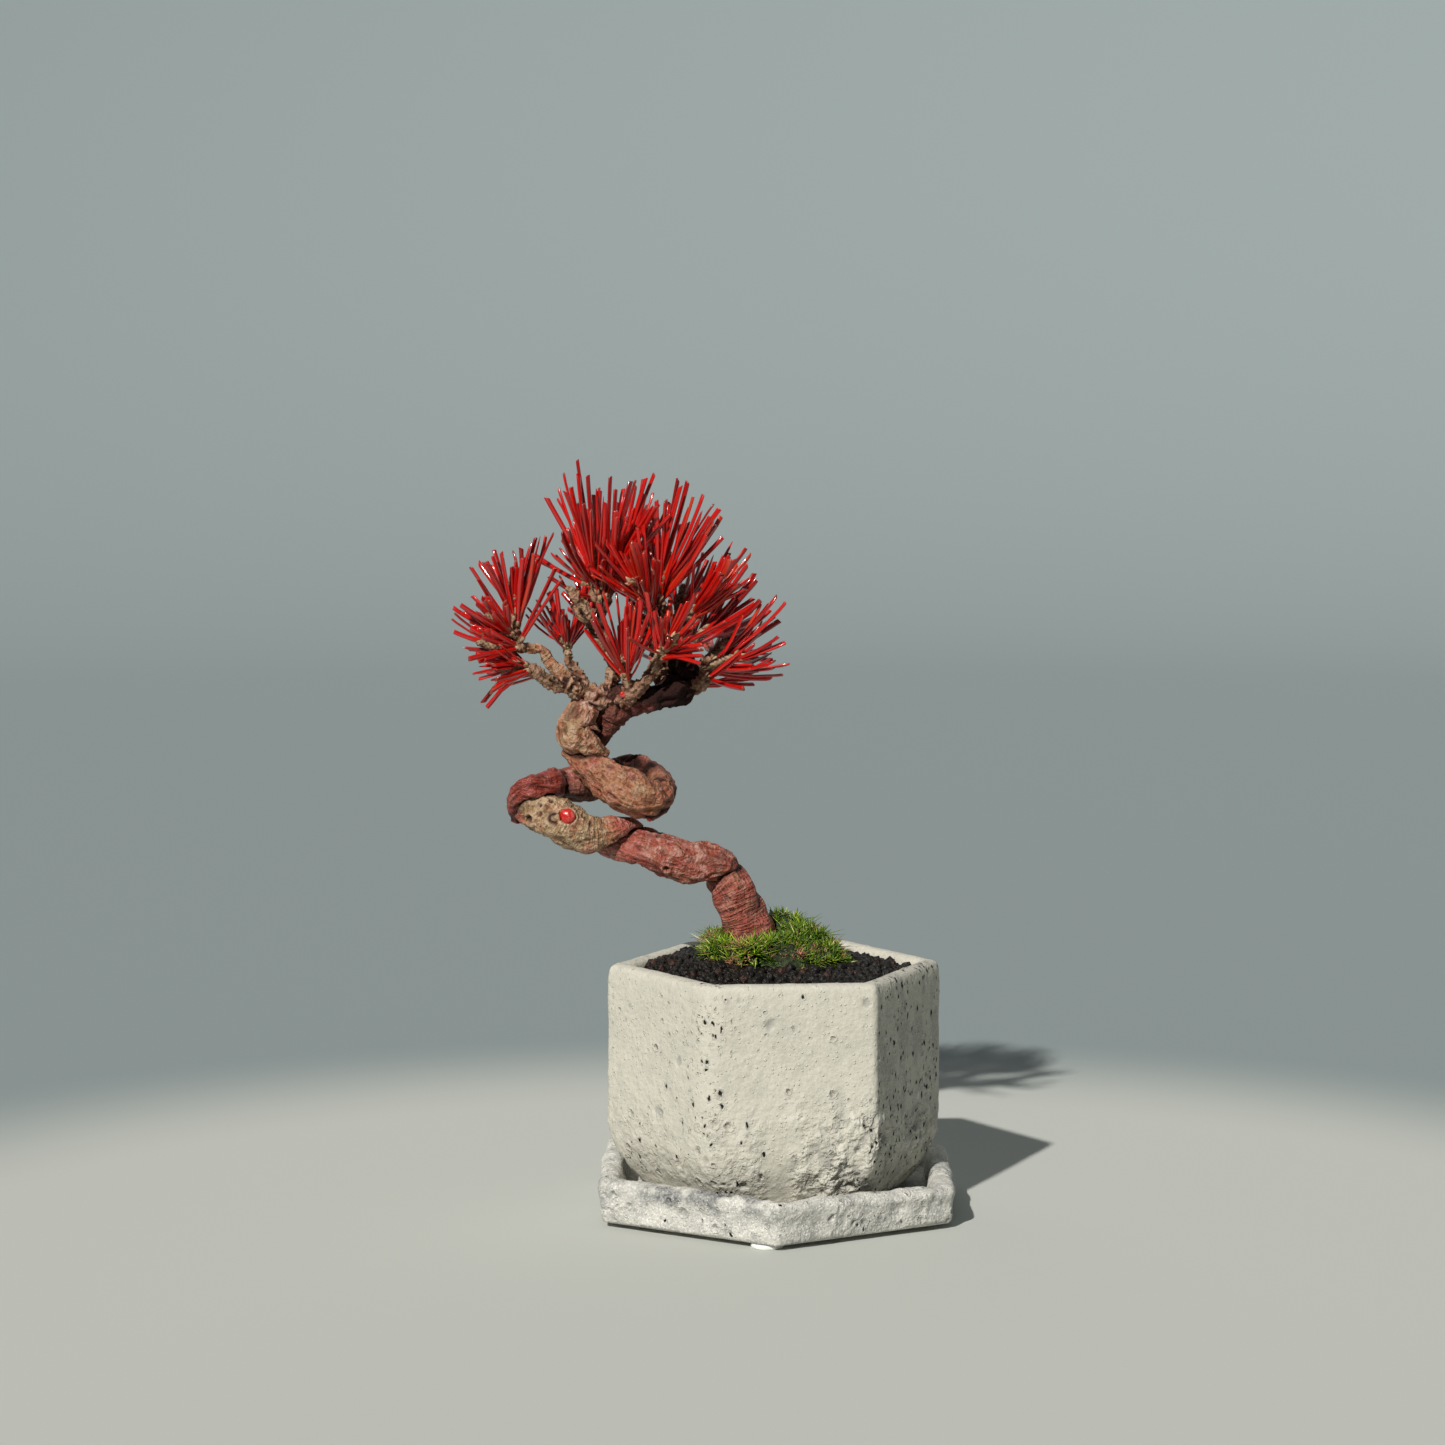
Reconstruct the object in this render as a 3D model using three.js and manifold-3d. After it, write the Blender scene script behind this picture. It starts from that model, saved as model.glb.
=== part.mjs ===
// A young black pine trained as a bonsai: a corkscrew trunk with stiff red needles, planted in a
// collar of moss in a six-sided cement pot that stands in a six-sided cement saucer.
// Millimetres, +Z up, the viewer in front at -Y. The layout is measured from the saucer's axis
// with the table at z = 0, and at the end the group is centred on its own outline.
// Bearings in plan are degrees from the front, turning towards +X.

import * as THREE from 'three';
import { mergeVertices } from 'three/addons/utils/BufferGeometryUtils.js';
import Module from 'manifold-3d';

const wasm = await Module();
wasm.setup();

const DEGREE = Math.PI / 180;
const GOLDEN_TURN = 137.508 * DEGREE;

// Clearance between two pieces that touch on the real plant
const GAP = 0.3;

// Soft round pads under three of the saucer's corners
const PAD = { radius: 5, height: 1.4, softening: 0.4, fromAxis: 55, bearings: [-3, 118, 241], sides: 16 };

// The saucer, a cast hexagonal tray with a hand-made rim
const SAUCER = {
  apothem: 55.4,
  rounding: 2.5,
  turn: 0,
  underside: PAD.height + GAP,
  floorTop: 6.7,
  wall: 6.5,
  rim: 14.3,
  rimTilt: 1.2,
  rimHighest: -80,
  rimWave: 0.5,
  lip: 1.3,
  footBevel: 1,
  draft: 0.8,
  floorCove: 1.2,
  unevenness: 0.35,
};

// The pot: heights are above its own base, roundings are those of the six corners from the front
const POT = {
  apothem: 44.8,
  turn: -24.8,
  centre: new THREE.Vector2(0.7, 0),
  base: SAUCER.floorTop + GAP,
  height: 71.6,
  roundings: [9, 2.5, 4, 4, 3, 2.5],
  innerRounding: 2,
  wall: 6.9,
  floor: 8,
  drainRadius: 5,
  unevenness: 0.35,
  leftStretch: 1.5,
};

// Plastic net over the drain hole
const NET = { radius: 14, thickness: 1, sides: 18, hole: 3, pitch: 5.2, reach: 11 };

// Soil of coarse black grains, mounded up to the flat patch that the moss grows on
const SOIL = { edge: 75.8, patch: 78, grain: 0.75, rows: 9, patchMargin: 3.5, slack: 0.1 };

// Where the trunk goes into the ground
const COLLAR = { centre: new THREE.Vector2(-8, 2), radius: 9.2, rootEnd: 62 };

// Moss: how far it spreads from the trunk, every 45 degrees from the front, and how high it stands.
// It falls away outwards by a power of its share of the spread.
const MOSS = {
  spread: [16, 23, 31, 24, 19, 17, 16.5, 16],
  height: 9.5,
  hump: 4.5,
  humpBearing: 125,
  humpWidth: 45,
  humpShift: 0.25,
  fall: 2.2,
  edge: 1.6,
  tuft: 2.2,
  mouth: new THREE.Vector2(-9.3, 2),
  mouthRadius: 10.1,
  rows: 8,
  sides: 40,
};

// Bark: twisted ridges, as a share of the radius, which fade out where the trunk meets the moss
const BARK = { ridge: 0.065, cross: 0.04, twist: 0.3, fadeFrom: 86, fadeTo: 97 };

// How finely each kind of wood is stepped along its route and round it
const LIMBS = {
  coil: { sides: 8, spacing: 5.4 },
  branch: { sides: 6, spacing: 6 },
  stub: { sides: 5, spacing: 3 },
  twig: { sides: 4, spacing: 7 },
};

// A tube's rounded end: how small its last ring is and how far out, as shares of the radius
const TUBE_END = { shoulder: 0.62, reach: 0.55 };

// Needles at their true size, three-sided, in sprays round a slim shoot
const NEEDLE = {
  radius: 0.8,
  sides: 3,
  rootShare: 0.4,
  bare: 0.18,
  clearance: 0.35,
  lowest: 0.06,
  highest: 0.94,
};
const SHOOT = {
  length: 10,
  setBack: 2.5,
  neck: 0.15,
  radius: 1.2,
  bud: 1.5,
  tip: 1.1,
  sides: 5,
  sunk: 0.8,
};
const NEEDLES_PER_SPRAY = 16;
const WIDEST_LEAN = 82 * DEGREE;
const FILL = { lean: 72 * DEGREE, upright: 0.02, shortest: 0.74, longest: 0.94, lift: 0.25 };
const FAN = { depth: 0.8, leastDepth: 2, shares: [1, -1, 0.75, -0.75, 0.5, -0.5, 0.25, -0.25, 0] };
const MOST_TRIES = 160;

// Routes of the trunk's coils and the branches, as x, y, z and radius, chosen by eye.
// Each coil runs into the next, and a branch starts inside the one that carries it.
const COILS = [
  [[-8, 2, 62, 6], [-8, 2, 70, 7.6], [-8, 2, 78, 8.6], [-8, 2, 83, 8.6], [-9, 2, 88.5, 8.3],
    [-10.5, 2, 93.5, 7.1], [-12.5, 1, 98.5, 6.7], [-14.5, 1, 103, 6.7], [-17.5, 3, 106.5, 6],
    [-19.5, 5, 108.5, 4.8]],
  [[-16, 0, 110, 4.7], [-19.5, -2, 110.5, 5.7], [-25, -2, 110.5, 6.5], [-30.5, -2, 111.5, 6.6],
    [-37, -1, 114, 6.2], [-43.5, 2, 115, 5.7], [-49.5, 5, 115.5, 5.2], [-54.5, 6, 117, 4.7],
    [-59, 3, 119.5, 4.2]],
  [[-46.5, 0, 122.5, 2.8], [-51, -2, 121, 4.7], [-56.5, -4, 120.5, 6], [-62, -5, 121.5, 6.6],
    [-68, -5, 123.5, 6.6], [-73, -4, 126, 6.3], [-78, -2, 128, 5.7], [-82, 2, 129.5, 4.4]],
  [[-81, 1, 127, 3.8], [-83, 5, 130.5, 4], [-80.5, 9, 133, 4.3], [-75, 13, 132.5, 4.6], [-69, 15, 131.5, 4.8]],
  [[-71, 13, 132.5, 4.6], [-67.5, 9, 133.5, 5.7], [-63, 11, 134, 5.9], [-57, 13, 135, 5.3],
    [-51, 15, 137, 4.8], [-45, 14, 138, 4.5], [-40, 10, 137, 4.5], [-36.5, 5, 134.5, 4.1],
    [-36.5, 0, 132, 4.4]],
  [[-36.5, 2, 133.5, 3.8], [-38, -3, 131.5, 5.4], [-42, -6, 132, 6.6], [-47, -7, 134, 6.9],
    [-52, -6, 137, 6.3], [-57.5, -4, 140.5, 5.2], [-62.5, -2, 143.5, 4.1], [-66.5, 2, 145, 2.8]],
  [[-56, 2, 142.5, 2.8], [-59, 0, 146, 3.4], [-63, -2, 150.5, 3.9], [-66, -3, 153, 4.6],
    [-64.5, -2, 156, 5.2], [-61.5, 0, 158, 5.2], [-58, 2, 160.5, 4.1]],
  [[-58, 4, 145, 2.4], [-55, 5, 152, 3], [-53, 4, 157, 4], [-50.5, 2, 160.5, 4.4], [-51, 1, 164.5, 3.8]],
];
const BRANCHES = [
  [[-49, 2, 160.5, 3.8], [-43.5, 1, 161.5, 4.3], [-37, 1, 163, 3.9], [-32, 2, 165, 4.3],
    [-28, 4, 167.5, 3.8], [-29.5, 6, 173, 3.8], [-31, 7, 178, 3.2]],
  [[-53.5, 1, 163, 3.5], [-57.5, 0, 163.5, 3.5], [-61.5, -1, 165.5, 3.3], [-65, -2, 167.5, 2.8]],
  [[-65, -2, 168, 2.4], [-69, -1, 171.5, 2.2], [-72, 0, 175, 1.9], [-74.5, 0, 178, 1.7],
    [-78.5, -1, 178.5, 1.6], [-82, -1, 179.5, 1.4]],
  [[-52, 1, 163.5, 3.5], [-52, 0, 168, 2.5], [-52, 0, 172.5, 1.9], [-52.5, 0, 176.5, 1.7],
    [-54, 1, 181, 1.6], [-56, 1, 185, 1.6], [-58.5, 1, 188, 1.9], [-61, 0, 191.5, 1.7],
    [-63.5, -1, 194.5, 1.4], [-65.5, -1, 197.5, 1.3]],
];

// Healed wounds and cut stubs: a sealed knob on the lowest coil, a stub under the ring, two snags
const STUBS = [
  [[-65, -8, 122, 2], [-65.2, -11.4, 122.3, 2.5]],
  [[-38, -4, 129.5, 2.8], [-40.3, -6, 125.2, 2.3], [-41, -6.6, 123.4, 1.7]],
  [[-58.5, 1, 187.5, 1.5], [-61.5, 2.6, 188.5, 1.3], [-64, 3, 192, 1]],
  [[-68, -9.5, 125.5, 1.2], [-70, -10.6, 125.8, 1.6]],
];

// Sprays of needles. twig is the last length of branch, up to the place that the needles spring from;
// aim is the way the shoot grows; fan lists the needles that make the outline seen from the front,
// as [degrees from upright towards +X, reach in mm].
const SPRAYS = [
  { name: 'spray_left_top', needle: 20, aim: [-0.1, 0, 1],
    twig: [[-81.5, -1, 179, 1.4], [-82.3, 0, 183.5, 1.2], [-82.5, 0, 188, 1.2], [-82.3, 0, 191.5, 1.2]],
    fan: [[-42, 18], [-32, 17], [-22, 19], [-13, 18], [-4, 17], [6, 19], [14, 21], [20, 18], [23, 24],
      [27, 26]] },
  { name: 'spray_left_high', needle: 18, aim: [-0.7, -0.3, 0.6],
    twig: [[-80.5, -1, 179, 1.4], [-82.5, -2, 181.5, 1.3], [-84.5, -3, 184, 1.2]],
    fan: [[-67, 19], [-59, 17], [-48, 16], [-33, 12], [-29, 19], [37, 25]] },
  { name: 'spray_left_mid', needle: 17, aim: [-0.95, -0.2, 0.2],
    twig: [[-79.5, -1, 179, 1.4], [-82.5, -2, 178.8, 1.3], [-85.5, -2.5, 178.5, 1.2]],
    fan: [[-125, 8], [-102, 11], [-76, 13], [-71, 17], [-60, 19], [-54, 19], [-39, 14]] },
  { name: 'spray_left_low', needle: 17, aim: [-0.95, -0.15, -0.15],
    twig: [[-64, -2, 167.5, 2.4], [-69, -2, 167, 1.9], [-73, -3, 169, 1.7], [-77, -3, 172, 1.5],
      [-80.5, -3, 174, 1.2]],
    fan: [[-142, 18], [-133, 12], [-110, 12], [-100, 15], [-88, 13], [-78, 14], [-42, 12]] },
  { name: 'spray_left_inner', needle: 21, aim: [-0.15, 0.4, 0.9],
    twig: [[-61.5, 2, 165.5, 2.2], [-64, 6, 170.5, 1.8], [-66, 8, 174.5, 1.4], [-66, 9, 177.5, 1.2]],
    fan: [[-44, 16], [-35, 15], [-19, 19], [-11, 20], [7, 12], [14, 21], [42, 11]] },
  { name: 'spray_left_back', needle: 22, aim: [-0.35, 0.75, 0.55],
    twig: [[-52.5, 0, 176.5, 1.6], [-56, 7, 180, 1.4], [-59, 13, 184, 1.2]],
    fan: [[-60, 14], [-20, 18], [25, 16]] },
  { name: 'spray_crown_left', needle: 29, aim: [-0.25, 0, 1],
    twig: [[-56, 1, 185, 1.7], [-55.5, 3, 190.5, 1.4], [-56, 3, 195, 1.3], [-57, 3, 200, 1.2],
      [-56.5, 3, 204, 1.2]],
    fan: [[-38, 27], [-33, 15], [-28, 27], [-22, 26], [-20, 31], [-12, 29], [-11, 34], [-6, 29],
      [-1, 24], [6, 23]] },
  { name: 'spray_crown_under', needle: 22, aim: [-0.5, 0.5, 0.7],
    twig: [[-55.6, 3, 191.5, 1.3], [-58, 7, 195, 1.3], [-60, 11, 198, 1.2]],
    fan: [[-75, 12], [-28, 16], [-6, 13], [41, 11]] },
  { name: 'spray_crown_mid', needle: 28, aim: [0.3, 0.15, 1],
    twig: [[-55.4, 2.6, 189, 1.3], [-53.5, 6, 196, 1.3], [-52.5, 7, 201, 1.2], [-52, 7, 205, 1.2]],
    fan: [[-2, 27], [7, 23], [12, 26], [16, 27], [20, 28], [25, 31], [30, 25], [37, 23]] },
  { name: 'spray_crown_right', needle: 32, aim: [0.3, 0, 1],
    twig: [[-34.5, 5, 164, 3.5], [-36.5, 9, 171, 2.9], [-38, 9, 179, 2.7], [-38, 8, 186, 2.6],
      [-38, 7, 192.5, 2.4], [-38, 6.5, 197, 1.6]],
    fan: [[-8, 26], [0, 28], [6, 28], [11, 35], [16, 35], [21, 28], [26, 33], [30, 29], [34, 32],
      [38, 32], [42, 30]] },
  { name: 'spray_crown_front', needle: 25, aim: [-0.5, -0.5, 0.7],
    twig: [[-38, 7, 187, 1.9], [-40, 3, 190.5, 1.5], [-41, 0.5, 194, 1.2]],
    fan: [[-66, 15], [-52, 18], [-42, 24], [-38, 27], [-14, 19], [12, 14]] },
  { name: 'spray_crown_rear', needle: 26, aim: [-0.2, 0.7, 0.7],
    twig: [[-38, 9, 179, 1.8], [-42, 14, 184, 1.5], [-45, 18, 189, 1.2]],
    fan: [[-30, 20], [0, 23], [30, 21]] },
  { name: 'spray_centre_low', needle: 26, aim: [0, -0.25, 1],
    twig: [[-45.5, -4, 164.5, 1.8], [-47, -5, 168.5, 1.5], [-47.5, -5.5, 171.5, 1.2]],
    fan: [[-27, 22], [-15, 26], [-8, 24], [2, 25], [12, 24], [22, 21]] },
  { name: 'spray_centre_front', needle: 23, aim: [0.35, -0.7, 0.5],
    twig: [[-49, -1, 162, 2.8], [-45.5, -4, 165, 2.5], [-42, -6, 168, 2.2], [-40, -7, 171, 1.7],
      [-38, -8, 175, 1.4], [-35.5, -9, 178, 1.2]],
    fan: [[-60, 12], [-15, 20], [7, 16], [28, 21], [40, 16], [63, 22], [72, 19], [100, 12]] },
  { name: 'spray_right_low', needle: 25, aim: [0.85, -0.25, 0.35],
    twig: [[-29, 3, 165.5, 2.5], [-24.5, 1, 167, 1.9], [-22, 0, 170.5, 1.5], [-20.5, -1, 174, 1.2]],
    fan: [[44, 29], [50, 30], [58, 25], [73, 24], [83, 19], [90, 24], [98, 16], [122, 12]] },
  { name: 'spray_right_mid', needle: 24, aim: [0.65, 0.45, 0.6],
    twig: [[-29, 6, 177, 2.2], [-25.5, 7, 180.5, 1.6], [-23, 8, 184.5, 1.2]],
    fan: [[27, 18], [34, 24], [43, 23], [62, 20], [81, 16], [96, 14]] },
  { name: 'spray_right_high', needle: 27, aim: [0.7, -0.1, 0.7],
    twig: [[-30, 7, 176, 2.7], [-29.5, 6, 181.5, 2], [-28, 5, 186.5, 1.5], [-27, 5, 191, 1.2]],
    fan: [[32, 24], [37, 20], [43, 25], [48, 28], [54, 29], [60, 30], [64, 22]] },
  { name: 'spray_right_top', needle: 27, aim: [0.15, 0.6, 0.75],
    twig: [[-29.5, 6.5, 180, 1.8], [-31, 11, 185, 1.5], [-31.5, 15, 190, 1.2]],
    fan: [[-4, 17], [15, 20], [25, 26], [32, 27]] },
  { name: 'spray_right_rear', needle: 24, aim: [0.55, 0.65, 0.45],
    twig: [[-28.5, 4, 169, 2], [-24, 11, 172.5, 1.6], [-20, 16, 176, 1.2]],
    fan: [[35, 20], [60, 22], [88, 18]] },
  { name: 'spray_rear_low', needle: 24, aim: [0, 0.8, 0.5],
    twig: [[-33, 2, 164.5, 2.2], [-34, 9, 168, 1.7], [-35, 15, 172, 1.4], [-36, 18, 175, 1.2]],
    fan: [[-35, 17], [5, 20], [40, 16]] },
];

const finishes = {
  cement: new THREE.MeshStandardMaterial({ color: 0xb4afa4, roughness: 0.92, metalness: 0 }),
  paleCement: new THREE.MeshStandardMaterial({ color: 0xb9b6ae, roughness: 0.95, metalness: 0 }),
  clearRubber: new THREE.MeshStandardMaterial({ color: 0xe6e4de, roughness: 0.5, metalness: 0 }),
  blackPlastic: new THREE.MeshStandardMaterial({ color: 0x1c1c1e, roughness: 0.6, metalness: 0 }),
  blackGrain: new THREE.MeshStandardMaterial({ color: 0x1d1a19, roughness: 0.95, metalness: 0 }),
  moss: new THREE.MeshStandardMaterial({ color: 0x5f8a1c, roughness: 0.85, metalness: 0 }),
  bark: new THREE.MeshStandardMaterial({ color: 0x8a5648, roughness: 0.7, metalness: 0 }),
  redNeedle: new THREE.MeshStandardMaterial({ color: 0xa81018, roughness: 0.35, metalness: 0 }),
};

// One stream of even random numbers from a fixed seed, by the 16807 rule
function seededRandom(seed) {
  let state = seed;
  return () => {
    state = (state * 16807) % 2147483647;
    return state / 2147483647;
  };
}

const mix = THREE.MathUtils.lerp;
const smooth = THREE.MathUtils.smoothstep;

// The direction in plan of a bearing in degrees
function planDirection(bearing) {
  return new THREE.Vector2(Math.sin(bearing * DEGREE), -Math.cos(bearing * DEGREE));
}

// A closed hexagonal outline: an arc at each corner and even steps along each side
function hexagon({ apothem, turn, centre, roundings, arcSteps, sideSteps }) {
  const arcs = roundings.map((rounding, corner) => {
    const facing = turn + corner * 60;
    const middle = planDirection(facing).multiplyScalar((apothem - rounding) / Math.cos(30 * DEGREE));
    return Array.from({ length: arcSteps + 1 }, (_, step) =>
      planDirection(facing - 30 + (60 * step) / arcSteps).multiplyScalar(rounding).add(middle).add(centre));
  });
  return arcs.flatMap((arc, corner) => {
    const from = arc[arcSteps];
    const to = arcs[(corner + 1) % arcs.length][0];
    const side = Array.from({ length: sideSteps - 1 }, (_, step) =>
      from.clone().lerp(to, (step + 1) / sideSteps));
    return [...arc, ...side];
  });
}

// A circle with one point for each point of an outline, on the same bearing from its centre
function circleLike(outline, outlineCentre, centre, radius) {
  return outline.map((point) => point.clone().sub(outlineCentre).setLength(radius).add(centre));
}

function atHeight(outline, height) {
  return outline.map((point, index) =>
    new THREE.Vector3(point.x, point.y, typeof height === 'function' ? height(point, index) : height));
}

// A slow wave over the surface that stands for the hand-cast unevenness of the cement
function castWave(point, size) {
  const wave = Math.sin(point.x * 0.13 + point.z * 0.09 + 1) * Math.sin(point.y * 0.15 - point.z * 0.07 + 2)
    + 0.5 * Math.sin(point.x * 0.31 - point.z * 0.23) * Math.sin(point.y * 0.29 + point.z * 0.19 + 0.6);
  return size * wave;
}

// Moves a ring of points out from an axis by the cast wave
function roughened(ring, centre, size) {
  return ring.map((point) => {
    const outward = new THREE.Vector3(point.x - centre.x, point.y - centre.y, 0).normalize();
    return point.clone().addScaledVector(outward, castWave(point, size));
  });
}

// A skin over rings of equal length: looped back to the first ring, or closed by a fan at each end
function loft(rings, looped = false) {
  const count = rings[0].length;
  const places = rings.flat();
  const triangles = [];
  const bands = looped ? rings.length : rings.length - 1;
  for (let band = 0; band < bands; band += 1) {
    const low = band * count;
    const high = ((band + 1) % rings.length) * count;
    for (let index = 0; index < count; index += 1) {
      const next = (index + 1) % count;
      triangles.push(low + index, low + next, high + next, low + index, high + next, high + index);
    }
  }
  if (!looped) {
    const last = (rings.length - 1) * count;
    const start = middleOf(rings[0]);
    const end = middleOf(rings[rings.length - 1]);
    places.push(start, end);
    for (let index = 0; index < count; index += 1) {
      const next = (index + 1) % count;
      triangles.push(places.length - 2, next, index, places.length - 1, last + index, last + next);
    }
  }
  return { places, triangles };
}

function middleOf(ring) {
  const middle = ring.reduce((sum, point) => sum.add(point), new THREE.Vector3());
  return middle.divideScalar(ring.length);
}

function toGeometry({ places, triangles }) {
  const geometry = new THREE.BufferGeometry().setFromPoints(places);
  geometry.setIndex(triangles);
  return geometry;
}

function toSolid(geometry) {
  const vertProperties = new Float32Array(geometry.attributes.position.array);
  const triVerts = new Uint32Array(geometry.index.array);
  return new wasm.Manifold(new wasm.Mesh({ numProp: 3, vertProperties, triVerts }));
}

// One body out of overlapping solids: a hollow that the joining seals is filled, a loose scrap dropped
function joined(solids) {
  const bodies = solids.reduce((whole, solid) => whole.add(solid)).decompose();
  return bodies.reduce((largest, body) => (body.volume() > largest.volume() ? body : largest));
}

function fromSolid(solid) {
  const { vertProperties, triVerts } = solid.getMesh();
  const geometry = new THREE.BufferGeometry();
  geometry.setAttribute('position', new THREE.BufferAttribute(new Float32Array(vertProperties), 3));
  geometry.setIndex(new THREE.BufferAttribute(new Uint32Array(triVerts), 1));
  return geometry;
}

function merged(geometry) {
  geometry.deleteAttribute('normal');
  geometry.deleteAttribute('uv');
  return mergeVertices(geometry, 0.001);
}

function piece(name, geometry, finish) {
  const mesh = new THREE.Mesh(geometry, finish);
  mesh.name = name;
  return mesh;
}

// A tube of flat-ended rings along a path, with a radius at each point and a share of it round the ring
function tube(path, radii, sides, relief = () => 1) {
  const rings = [];
  let side = null;
  let travelled = 0;
  path.forEach((point, index) => {
    const before = path[Math.max(index - 1, 0)];
    const after = path[Math.min(index + 1, path.length - 1)];
    const along = after.clone().sub(before).normalize();
    side = side ?? new THREE.Vector3(along.z, along.x, along.y).cross(along);
    side.addScaledVector(along, -side.dot(along)).normalize();
    const across = along.clone().cross(side);
    travelled += point.distanceTo(before);
    rings.push(Array.from({ length: sides }, (_, step) => {
      const angle = (2 * Math.PI * step) / sides;
      const radius = radii[index] * relief(angle, travelled, point);
      return point.clone()
        .addScaledVector(side, radius * Math.cos(angle))
        .addScaledVector(across, radius * Math.sin(angle));
    }));
  });
  return loft(rings);
}

// Even steps along a smooth curve through rows of x, y, z and radius
function route(rows, spacing) {
  const curve = new THREE.CatmullRomCurve3(rows.map(([x, y, z]) => new THREE.Vector3(x, y, z)));
  const steps = Math.max(2, Math.round(curve.getLength() / spacing));
  const path = [];
  const radii = [];
  for (let step = 0; step <= steps; step += 1) {
    const share = curve.getUtoTmapping(step / steps);
    const place = share * (rows.length - 1);
    const row = Math.min(Math.floor(place), rows.length - 2);
    path.push(curve.getPoint(share));
    radii.push(mix(rows[row][3], rows[row + 1][3], place - row));
  }
  return { path, radii };
}

// Adds a small ring past an end of a route, so that the tube closes roundly there
function rounded({ path, radii }, atStart, atEnd) {
  const ends = { path: [...path], radii: [...radii] };
  const past = (tip, neighbour, radius) =>
    tip.clone().addScaledVector(tip.clone().sub(neighbour).normalize(), radius * TUBE_END.reach);
  if (atStart) {
    ends.path.unshift(past(path[0], path[1], radii[0]));
    ends.radii.unshift(radii[0] * TUBE_END.shoulder);
  }
  if (atEnd) {
    ends.path.push(past(path.at(-1), path.at(-2), radii.at(-1)));
    ends.radii.push(radii.at(-1) * TUBE_END.shoulder);
  }
  return ends;
}

// Ridges that wind round the wood as the trunk twists
function barkRelief(angle, travelled, point) {
  const shown = smooth(point.z, BARK.fadeFrom, BARK.fadeTo);
  const ridge = Math.sin(3 * angle + BARK.twist * travelled);
  const cross = Math.sin(5 * angle - 2 * BARK.twist * travelled + 1);
  return 1 + shown * (BARK.ridge * ridge + BARK.cross * cross);
}

function limb(rows, { sides, spacing }, startRounded, endRounded) {
  const { path, radii } = rounded(route(rows, spacing), startRounded, endRounded);
  return toSolid(toGeometry(tube(path, radii, sides, barkRelief)));
}

// A twig's rows with its end drawn back, so that the shoot starts below the lowest needles
function drawnBack(twig) {
  const [before, last] = twig.slice(-2).map(([x, y, z]) => new THREE.Vector3(x, y, z));
  const end = last.clone().sub(before).setLength(-SHOOT.setBack).add(last);
  return [...twig.slice(0, -1), [...end.toArray(), twig.at(-1)[3]]];
}

function makeTree() {
  const solids = [
    ...COILS.map((rows, index) => limb(rows, LIMBS.coil, index > 0, true)),
    ...BRANCHES.map((rows) => limb(rows, LIMBS.branch, true, true)),
    ...STUBS.map((rows) => limb(rows, LIMBS.stub, true, true)),
    ...SPRAYS.map(({ twig }) => limb(drawnBack(twig), LIMBS.twig, false, false)),
  ];
  return piece('tree', fromSolid(joined(solids)), finishes.bark);
}

function makePads() {
  const { radius, height, softening, sides } = PAD;
  const profile = [[0, 0], [radius - softening, 0], [radius, softening], [radius, height - softening],
    [radius - softening, height], [0, height]].map(([x, y]) => new THREE.Vector2(x, y));
  return PAD.bearings.map((bearing, index) => {
    const turned = merged(new THREE.LatheGeometry(profile, sides));
    const pad = piece(`foot_pad_${index + 1}`, turned, finishes.clearRubber);
    const place = planDirection(bearing).multiplyScalar(PAD.fromAxis);
    pad.rotation.x = Math.PI / 2;
    pad.position.set(place.x, place.y, 0);
    return pad;
  });
}

function makeSaucer() {
  const centre = new THREE.Vector2();
  const outline = (inset) => hexagon({
    apothem: SAUCER.apothem - inset,
    turn: SAUCER.turn,
    centre,
    roundings: Array(6).fill(Math.max(SAUCER.rounding - inset, 1)),
    arcSteps: 3,
    sideSteps: 5,
  });
  const rimHeight = (point) => {
    const highest = planDirection(SAUCER.rimHighest);
    const tilt = SAUCER.rimTilt * point.clone().normalize().dot(highest);
    return SAUCER.rim + tilt + castWave(new THREE.Vector3(2 * point.x, 2 * point.y, 0), SAUCER.rimWave);
  };
  const belowLip = (point) => rimHeight(point) - SAUCER.lip;
  const { underside, footBevel, draft, lip, wall, floorTop, floorCove, unevenness } = SAUCER;
  const rings = [
    atHeight(outline(draft + footBevel), underside),
    roughened(atHeight(outline(draft), underside + footBevel), centre, unevenness),
    roughened(atHeight(outline(draft / 2), (underside + SAUCER.rim) / 2), centre, unevenness),
    roughened(atHeight(outline(0), belowLip), centre, unevenness),
    atHeight(outline(lip), rimHeight),
    atHeight(outline(wall - lip), rimHeight),
    atHeight(outline(wall), belowLip),
    atHeight(outline(wall + floorCove), floorTop),
  ];
  return piece('saucer', toGeometry(loft(rings)), finishes.paleCement);
}

// The pot's outline at a depth inside its outer face: its left corner was cast a little further out
function potOutline(inset, arcSteps = 3, sideSteps = 4) {
  const outline = hexagon({
    apothem: POT.apothem - inset,
    turn: POT.turn,
    centre: POT.centre,
    roundings: POT.roundings.map((rounding) => Math.max(rounding - inset, POT.innerRounding)),
    arcSteps,
    sideSteps,
  });
  outline.forEach((point) => {
    point.x -= POT.leftStretch * Math.max(0, -point.x / POT.apothem) ** 2;
  });
  return outline;
}

// The pot's outer wall, as height above its base and how far the wall stands in, then its inner wall
// from the rim down to the floor
const POT_OUTSIDE = [[0, 12.2], [1.5, 10.4], [6, 7.2], [12, 3.9], [19, 1.3], [28, 0], [50, 0], [70.6, 0.7],
  [POT.height, 2.2]];
const POT_RIM_INSIDE = [[POT.height, 4.8], [70.5, 6.3]];
const POT_INSIDE = [[60, POT.wall], [25, 7.2], [POT.floor, 16]];

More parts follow.
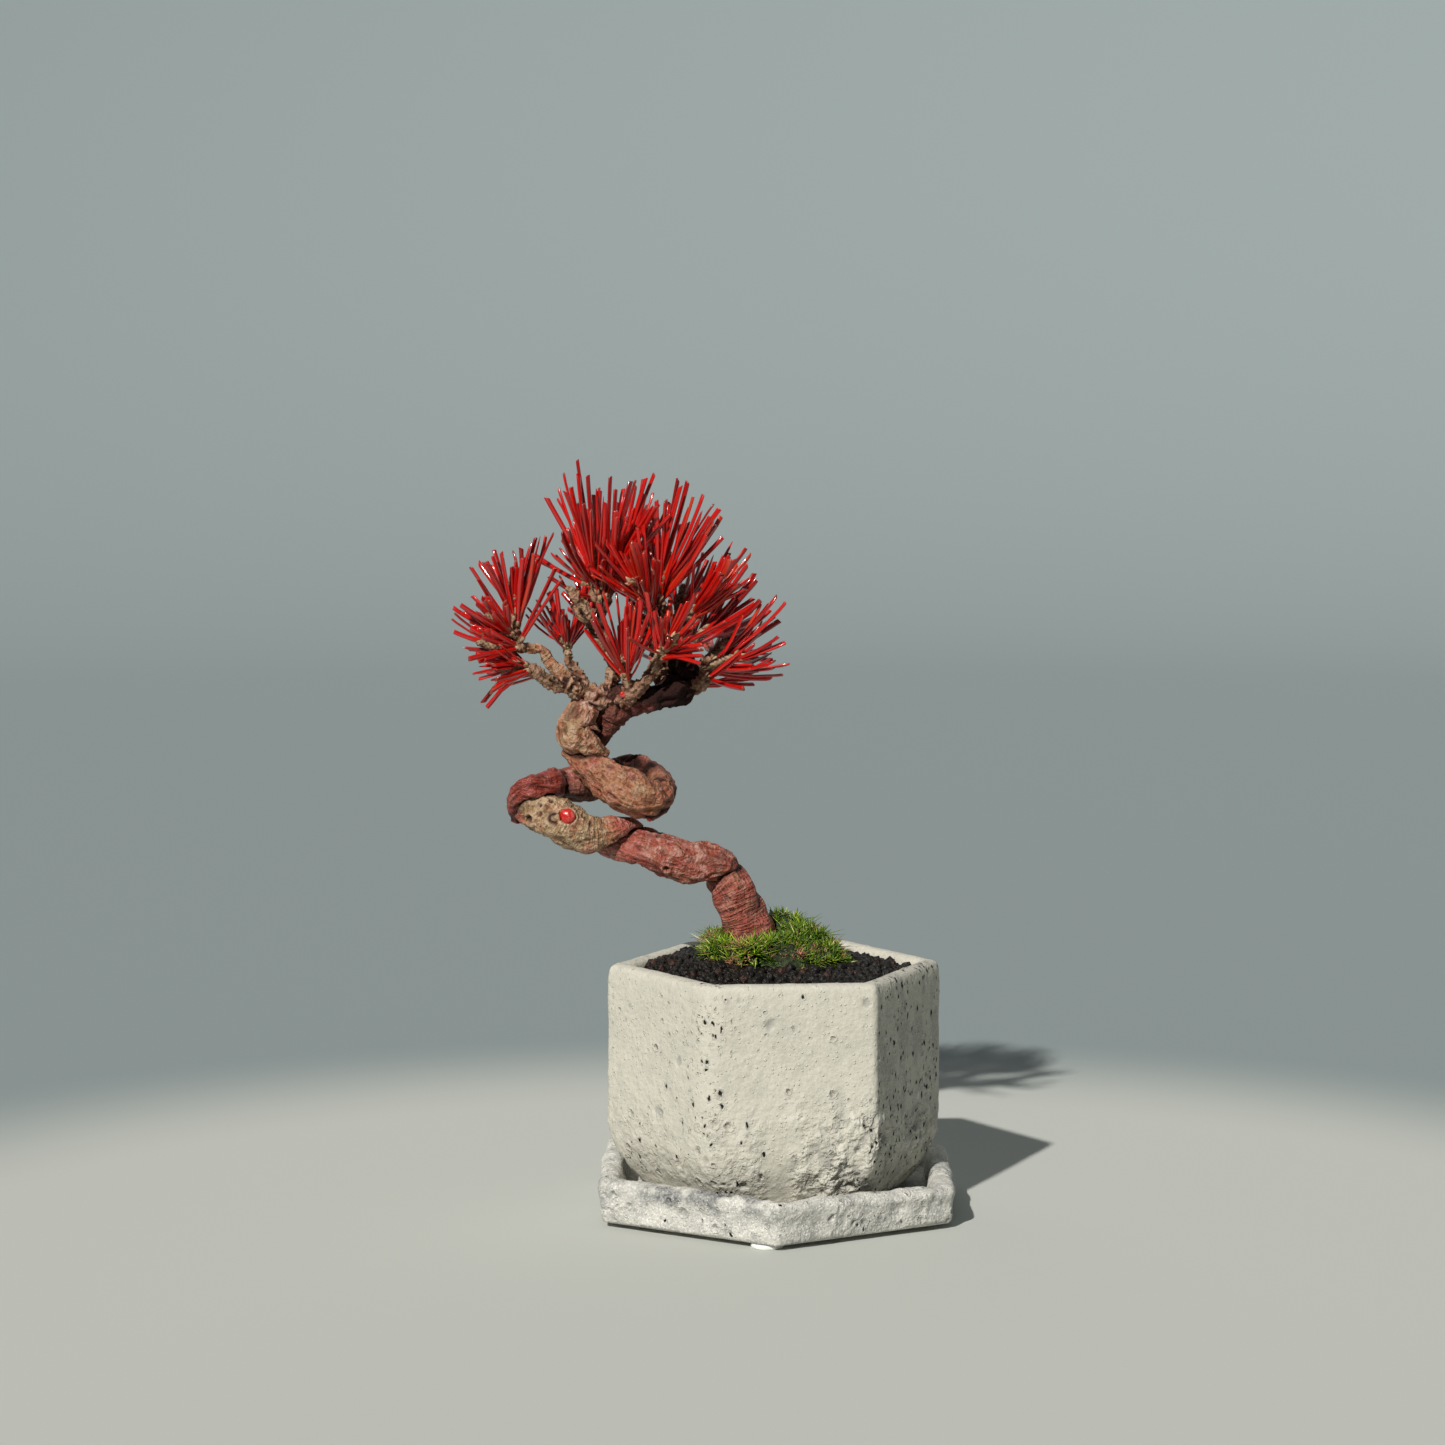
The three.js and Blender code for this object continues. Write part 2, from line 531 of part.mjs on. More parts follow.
function makePot() {
  const ring = ([height, inset]) => atHeight(potOutline(inset), POT.base + height);
  const outside = POT_OUTSIDE.map((row, index) =>
    (index === 0 ? ring(row) : roughened(ring(row), POT.centre, POT.unevenness)));
  const drain = circleLike(potOutline(0), POT.centre, POT.centre, POT.drainRadius);
  const rings = [
    ...outside,
    ...[...POT_RIM_INSIDE, ...POT_INSIDE].map(ring),
    atHeight(drain, POT.base + POT.floor),
    atHeight(drain, POT.base),
  ];
  return piece('pot', toGeometry(loft(rings, true)), finishes.cement);
}

function makeNet() {
  const disc = merged(new THREE.CylinderGeometry(NET.radius, NET.radius, NET.thickness, NET.sides));
  const places = [-2, -1, 0, 1, 2].map((step) => step * NET.pitch);
  let solid = toSolid(disc);
  for (const x of places) {
    for (const z of places.filter((place) => Math.hypot(x, place) < NET.reach)) {
      const hole = new THREE.BoxGeometry(NET.hole, 2 * NET.thickness, NET.hole).translate(x, 0, z);
      solid = solid.subtract(toSolid(merged(hole)));
    }
  }
  const net = piece('drain_net', fromSolid(solid), finishes.blackPlastic);
  net.rotation.x = Math.PI / 2;
  net.position.set(POT.centre.x, POT.centre.y, POT.base + POT.floor + GAP + NET.thickness / 2);
  return net;
}

// How far the moss reaches from the trunk on a bearing in degrees, eased between its eight sizes
function mossSpread(bearing) {
  const eighth = THREE.MathUtils.euclideanModulo(bearing, 360) / 45;
  const low = Math.floor(eighth) % 8;
  return mix(MOSS.spread[low], MOSS.spread[(low + 1) % 8], smooth(eighth - Math.floor(eighth), 0, 1));
}

function bearingFromTrunk(point) {
  return Math.atan2(point.x - COLLAR.centre.x, COLLAR.centre.y - point.y) / DEGREE;
}

function makeSoil(random) {
  const clear = GAP + SOIL.slack;
  const side = (inset) => potOutline(inset, 2, 7);
  const rimOutline = side(POT.wall);
  const floor = POT.base + POT.floor + GAP;
  const netTop = floor + NET.thickness + GAP;
  const recess = circleLike(rimOutline, POT.centre, POT.centre, NET.radius + 2 * GAP);
  const hole = circleLike(rimOutline, POT.centre, COLLAR.centre, COLLAR.radius);
  const grainHeight = (share) => (point) => {
    const spread = mossSpread(bearingFromTrunk(point));
    const outside = point.distanceTo(COLLAR.centre) - spread - SOIL.patchMargin;
    const mound = mix(SOIL.edge, SOIL.patch, smooth(share, 0, 0.7));
    const lump = SOIL.grain * (2 * random() - 1);
    return outside > 0 ? mound + lump : SOIL.patch;
  };
  const against = POT_INSIDE.toReversed().map(([height, inset], index) =>
    atHeight(side(inset + clear), index === 0 ? floor : POT.base + height));
  const rings = [
    atHeight(recess, netTop),
    atHeight(recess, floor),
    ...against,
    atHeight(rimOutline, SOIL.edge),
  ];
  for (let row = 1; row < SOIL.rows; row += 1) {
    const share = row / SOIL.rows;
    const inwards = rimOutline.map((point, index) => point.clone().lerp(hole[index], share));
    rings.push(atHeight(inwards, grainHeight(share)));
  }
  rings.push(atHeight(hole, SOIL.patch), atHeight(hole, COLLAR.rootEnd - GAP));
  return piece('soil', toGeometry(loft(rings)), finishes.blackGrain);
}

// A ring of moss round the trunk: a mound of tufts, highest at its hump on the right towards the back
function makeMoss(random) {
  const underside = SOIL.patch + GAP;
  const bearings = Array.from({ length: MOSS.sides }, (_, step) => (360 * step) / MOSS.sides);
  const around = (centre, radiusAt) => bearings.map((bearing) =>
    planDirection(bearing).multiplyScalar(radiusAt(bearing)).add(centre));
  const foot = around(COLLAR.centre, () => COLLAR.radius);
  const mouth = around(MOSS.mouth, () => MOSS.mouthRadius);
  const brim = around(COLLAR.centre, mossSpread);
  const heightAt = (share, bearing) => {
    const away = THREE.MathUtils.euclideanModulo(bearing - MOSS.humpBearing + 180, 360) - 180;
    const beside = Math.exp(-((away / MOSS.humpWidth) ** 2));
    const hump = MOSS.hump * beside * Math.sin(Math.PI * Math.min(1, share + MOSS.humpShift));
    return MOSS.edge + MOSS.height * (1 - share ** MOSS.fall) + hump;
  };
  const rings = [atHeight(brim, underside)];
  for (let row = MOSS.rows; row >= 0; row -= 1) {
    const share = row / MOSS.rows;
    const inner = row === 0;
    rings.push(atHeight(brim.map((point, index) => mouth[index].clone().lerp(point, share)), (_, index) => {
      const tuft = inner ? 0 : MOSS.tuft * random();
      return underside + heightAt(share, bearings[index]) - MOSS.edge / 2 + tuft;
    }));
  }
  rings.push(atHeight(foot, underside));
  return piece('moss', toGeometry(loft(rings, true)), finishes.moss);
}

// Shortest distance between two straight stretches, each { from, to }
function distanceBetween(first, second) {
  const along = first.to.clone().sub(first.from);
  const other = second.to.clone().sub(second.from);
  const apart = first.from.clone().sub(second.from);
  const a = along.dot(along);
  const b = along.dot(other);
  const c = other.dot(other);
  const d = along.dot(apart);
  const e = other.dot(apart);
  const clamp = (value) => THREE.MathUtils.clamp(value, 0, 1);
  const parallel = a * c - b * b < 1e-9;
  const onFirst = parallel ? 0 : clamp((b * e - c * d) / (a * c - b * b));
  const onSecond = clamp((b * onFirst + e) / c);
  const settled = clamp((b * onSecond - d) / a);
  return apart.addScaledVector(along, settled).addScaledVector(other, -onSecond).length();
}

function stretchesOf(path, radii) {
  return path.slice(1).map((to, index) => {
    const radius = Math.max(radii[index], radii[index + 1]);
    return { from: path[index], to, radius };
  });
}

// All wood, as straight stretches that the needles keep clear of
function woodStretches() {
  const rows = [...COILS, ...BRANCHES, ...STUBS, ...SPRAYS.map(({ twig }) => drawnBack(twig))];
  return rows.flatMap((limbRows) => {
    const { path, radii } = route(limbRows, LIMBS.stub.spacing);
    return stretchesOf(path, radii);
  });
}

// The shoot that carries a spray: it starts square on its twig's end and turns to its own aim
function shootOf(spray) {
  const { path } = route(drawnBack(spray.twig), LIMBS.twig.spacing);
  const out = path.at(-1).clone().sub(path.at(-2)).normalize();
  const aim = new THREE.Vector3(...spray.aim).normalize();
  const start = path.at(-1).clone().addScaledVector(out, GAP);
  const spring = new THREE.Vector3(...spray.twig.at(-1).slice(0, 3));
  const neck = start.clone().addScaledVector(out, SHOOT.length * SHOOT.neck);
  const reach = SHOOT.length * (1 - SHOOT.neck);
  const bud = neck.clone().addScaledVector(aim, reach * 0.5);
  const tip = neck.clone().addScaledVector(aim, reach);
  const radii = [SHOOT.radius, SHOOT.radius, SHOOT.bud, SHOOT.tip];
  return { spring, aim, neck, reach, path: [start, neck, bud, tip], radii };
}

// Tips tried in turn for a needle whose place in the outline is known: the unseen depth is what varies
function fanTips(spray, shoot, [bearing, reach], index) {
  const depth = Math.sqrt(Math.max(spray.needle ** 2 - reach ** 2, FAN.leastDepth ** 2));
  const sign = index % 2 === 0 ? FAN.depth : -FAN.depth;
  return FAN.shares.map((share) => new THREE.Vector3(
    shoot.spring.x + reach * Math.sin(bearing * DEGREE),
    shoot.spring.y + depth * share * sign,
    shoot.spring.z + reach * Math.cos(bearing * DEGREE),
  ));
}

// Tips on the golden turn round the shoot, leaning out by a random share and lifted towards the light
function fillTip(spray, shoot, order, random) {
  const side = new THREE.Vector3(0, 1, 0).cross(shoot.aim).normalize();
  const across = shoot.aim.clone().cross(side);
  const turn = GOLDEN_TURN * order;
  const lean = FILL.lean * Math.sqrt(mix(FILL.upright, 1, random()));
  const length = spray.needle * mix(FILL.shortest, FILL.longest, random());
  const heading = shoot.aim.clone().multiplyScalar(Math.cos(lean))
    .addScaledVector(side, Math.sin(lean) * Math.cos(turn))
    .addScaledVector(across, Math.sin(lean) * Math.sin(turn));
  heading.z += FILL.lift;
  return shoot.neck.clone().addScaledVector(heading.normalize(), length);
}

// Where a needle leaves the shoot: the more it leans the lower, on the side that it points to
function needleRoot(shoot, tip) {
  const lean = tip.clone().sub(shoot.neck).angleTo(shoot.aim);
  const share = THREE.MathUtils.clamp(1 - lean / WIDEST_LEAN, NEEDLE.lowest, NEEDLE.highest);
  const onAxis = shoot.neck.clone().addScaledVector(shoot.aim, shoot.reach * share);
  const outward = tip.clone().sub(onAxis);
  outward.addScaledVector(shoot.aim, -outward.dot(shoot.aim)).normalize();
  return onAxis.addScaledVector(outward, SHOOT.sunk);
}

// Lays out a spray's needles so that none comes near the wood or a needle of another spray
function needlesOf(spray, shoot, taken, random) {
  const own = [];
  const fits = ([root, tip]) => {
    const bare = { from: root.clone().lerp(tip, NEEDLE.bare), to: tip };
    return taken.every((other) =>
      distanceBetween(bare, other) > other.radius + NEEDLE.radius + NEEDLE.clearance);
  };
  const place = (tips) => {
    const path = tips.map((tip) => [needleRoot(shoot, tip), tip]).find(fits);
    if (path) {
      own.push(path);
    }
  };
  spray.fan.forEach((aimed, index) => place(fanTips(spray, shoot, aimed, index)));
  for (let order = 0; order < MOST_TRIES && own.length < NEEDLES_PER_SPRAY; order += 1) {
    place([fillTip(spray, shoot, order, random)]);
  }
  return own;
}

function makeSprays(random) {
  const shoots = SPRAYS.map(shootOf);
  const taken = [...woodStretches(), ...shoots.flatMap(({ path, radii }) => stretchesOf(path, radii))];
  return SPRAYS.map((spray, index) => {
    const shoot = shoots[index];
    const others = taken.filter((stretch) => !shoot.path.includes(stretch.from));
    const needles = needlesOf(spray, shoot, others, random);
    const radii = [NEEDLE.rootShare * NEEDLE.radius, NEEDLE.radius];
    const solids = needles.map((path) => toSolid(toGeometry(tube(path, radii, NEEDLE.sides))));
    taken.push(...needles.flatMap((path) => stretchesOf(path, radii)));
    const core = toSolid(toGeometry(tube(shoot.path, shoot.radii, SHOOT.sides)));
    return piece(spray.name, fromSolid(joined([core, ...solids])), finishes.redNeedle);
  });
}

const bonsai = new THREE.Group();
bonsai.add(
  ...makePads(),
  makeSaucer(),
  makePot(),
  makeNet(),
  makeSoil(seededRandom(11)),
  makeMoss(seededRandom(23)),
  makeTree(),
  ...makeSprays(seededRandom(47)),
);

// The origin is on the table under the middle of the whole outline
bonsai.updateMatrixWorld(true);
const outline = new THREE.Box3().setFromObject(bonsai, true);
const middle = outline.getCenter(new THREE.Vector3());
bonsai.position.set(-middle.x, -middle.y, -outline.min.z);
bonsai.updateMatrixWorld(true);

export default bonsai;
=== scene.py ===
"""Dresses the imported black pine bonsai: its wood, needles, moss, soil, pot, saucer and pads.

Lengths here are millimetres in the plant's own layout, which is measured from the saucer's axis with the
table at height 0 and the viewer in front at -Y. `Workbench` turns them into metres in the part's frame.
Bearings in plan are degrees from the front, turning towards +X.
"""

import logging
import math
from dataclasses import dataclass, field
from enum import Enum
from functools import cache

import bpy
import numpy as np
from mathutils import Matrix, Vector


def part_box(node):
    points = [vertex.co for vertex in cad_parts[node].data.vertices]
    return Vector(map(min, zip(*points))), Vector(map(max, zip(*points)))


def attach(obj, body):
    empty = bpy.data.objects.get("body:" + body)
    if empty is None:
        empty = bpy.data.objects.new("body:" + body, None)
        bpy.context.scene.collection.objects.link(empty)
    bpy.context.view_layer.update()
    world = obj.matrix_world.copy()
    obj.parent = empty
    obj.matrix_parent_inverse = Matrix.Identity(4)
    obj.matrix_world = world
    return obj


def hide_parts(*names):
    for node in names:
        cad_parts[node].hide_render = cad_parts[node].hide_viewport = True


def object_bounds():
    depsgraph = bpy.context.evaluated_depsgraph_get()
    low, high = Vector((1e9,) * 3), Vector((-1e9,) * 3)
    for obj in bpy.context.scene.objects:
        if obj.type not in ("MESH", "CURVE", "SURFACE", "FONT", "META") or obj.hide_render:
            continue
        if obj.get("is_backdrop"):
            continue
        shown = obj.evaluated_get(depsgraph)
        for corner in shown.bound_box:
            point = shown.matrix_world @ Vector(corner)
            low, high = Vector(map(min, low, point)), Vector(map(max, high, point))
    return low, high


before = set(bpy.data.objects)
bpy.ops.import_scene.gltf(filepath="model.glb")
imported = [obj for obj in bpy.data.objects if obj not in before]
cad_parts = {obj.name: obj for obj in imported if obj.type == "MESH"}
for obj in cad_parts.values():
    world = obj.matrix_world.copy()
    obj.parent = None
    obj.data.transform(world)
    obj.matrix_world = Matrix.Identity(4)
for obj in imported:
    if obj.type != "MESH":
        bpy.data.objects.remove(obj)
CAD_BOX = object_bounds()

LOG = logging.getLogger("bonsai")
METRE = 0.001
GOLDEN_TURN = math.radians(137.508)
BODY = "root"

Array = np.ndarray
Random = np.random.Generator
Material = bpy.types.Material
Node = bpy.types.Node
Socket = bpy.types.NodeSocket
Tree = bpy.types.NodeTree
Rows = list[tuple[float, float, float, float]]


class Slot(Enum):
    """Names of the record's material slots; nothing below uses them."""

    CEMENT = "cement"
    PALE_CEMENT = "pale_cement"
    RUBBER = "clear_rubber"
    SOIL = "black_soil"
    MOSS = "moss"
    BARK = "bark"
    NEEDLE = "red_needle"


def plan_direction(bearing: float | Array) -> Array:
    """Returns the unit vectors in plan of bearings in degrees: sine along X, minus cosine along Y."""
    turn = np.radians(bearing)
    return np.stack([np.sin(turn), -np.cos(turn)], axis=-1)


def plan_bearing(offset: Array) -> Array:
    """Returns the bearings in degrees of offsets in plan."""
    return np.degrees(np.arctan2(offset[..., 0], -offset[..., 1]))


def unit(vectors: Array) -> Array:
    """Returns the vectors divided by their lengths."""
    return vectors / np.maximum(np.linalg.norm(vectors, axis=-1, keepdims=True), 1e-9)


def across_of(vectors: Array, axes: Array) -> Array:
    """Returns the unit vectors of what is left of vectors without their part along axes."""
    return unit(vectors - axes * (vectors * axes).sum(-1, keepdims=True))


def distance(points: Array, middle: tuple) -> Array:
    """Returns how far points are from a middle."""
    return np.linalg.norm(points - np.array(middle), axis=-1)


def circle(count: int) -> Array:
    """Returns even points of the unit circle, anticlockwise from +X, shape (count, 2)."""
    turn = np.linspace(0, 2 * np.pi, count, endpoint=False)
    return np.stack([np.cos(turn), np.sin(turn)], axis=-1)


def raised(plan: Array, heights: Array | float) -> Array:
    """Returns rings of points in plan with heights: one number, or an array with a row for each ring."""
    return np.dstack([plan, np.broadcast_to(heights, plan.shape[:2])])


def rays(side: Array, across: Array, ring: Array) -> Array:
    """Returns side · x + across · y for each of the ring's points (x, y), shape (rings, sides, 3)."""
    return side[:, None] * ring[:, :1] + across[:, None] * ring[:, 1:]


def eased(values: Array, low: float, high: float) -> Array:
    """Returns shares that rise from 0 at low to 1 at high along 3t² - 2t³."""
    share = np.clip((values - low) / (high - low), 0, 1)
    return share * share * (3 - 2 * share)


def bell(values: Array, middle: Array | float, width: float) -> Array:
    """Returns exp(-((v - middle) / width)²), which is 1 at the middle and falls off to both sides."""
    return np.exp(-(((values - middle) / width) ** 2))


def hashed(cells: Array, seed: int) -> Array:
    """Gives each whole-number cell its own even random number.

    The indices are multiplied by large odd numbers and added, then shifts and products mix the bits.

    Args:
        cells: Whole numbers, shape (..., 3).
        seed: Which family of random numbers is drawn.

    Returns:
        One number from 0 to 1 for each cell, shape (...).
    """
    mask = 0xFFFFFFFF
    mixed = (cells.astype(np.int64) @ np.array([73856093, 19349663, 83492791]) + seed * 40503677) & mask
    mixed = ((mixed ^ (mixed >> 15)) * 739982445) & mask
    mixed = ((mixed ^ (mixed >> 12)) * 695872825) & mask
    return ((mixed ^ (mixed >> 15)) & 0xFFFFFF) / 0x1000000


def noise(points: Array, size: float, seed: int) -> Array:
    """Smooth random waves: numbers at the corners of cubes, blended by 3t² - 2t³ along each edge.

    Args:
        points: Places, shape (..., 3).
        size: Edge of a cube, in the points' units.
        seed: Which waves.

    Returns:
        Values from -1 to 1, shape (...).
    """
    scaled = points / size
    low = np.floor(scaled)
    share = eased(scaled - low, 0, 1)
    total = np.zeros(points.shape[:-1])
    for corner in np.ndindex(2, 2, 2):
        picked = np.array(corner)
        weight = np.prod(np.where(picked == 1, share, 1 - share), axis=-1)
        total += weight * hashed(low + picked, seed)
    return 2 * total - 1


def layered(points: Array, size: float, layers: int, seed: int) -> Array:
    """Adds waves of sizes s, s/2, s/4 and so on, each with 0.55 of the height of the one before.

    Args:
        points: Places, shape (..., 3).
        size: The largest wave's size.
        layers: How many sizes are added.
        seed: Which waves.

    Returns:
        Values of about -1 to 1, shape (...).
    """
    heights = 0.55 ** np.arange(layers)
    waves = [height * noise(points, size / 2**layer, seed + layer) for layer, height in enumerate(heights)]
    return sum(waves) / heights.sum() * 1.6


def scattered(points: Array, size: float, seed: int) -> tuple[Array, Array, Array]:
    """Measures how far each place is from centres strewn at random, one in each cube.

    Args:
        points: Places, shape (..., 3).
        size: Edge of a cube.
        seed: Which centres.

    Returns:
        The distances to the nearest and the second nearest centre, and the nearest one's random number.
    """
    scaled = points / size
    home = np.floor(scaled)
    nearest = np.full(points.shape[:-1], 9.0)
    second = nearest.copy()
    pick = np.zeros(points.shape[:-1])
    for step in np.ndindex(3, 3, 3):
        cell = home + np.array(step) - 1
        centre = cell + np.stack([hashed(cell, seed + part) for part in range(3)], axis=-1)
        away = np.linalg.norm(scaled - centre, axis=-1)
        closer = away < nearest
        second = np.where(closer, nearest, np.minimum(second, away))
        pick = np.where(closer, hashed(cell, seed + 3), pick)
        nearest = np.minimum(nearest, away)
    return nearest * size, second * size, pick


def smooth_curve(rows: Array, places: Array) -> Array:
    """Evaluates a centripetal Catmull-Rom curve.

    Between two rows it is the cubic whose end slopes are the non-uniform differences of the neighbours,
    with knots spaced by the square root of the distance. Beyond each end a mirrored row is assumed.

    Args:
        rows: Points on the curve, shape (n, d).
        places: Where to evaluate, from 0 at the first row to n - 1 at the last.

    Returns:
        Points, shape (len(places), d).
    """
    padded = np.vstack([2 * rows[0] - rows[1], rows, 2 * rows[-1] - rows[-2]])
    span = np.clip(places.astype(int), 0, len(rows) - 2)
    share = (places - span)[:, None]
    before, start, end, after = (padded[span + step] for step in range(4))
    knots = [
        np.maximum(np.linalg.norm(high - low, axis=1, keepdims=True), 1e-6) ** 0.5
        for low, high in ((before, start), (start, end), (end, after))
    ]
    leaving = (start - before) / knots[0] - (end - before) / (knots[0] + knots[1]) + (end - start) / knots[1]
    arriving = (end - start) / knots[1] - (after - start) / (knots[1] + knots[2]) + (after - end) / knots[2]
    leaving = leaving * knots[1]
    arriving = arriving * knots[1]
    square = 3 * (end - start) - 2 * leaving - arriving
    cube = 2 * (start - end) + leaving + arriving
    return start + share * (leaving + share * (square + share * cube))


def even_steps(rows: Array, spacing: float) -> tuple[Array, Array]:
    """Walks a smooth curve through the rows in even steps.

    Args:
        rows: Points, shape (n, d).
        spacing: Length of a step, rounded so that a whole number of steps fits.

    Returns:
        The points walked, and each one's place among the rows, from 0 to n - 1.
    """
    fine = np.linspace(0, len(rows) - 1, 40 * (len(rows) - 1) + 1)
    curve = smooth_curve(rows, fine)
    lengths = travelled(curve)
    steps = max(2, round(lengths[-1] / spacing))
    places = np.interp(np.linspace(0, lengths[-1], steps + 1), lengths, fine)
    return np.stack([np.interp(places, fine, column) for column in curve.T], axis=1), places


def travelled(path: Array) -> Array:
    """Returns the length along a path at each of its points, from 0."""
    return np.concatenate([[0], np.cumsum(np.linalg.norm(np.diff(path, axis=0), axis=1))])


@dataclass
class Skin:
    """A surface under construction, in layout millimetres.

    Attributes:
        points: Corners of the faces, shape (n, 3).
        quads: Faces of four corners.
        triangles: Faces of three corners.
        marks: Named values for each point, of one number or three.
    """

    points: Array
    quads: Array
    triangles: Array = field(default_factory=lambda: np.empty((0, 3), int))
    marks: dict[str, Array] = field(default_factory=dict)

    @staticmethod
    def joined(skins: list["Skin"]) -> "Skin":
        """Puts several skins with the same marks into one.

        Args:
            skins: The skins.

        Returns:
            One skin with all their points and faces.
        """
        starts = np.cumsum([0] + [len(skin.points) for skin in skins[:-1]])
        return Skin(
            points=np.concatenate([skin.points for skin in skins]),
            quads=np.concatenate([skin.quads + start for skin, start in zip(skins, starts)]),
            triangles=np.concatenate([skin.triangles + start for skin, start in zip(skins, starts)]),
            marks={name: np.concatenate([skin.marks[name] for skin in skins]) for name in skins[0].marks},
        )


def lattice_quads(rows: int, columns: int, looped: bool = False) -> Array:
    """Numbers the faces of a stack of rings.

    Args:
        rows: Number of rings.
        columns: Points in a ring.
        looped: True if the last ring joins the first.

    Returns:
        Corner numbers, shape (faces, 4), outwards for rings that run anticlockwise and rise.
    """
    low = np.arange(rows if looped else rows - 1)[:, None] * columns
    high = (low + columns) % (rows * columns)
    step = np.arange(columns)[None, :]
    following = (step + 1) % columns
    faces = [low + step, low + following, high + following, high + step]
    return np.stack(np.broadcast_arrays(*faces), axis=-1).reshape(-1, 4)


def end_fans(rows: int, columns: int) -> Array:
    """Numbers the triangles that close both ends of a stack of rings.

    Args:
        rows: Number of rings.
        columns: Points in a ring.

    Returns:
        Corner numbers, shape (faces, 3). The two middles come after the rings' points.
    """
    step = np.arange(columns)
    following = (step + 1) % columns
    start = np.full(columns, rows * columns)
    last = (rows - 1) * columns
    foot = np.stack([start, following, step], axis=1)
    return np.concatenate([foot, np.stack([start + 1, last + step, last + following], axis=1)])


def capped_skin(grid: Array, marks: dict[str, Array] | None = None) -> Skin:
    """Closes a stack of rings with a fan of triangles at each end.

    Args:
        grid: Rings of points, shape (rows, columns, 3).
        marks: Values for the grid's points, shape (rows, columns) or (rows, columns, 3).

    Returns:
        The closed skin.
    """
    rows, columns = grid.shape[:2]
    spread = {
        name: np.concatenate([values.reshape(rows * columns, *values.shape[2:]), values[[0, -1]].mean(1)])
        for name, values in {"": grid, **(marks or {})}.items()
    }
    return Skin(spread.pop(""), lattice_quads(rows, columns), end_fans(rows, columns), spread)


def looped_skin(grid: Array, marks: dict[str, Array]) -> Skin:
    """Closes a stack of rings by joining the last to the first, with values for the grid's points."""
    quads = lattice_quads(*grid.shape[:2], looped=True)
    return Skin(grid.reshape(-1, 3), quads, marks={name: mark.ravel() for name, mark in marks.items()})


def grid_normals(grid: Array) -> Array:
    """Returns the outward unit vectors of a stack of rings: the product of its slopes round and along."""
    around = np.roll(grid, -1, axis=1) - np.roll(grid, 1, axis=1)
    return unit(np.cross(around, np.gradient(grid, axis=0)))


def bundle_skin(centres: Array, side: Array, across: Array, section: Array, spread: Array) -> Skin:
    """Builds many small closed tubes at once, such as needles, leaves or grains.

    A ring's point is its centre + side · x · spread_x + across · y · spread_y for each point (x, y) of the
    section, and a middle point closes each end.

    Args:
        centres: Middles of the rings, shape (count, rings, 3).
        side: Unit vectors for the section's x, shape (count, 3).
        across: Unit vectors for its y, shaped as side.
        section: The outline of a ring, shape (sides, 2), anticlockwise seen against the tube's direction.
        spread: Half width and half depth of the rings, shape (count, rings, 2) or (count, rings, 1).

    Returns:
        The skin, with marks "along" from 0 at the root to 1 at the tip and "pick", random for each tube.
    """
    count, rings = centres.shape[:2]
    sides = len(section)
    flat = section[None, None] * spread[:, :, None]
    grid = centres[:, :, None] + side[:, None, None] * flat[..., :1] + across[:, None, None] * flat[..., 1:]
    per_tube = rings * sides + 2
    points = np.concatenate([grid.reshape(count, -1, 3), grid[:, :1].mean(2), grid[:, -1:].mean(2)], axis=1)
    offsets = (np.arange(count) * per_tube)[:, None, None]
    along = np.concatenate([np.repeat(np.linspace(0, 1, rings), sides), [0, 1]])
    return Skin(
        points=points.reshape(-1, 3),
        quads=(lattice_quads(rings, sides)[None] + offsets).reshape(-1, 4),
        triangles=(end_fans(rings, sides)[None] + offsets).reshape(-1, 3),
        marks={
            "along": np.tile(along, count),
            "pick": np.repeat(hashed(np.round(centres[:, 0] * 100), 5), per_tube),
        },
    )


def frames_along(path: Array) -> tuple[Array, Array]:
    """Carries a pair of cross directions along a path without letting them spin.

    Args:
        path: Points in order, shape (rings, 3).

    Returns:
        Unit vectors to the path's side and across it, each of shape (rings, 3).
    """
    along = unit(np.gradient(path, axis=0))
    start = along[0]
    side = np.cross([start[2], start[0], start[1]], start)
    sides = []
    for direction in along:
        side = unit(side - direction * (side @ direction))
        sides.append(side)
    return np.array(sides), np.cross(along, np.array(sides))


def placed(name: str, data: bpy.types.ID) -> bpy.types.Object:
    """Makes an object and puts it into the scene.

    Args:
        name: The object's name.
        data: Its mesh, lamp or camera.

    Returns:
        The object.
    """
    made = bpy.data.objects.new(name, data)
    bpy.context.scene.collection.objects.link(made)
    return made


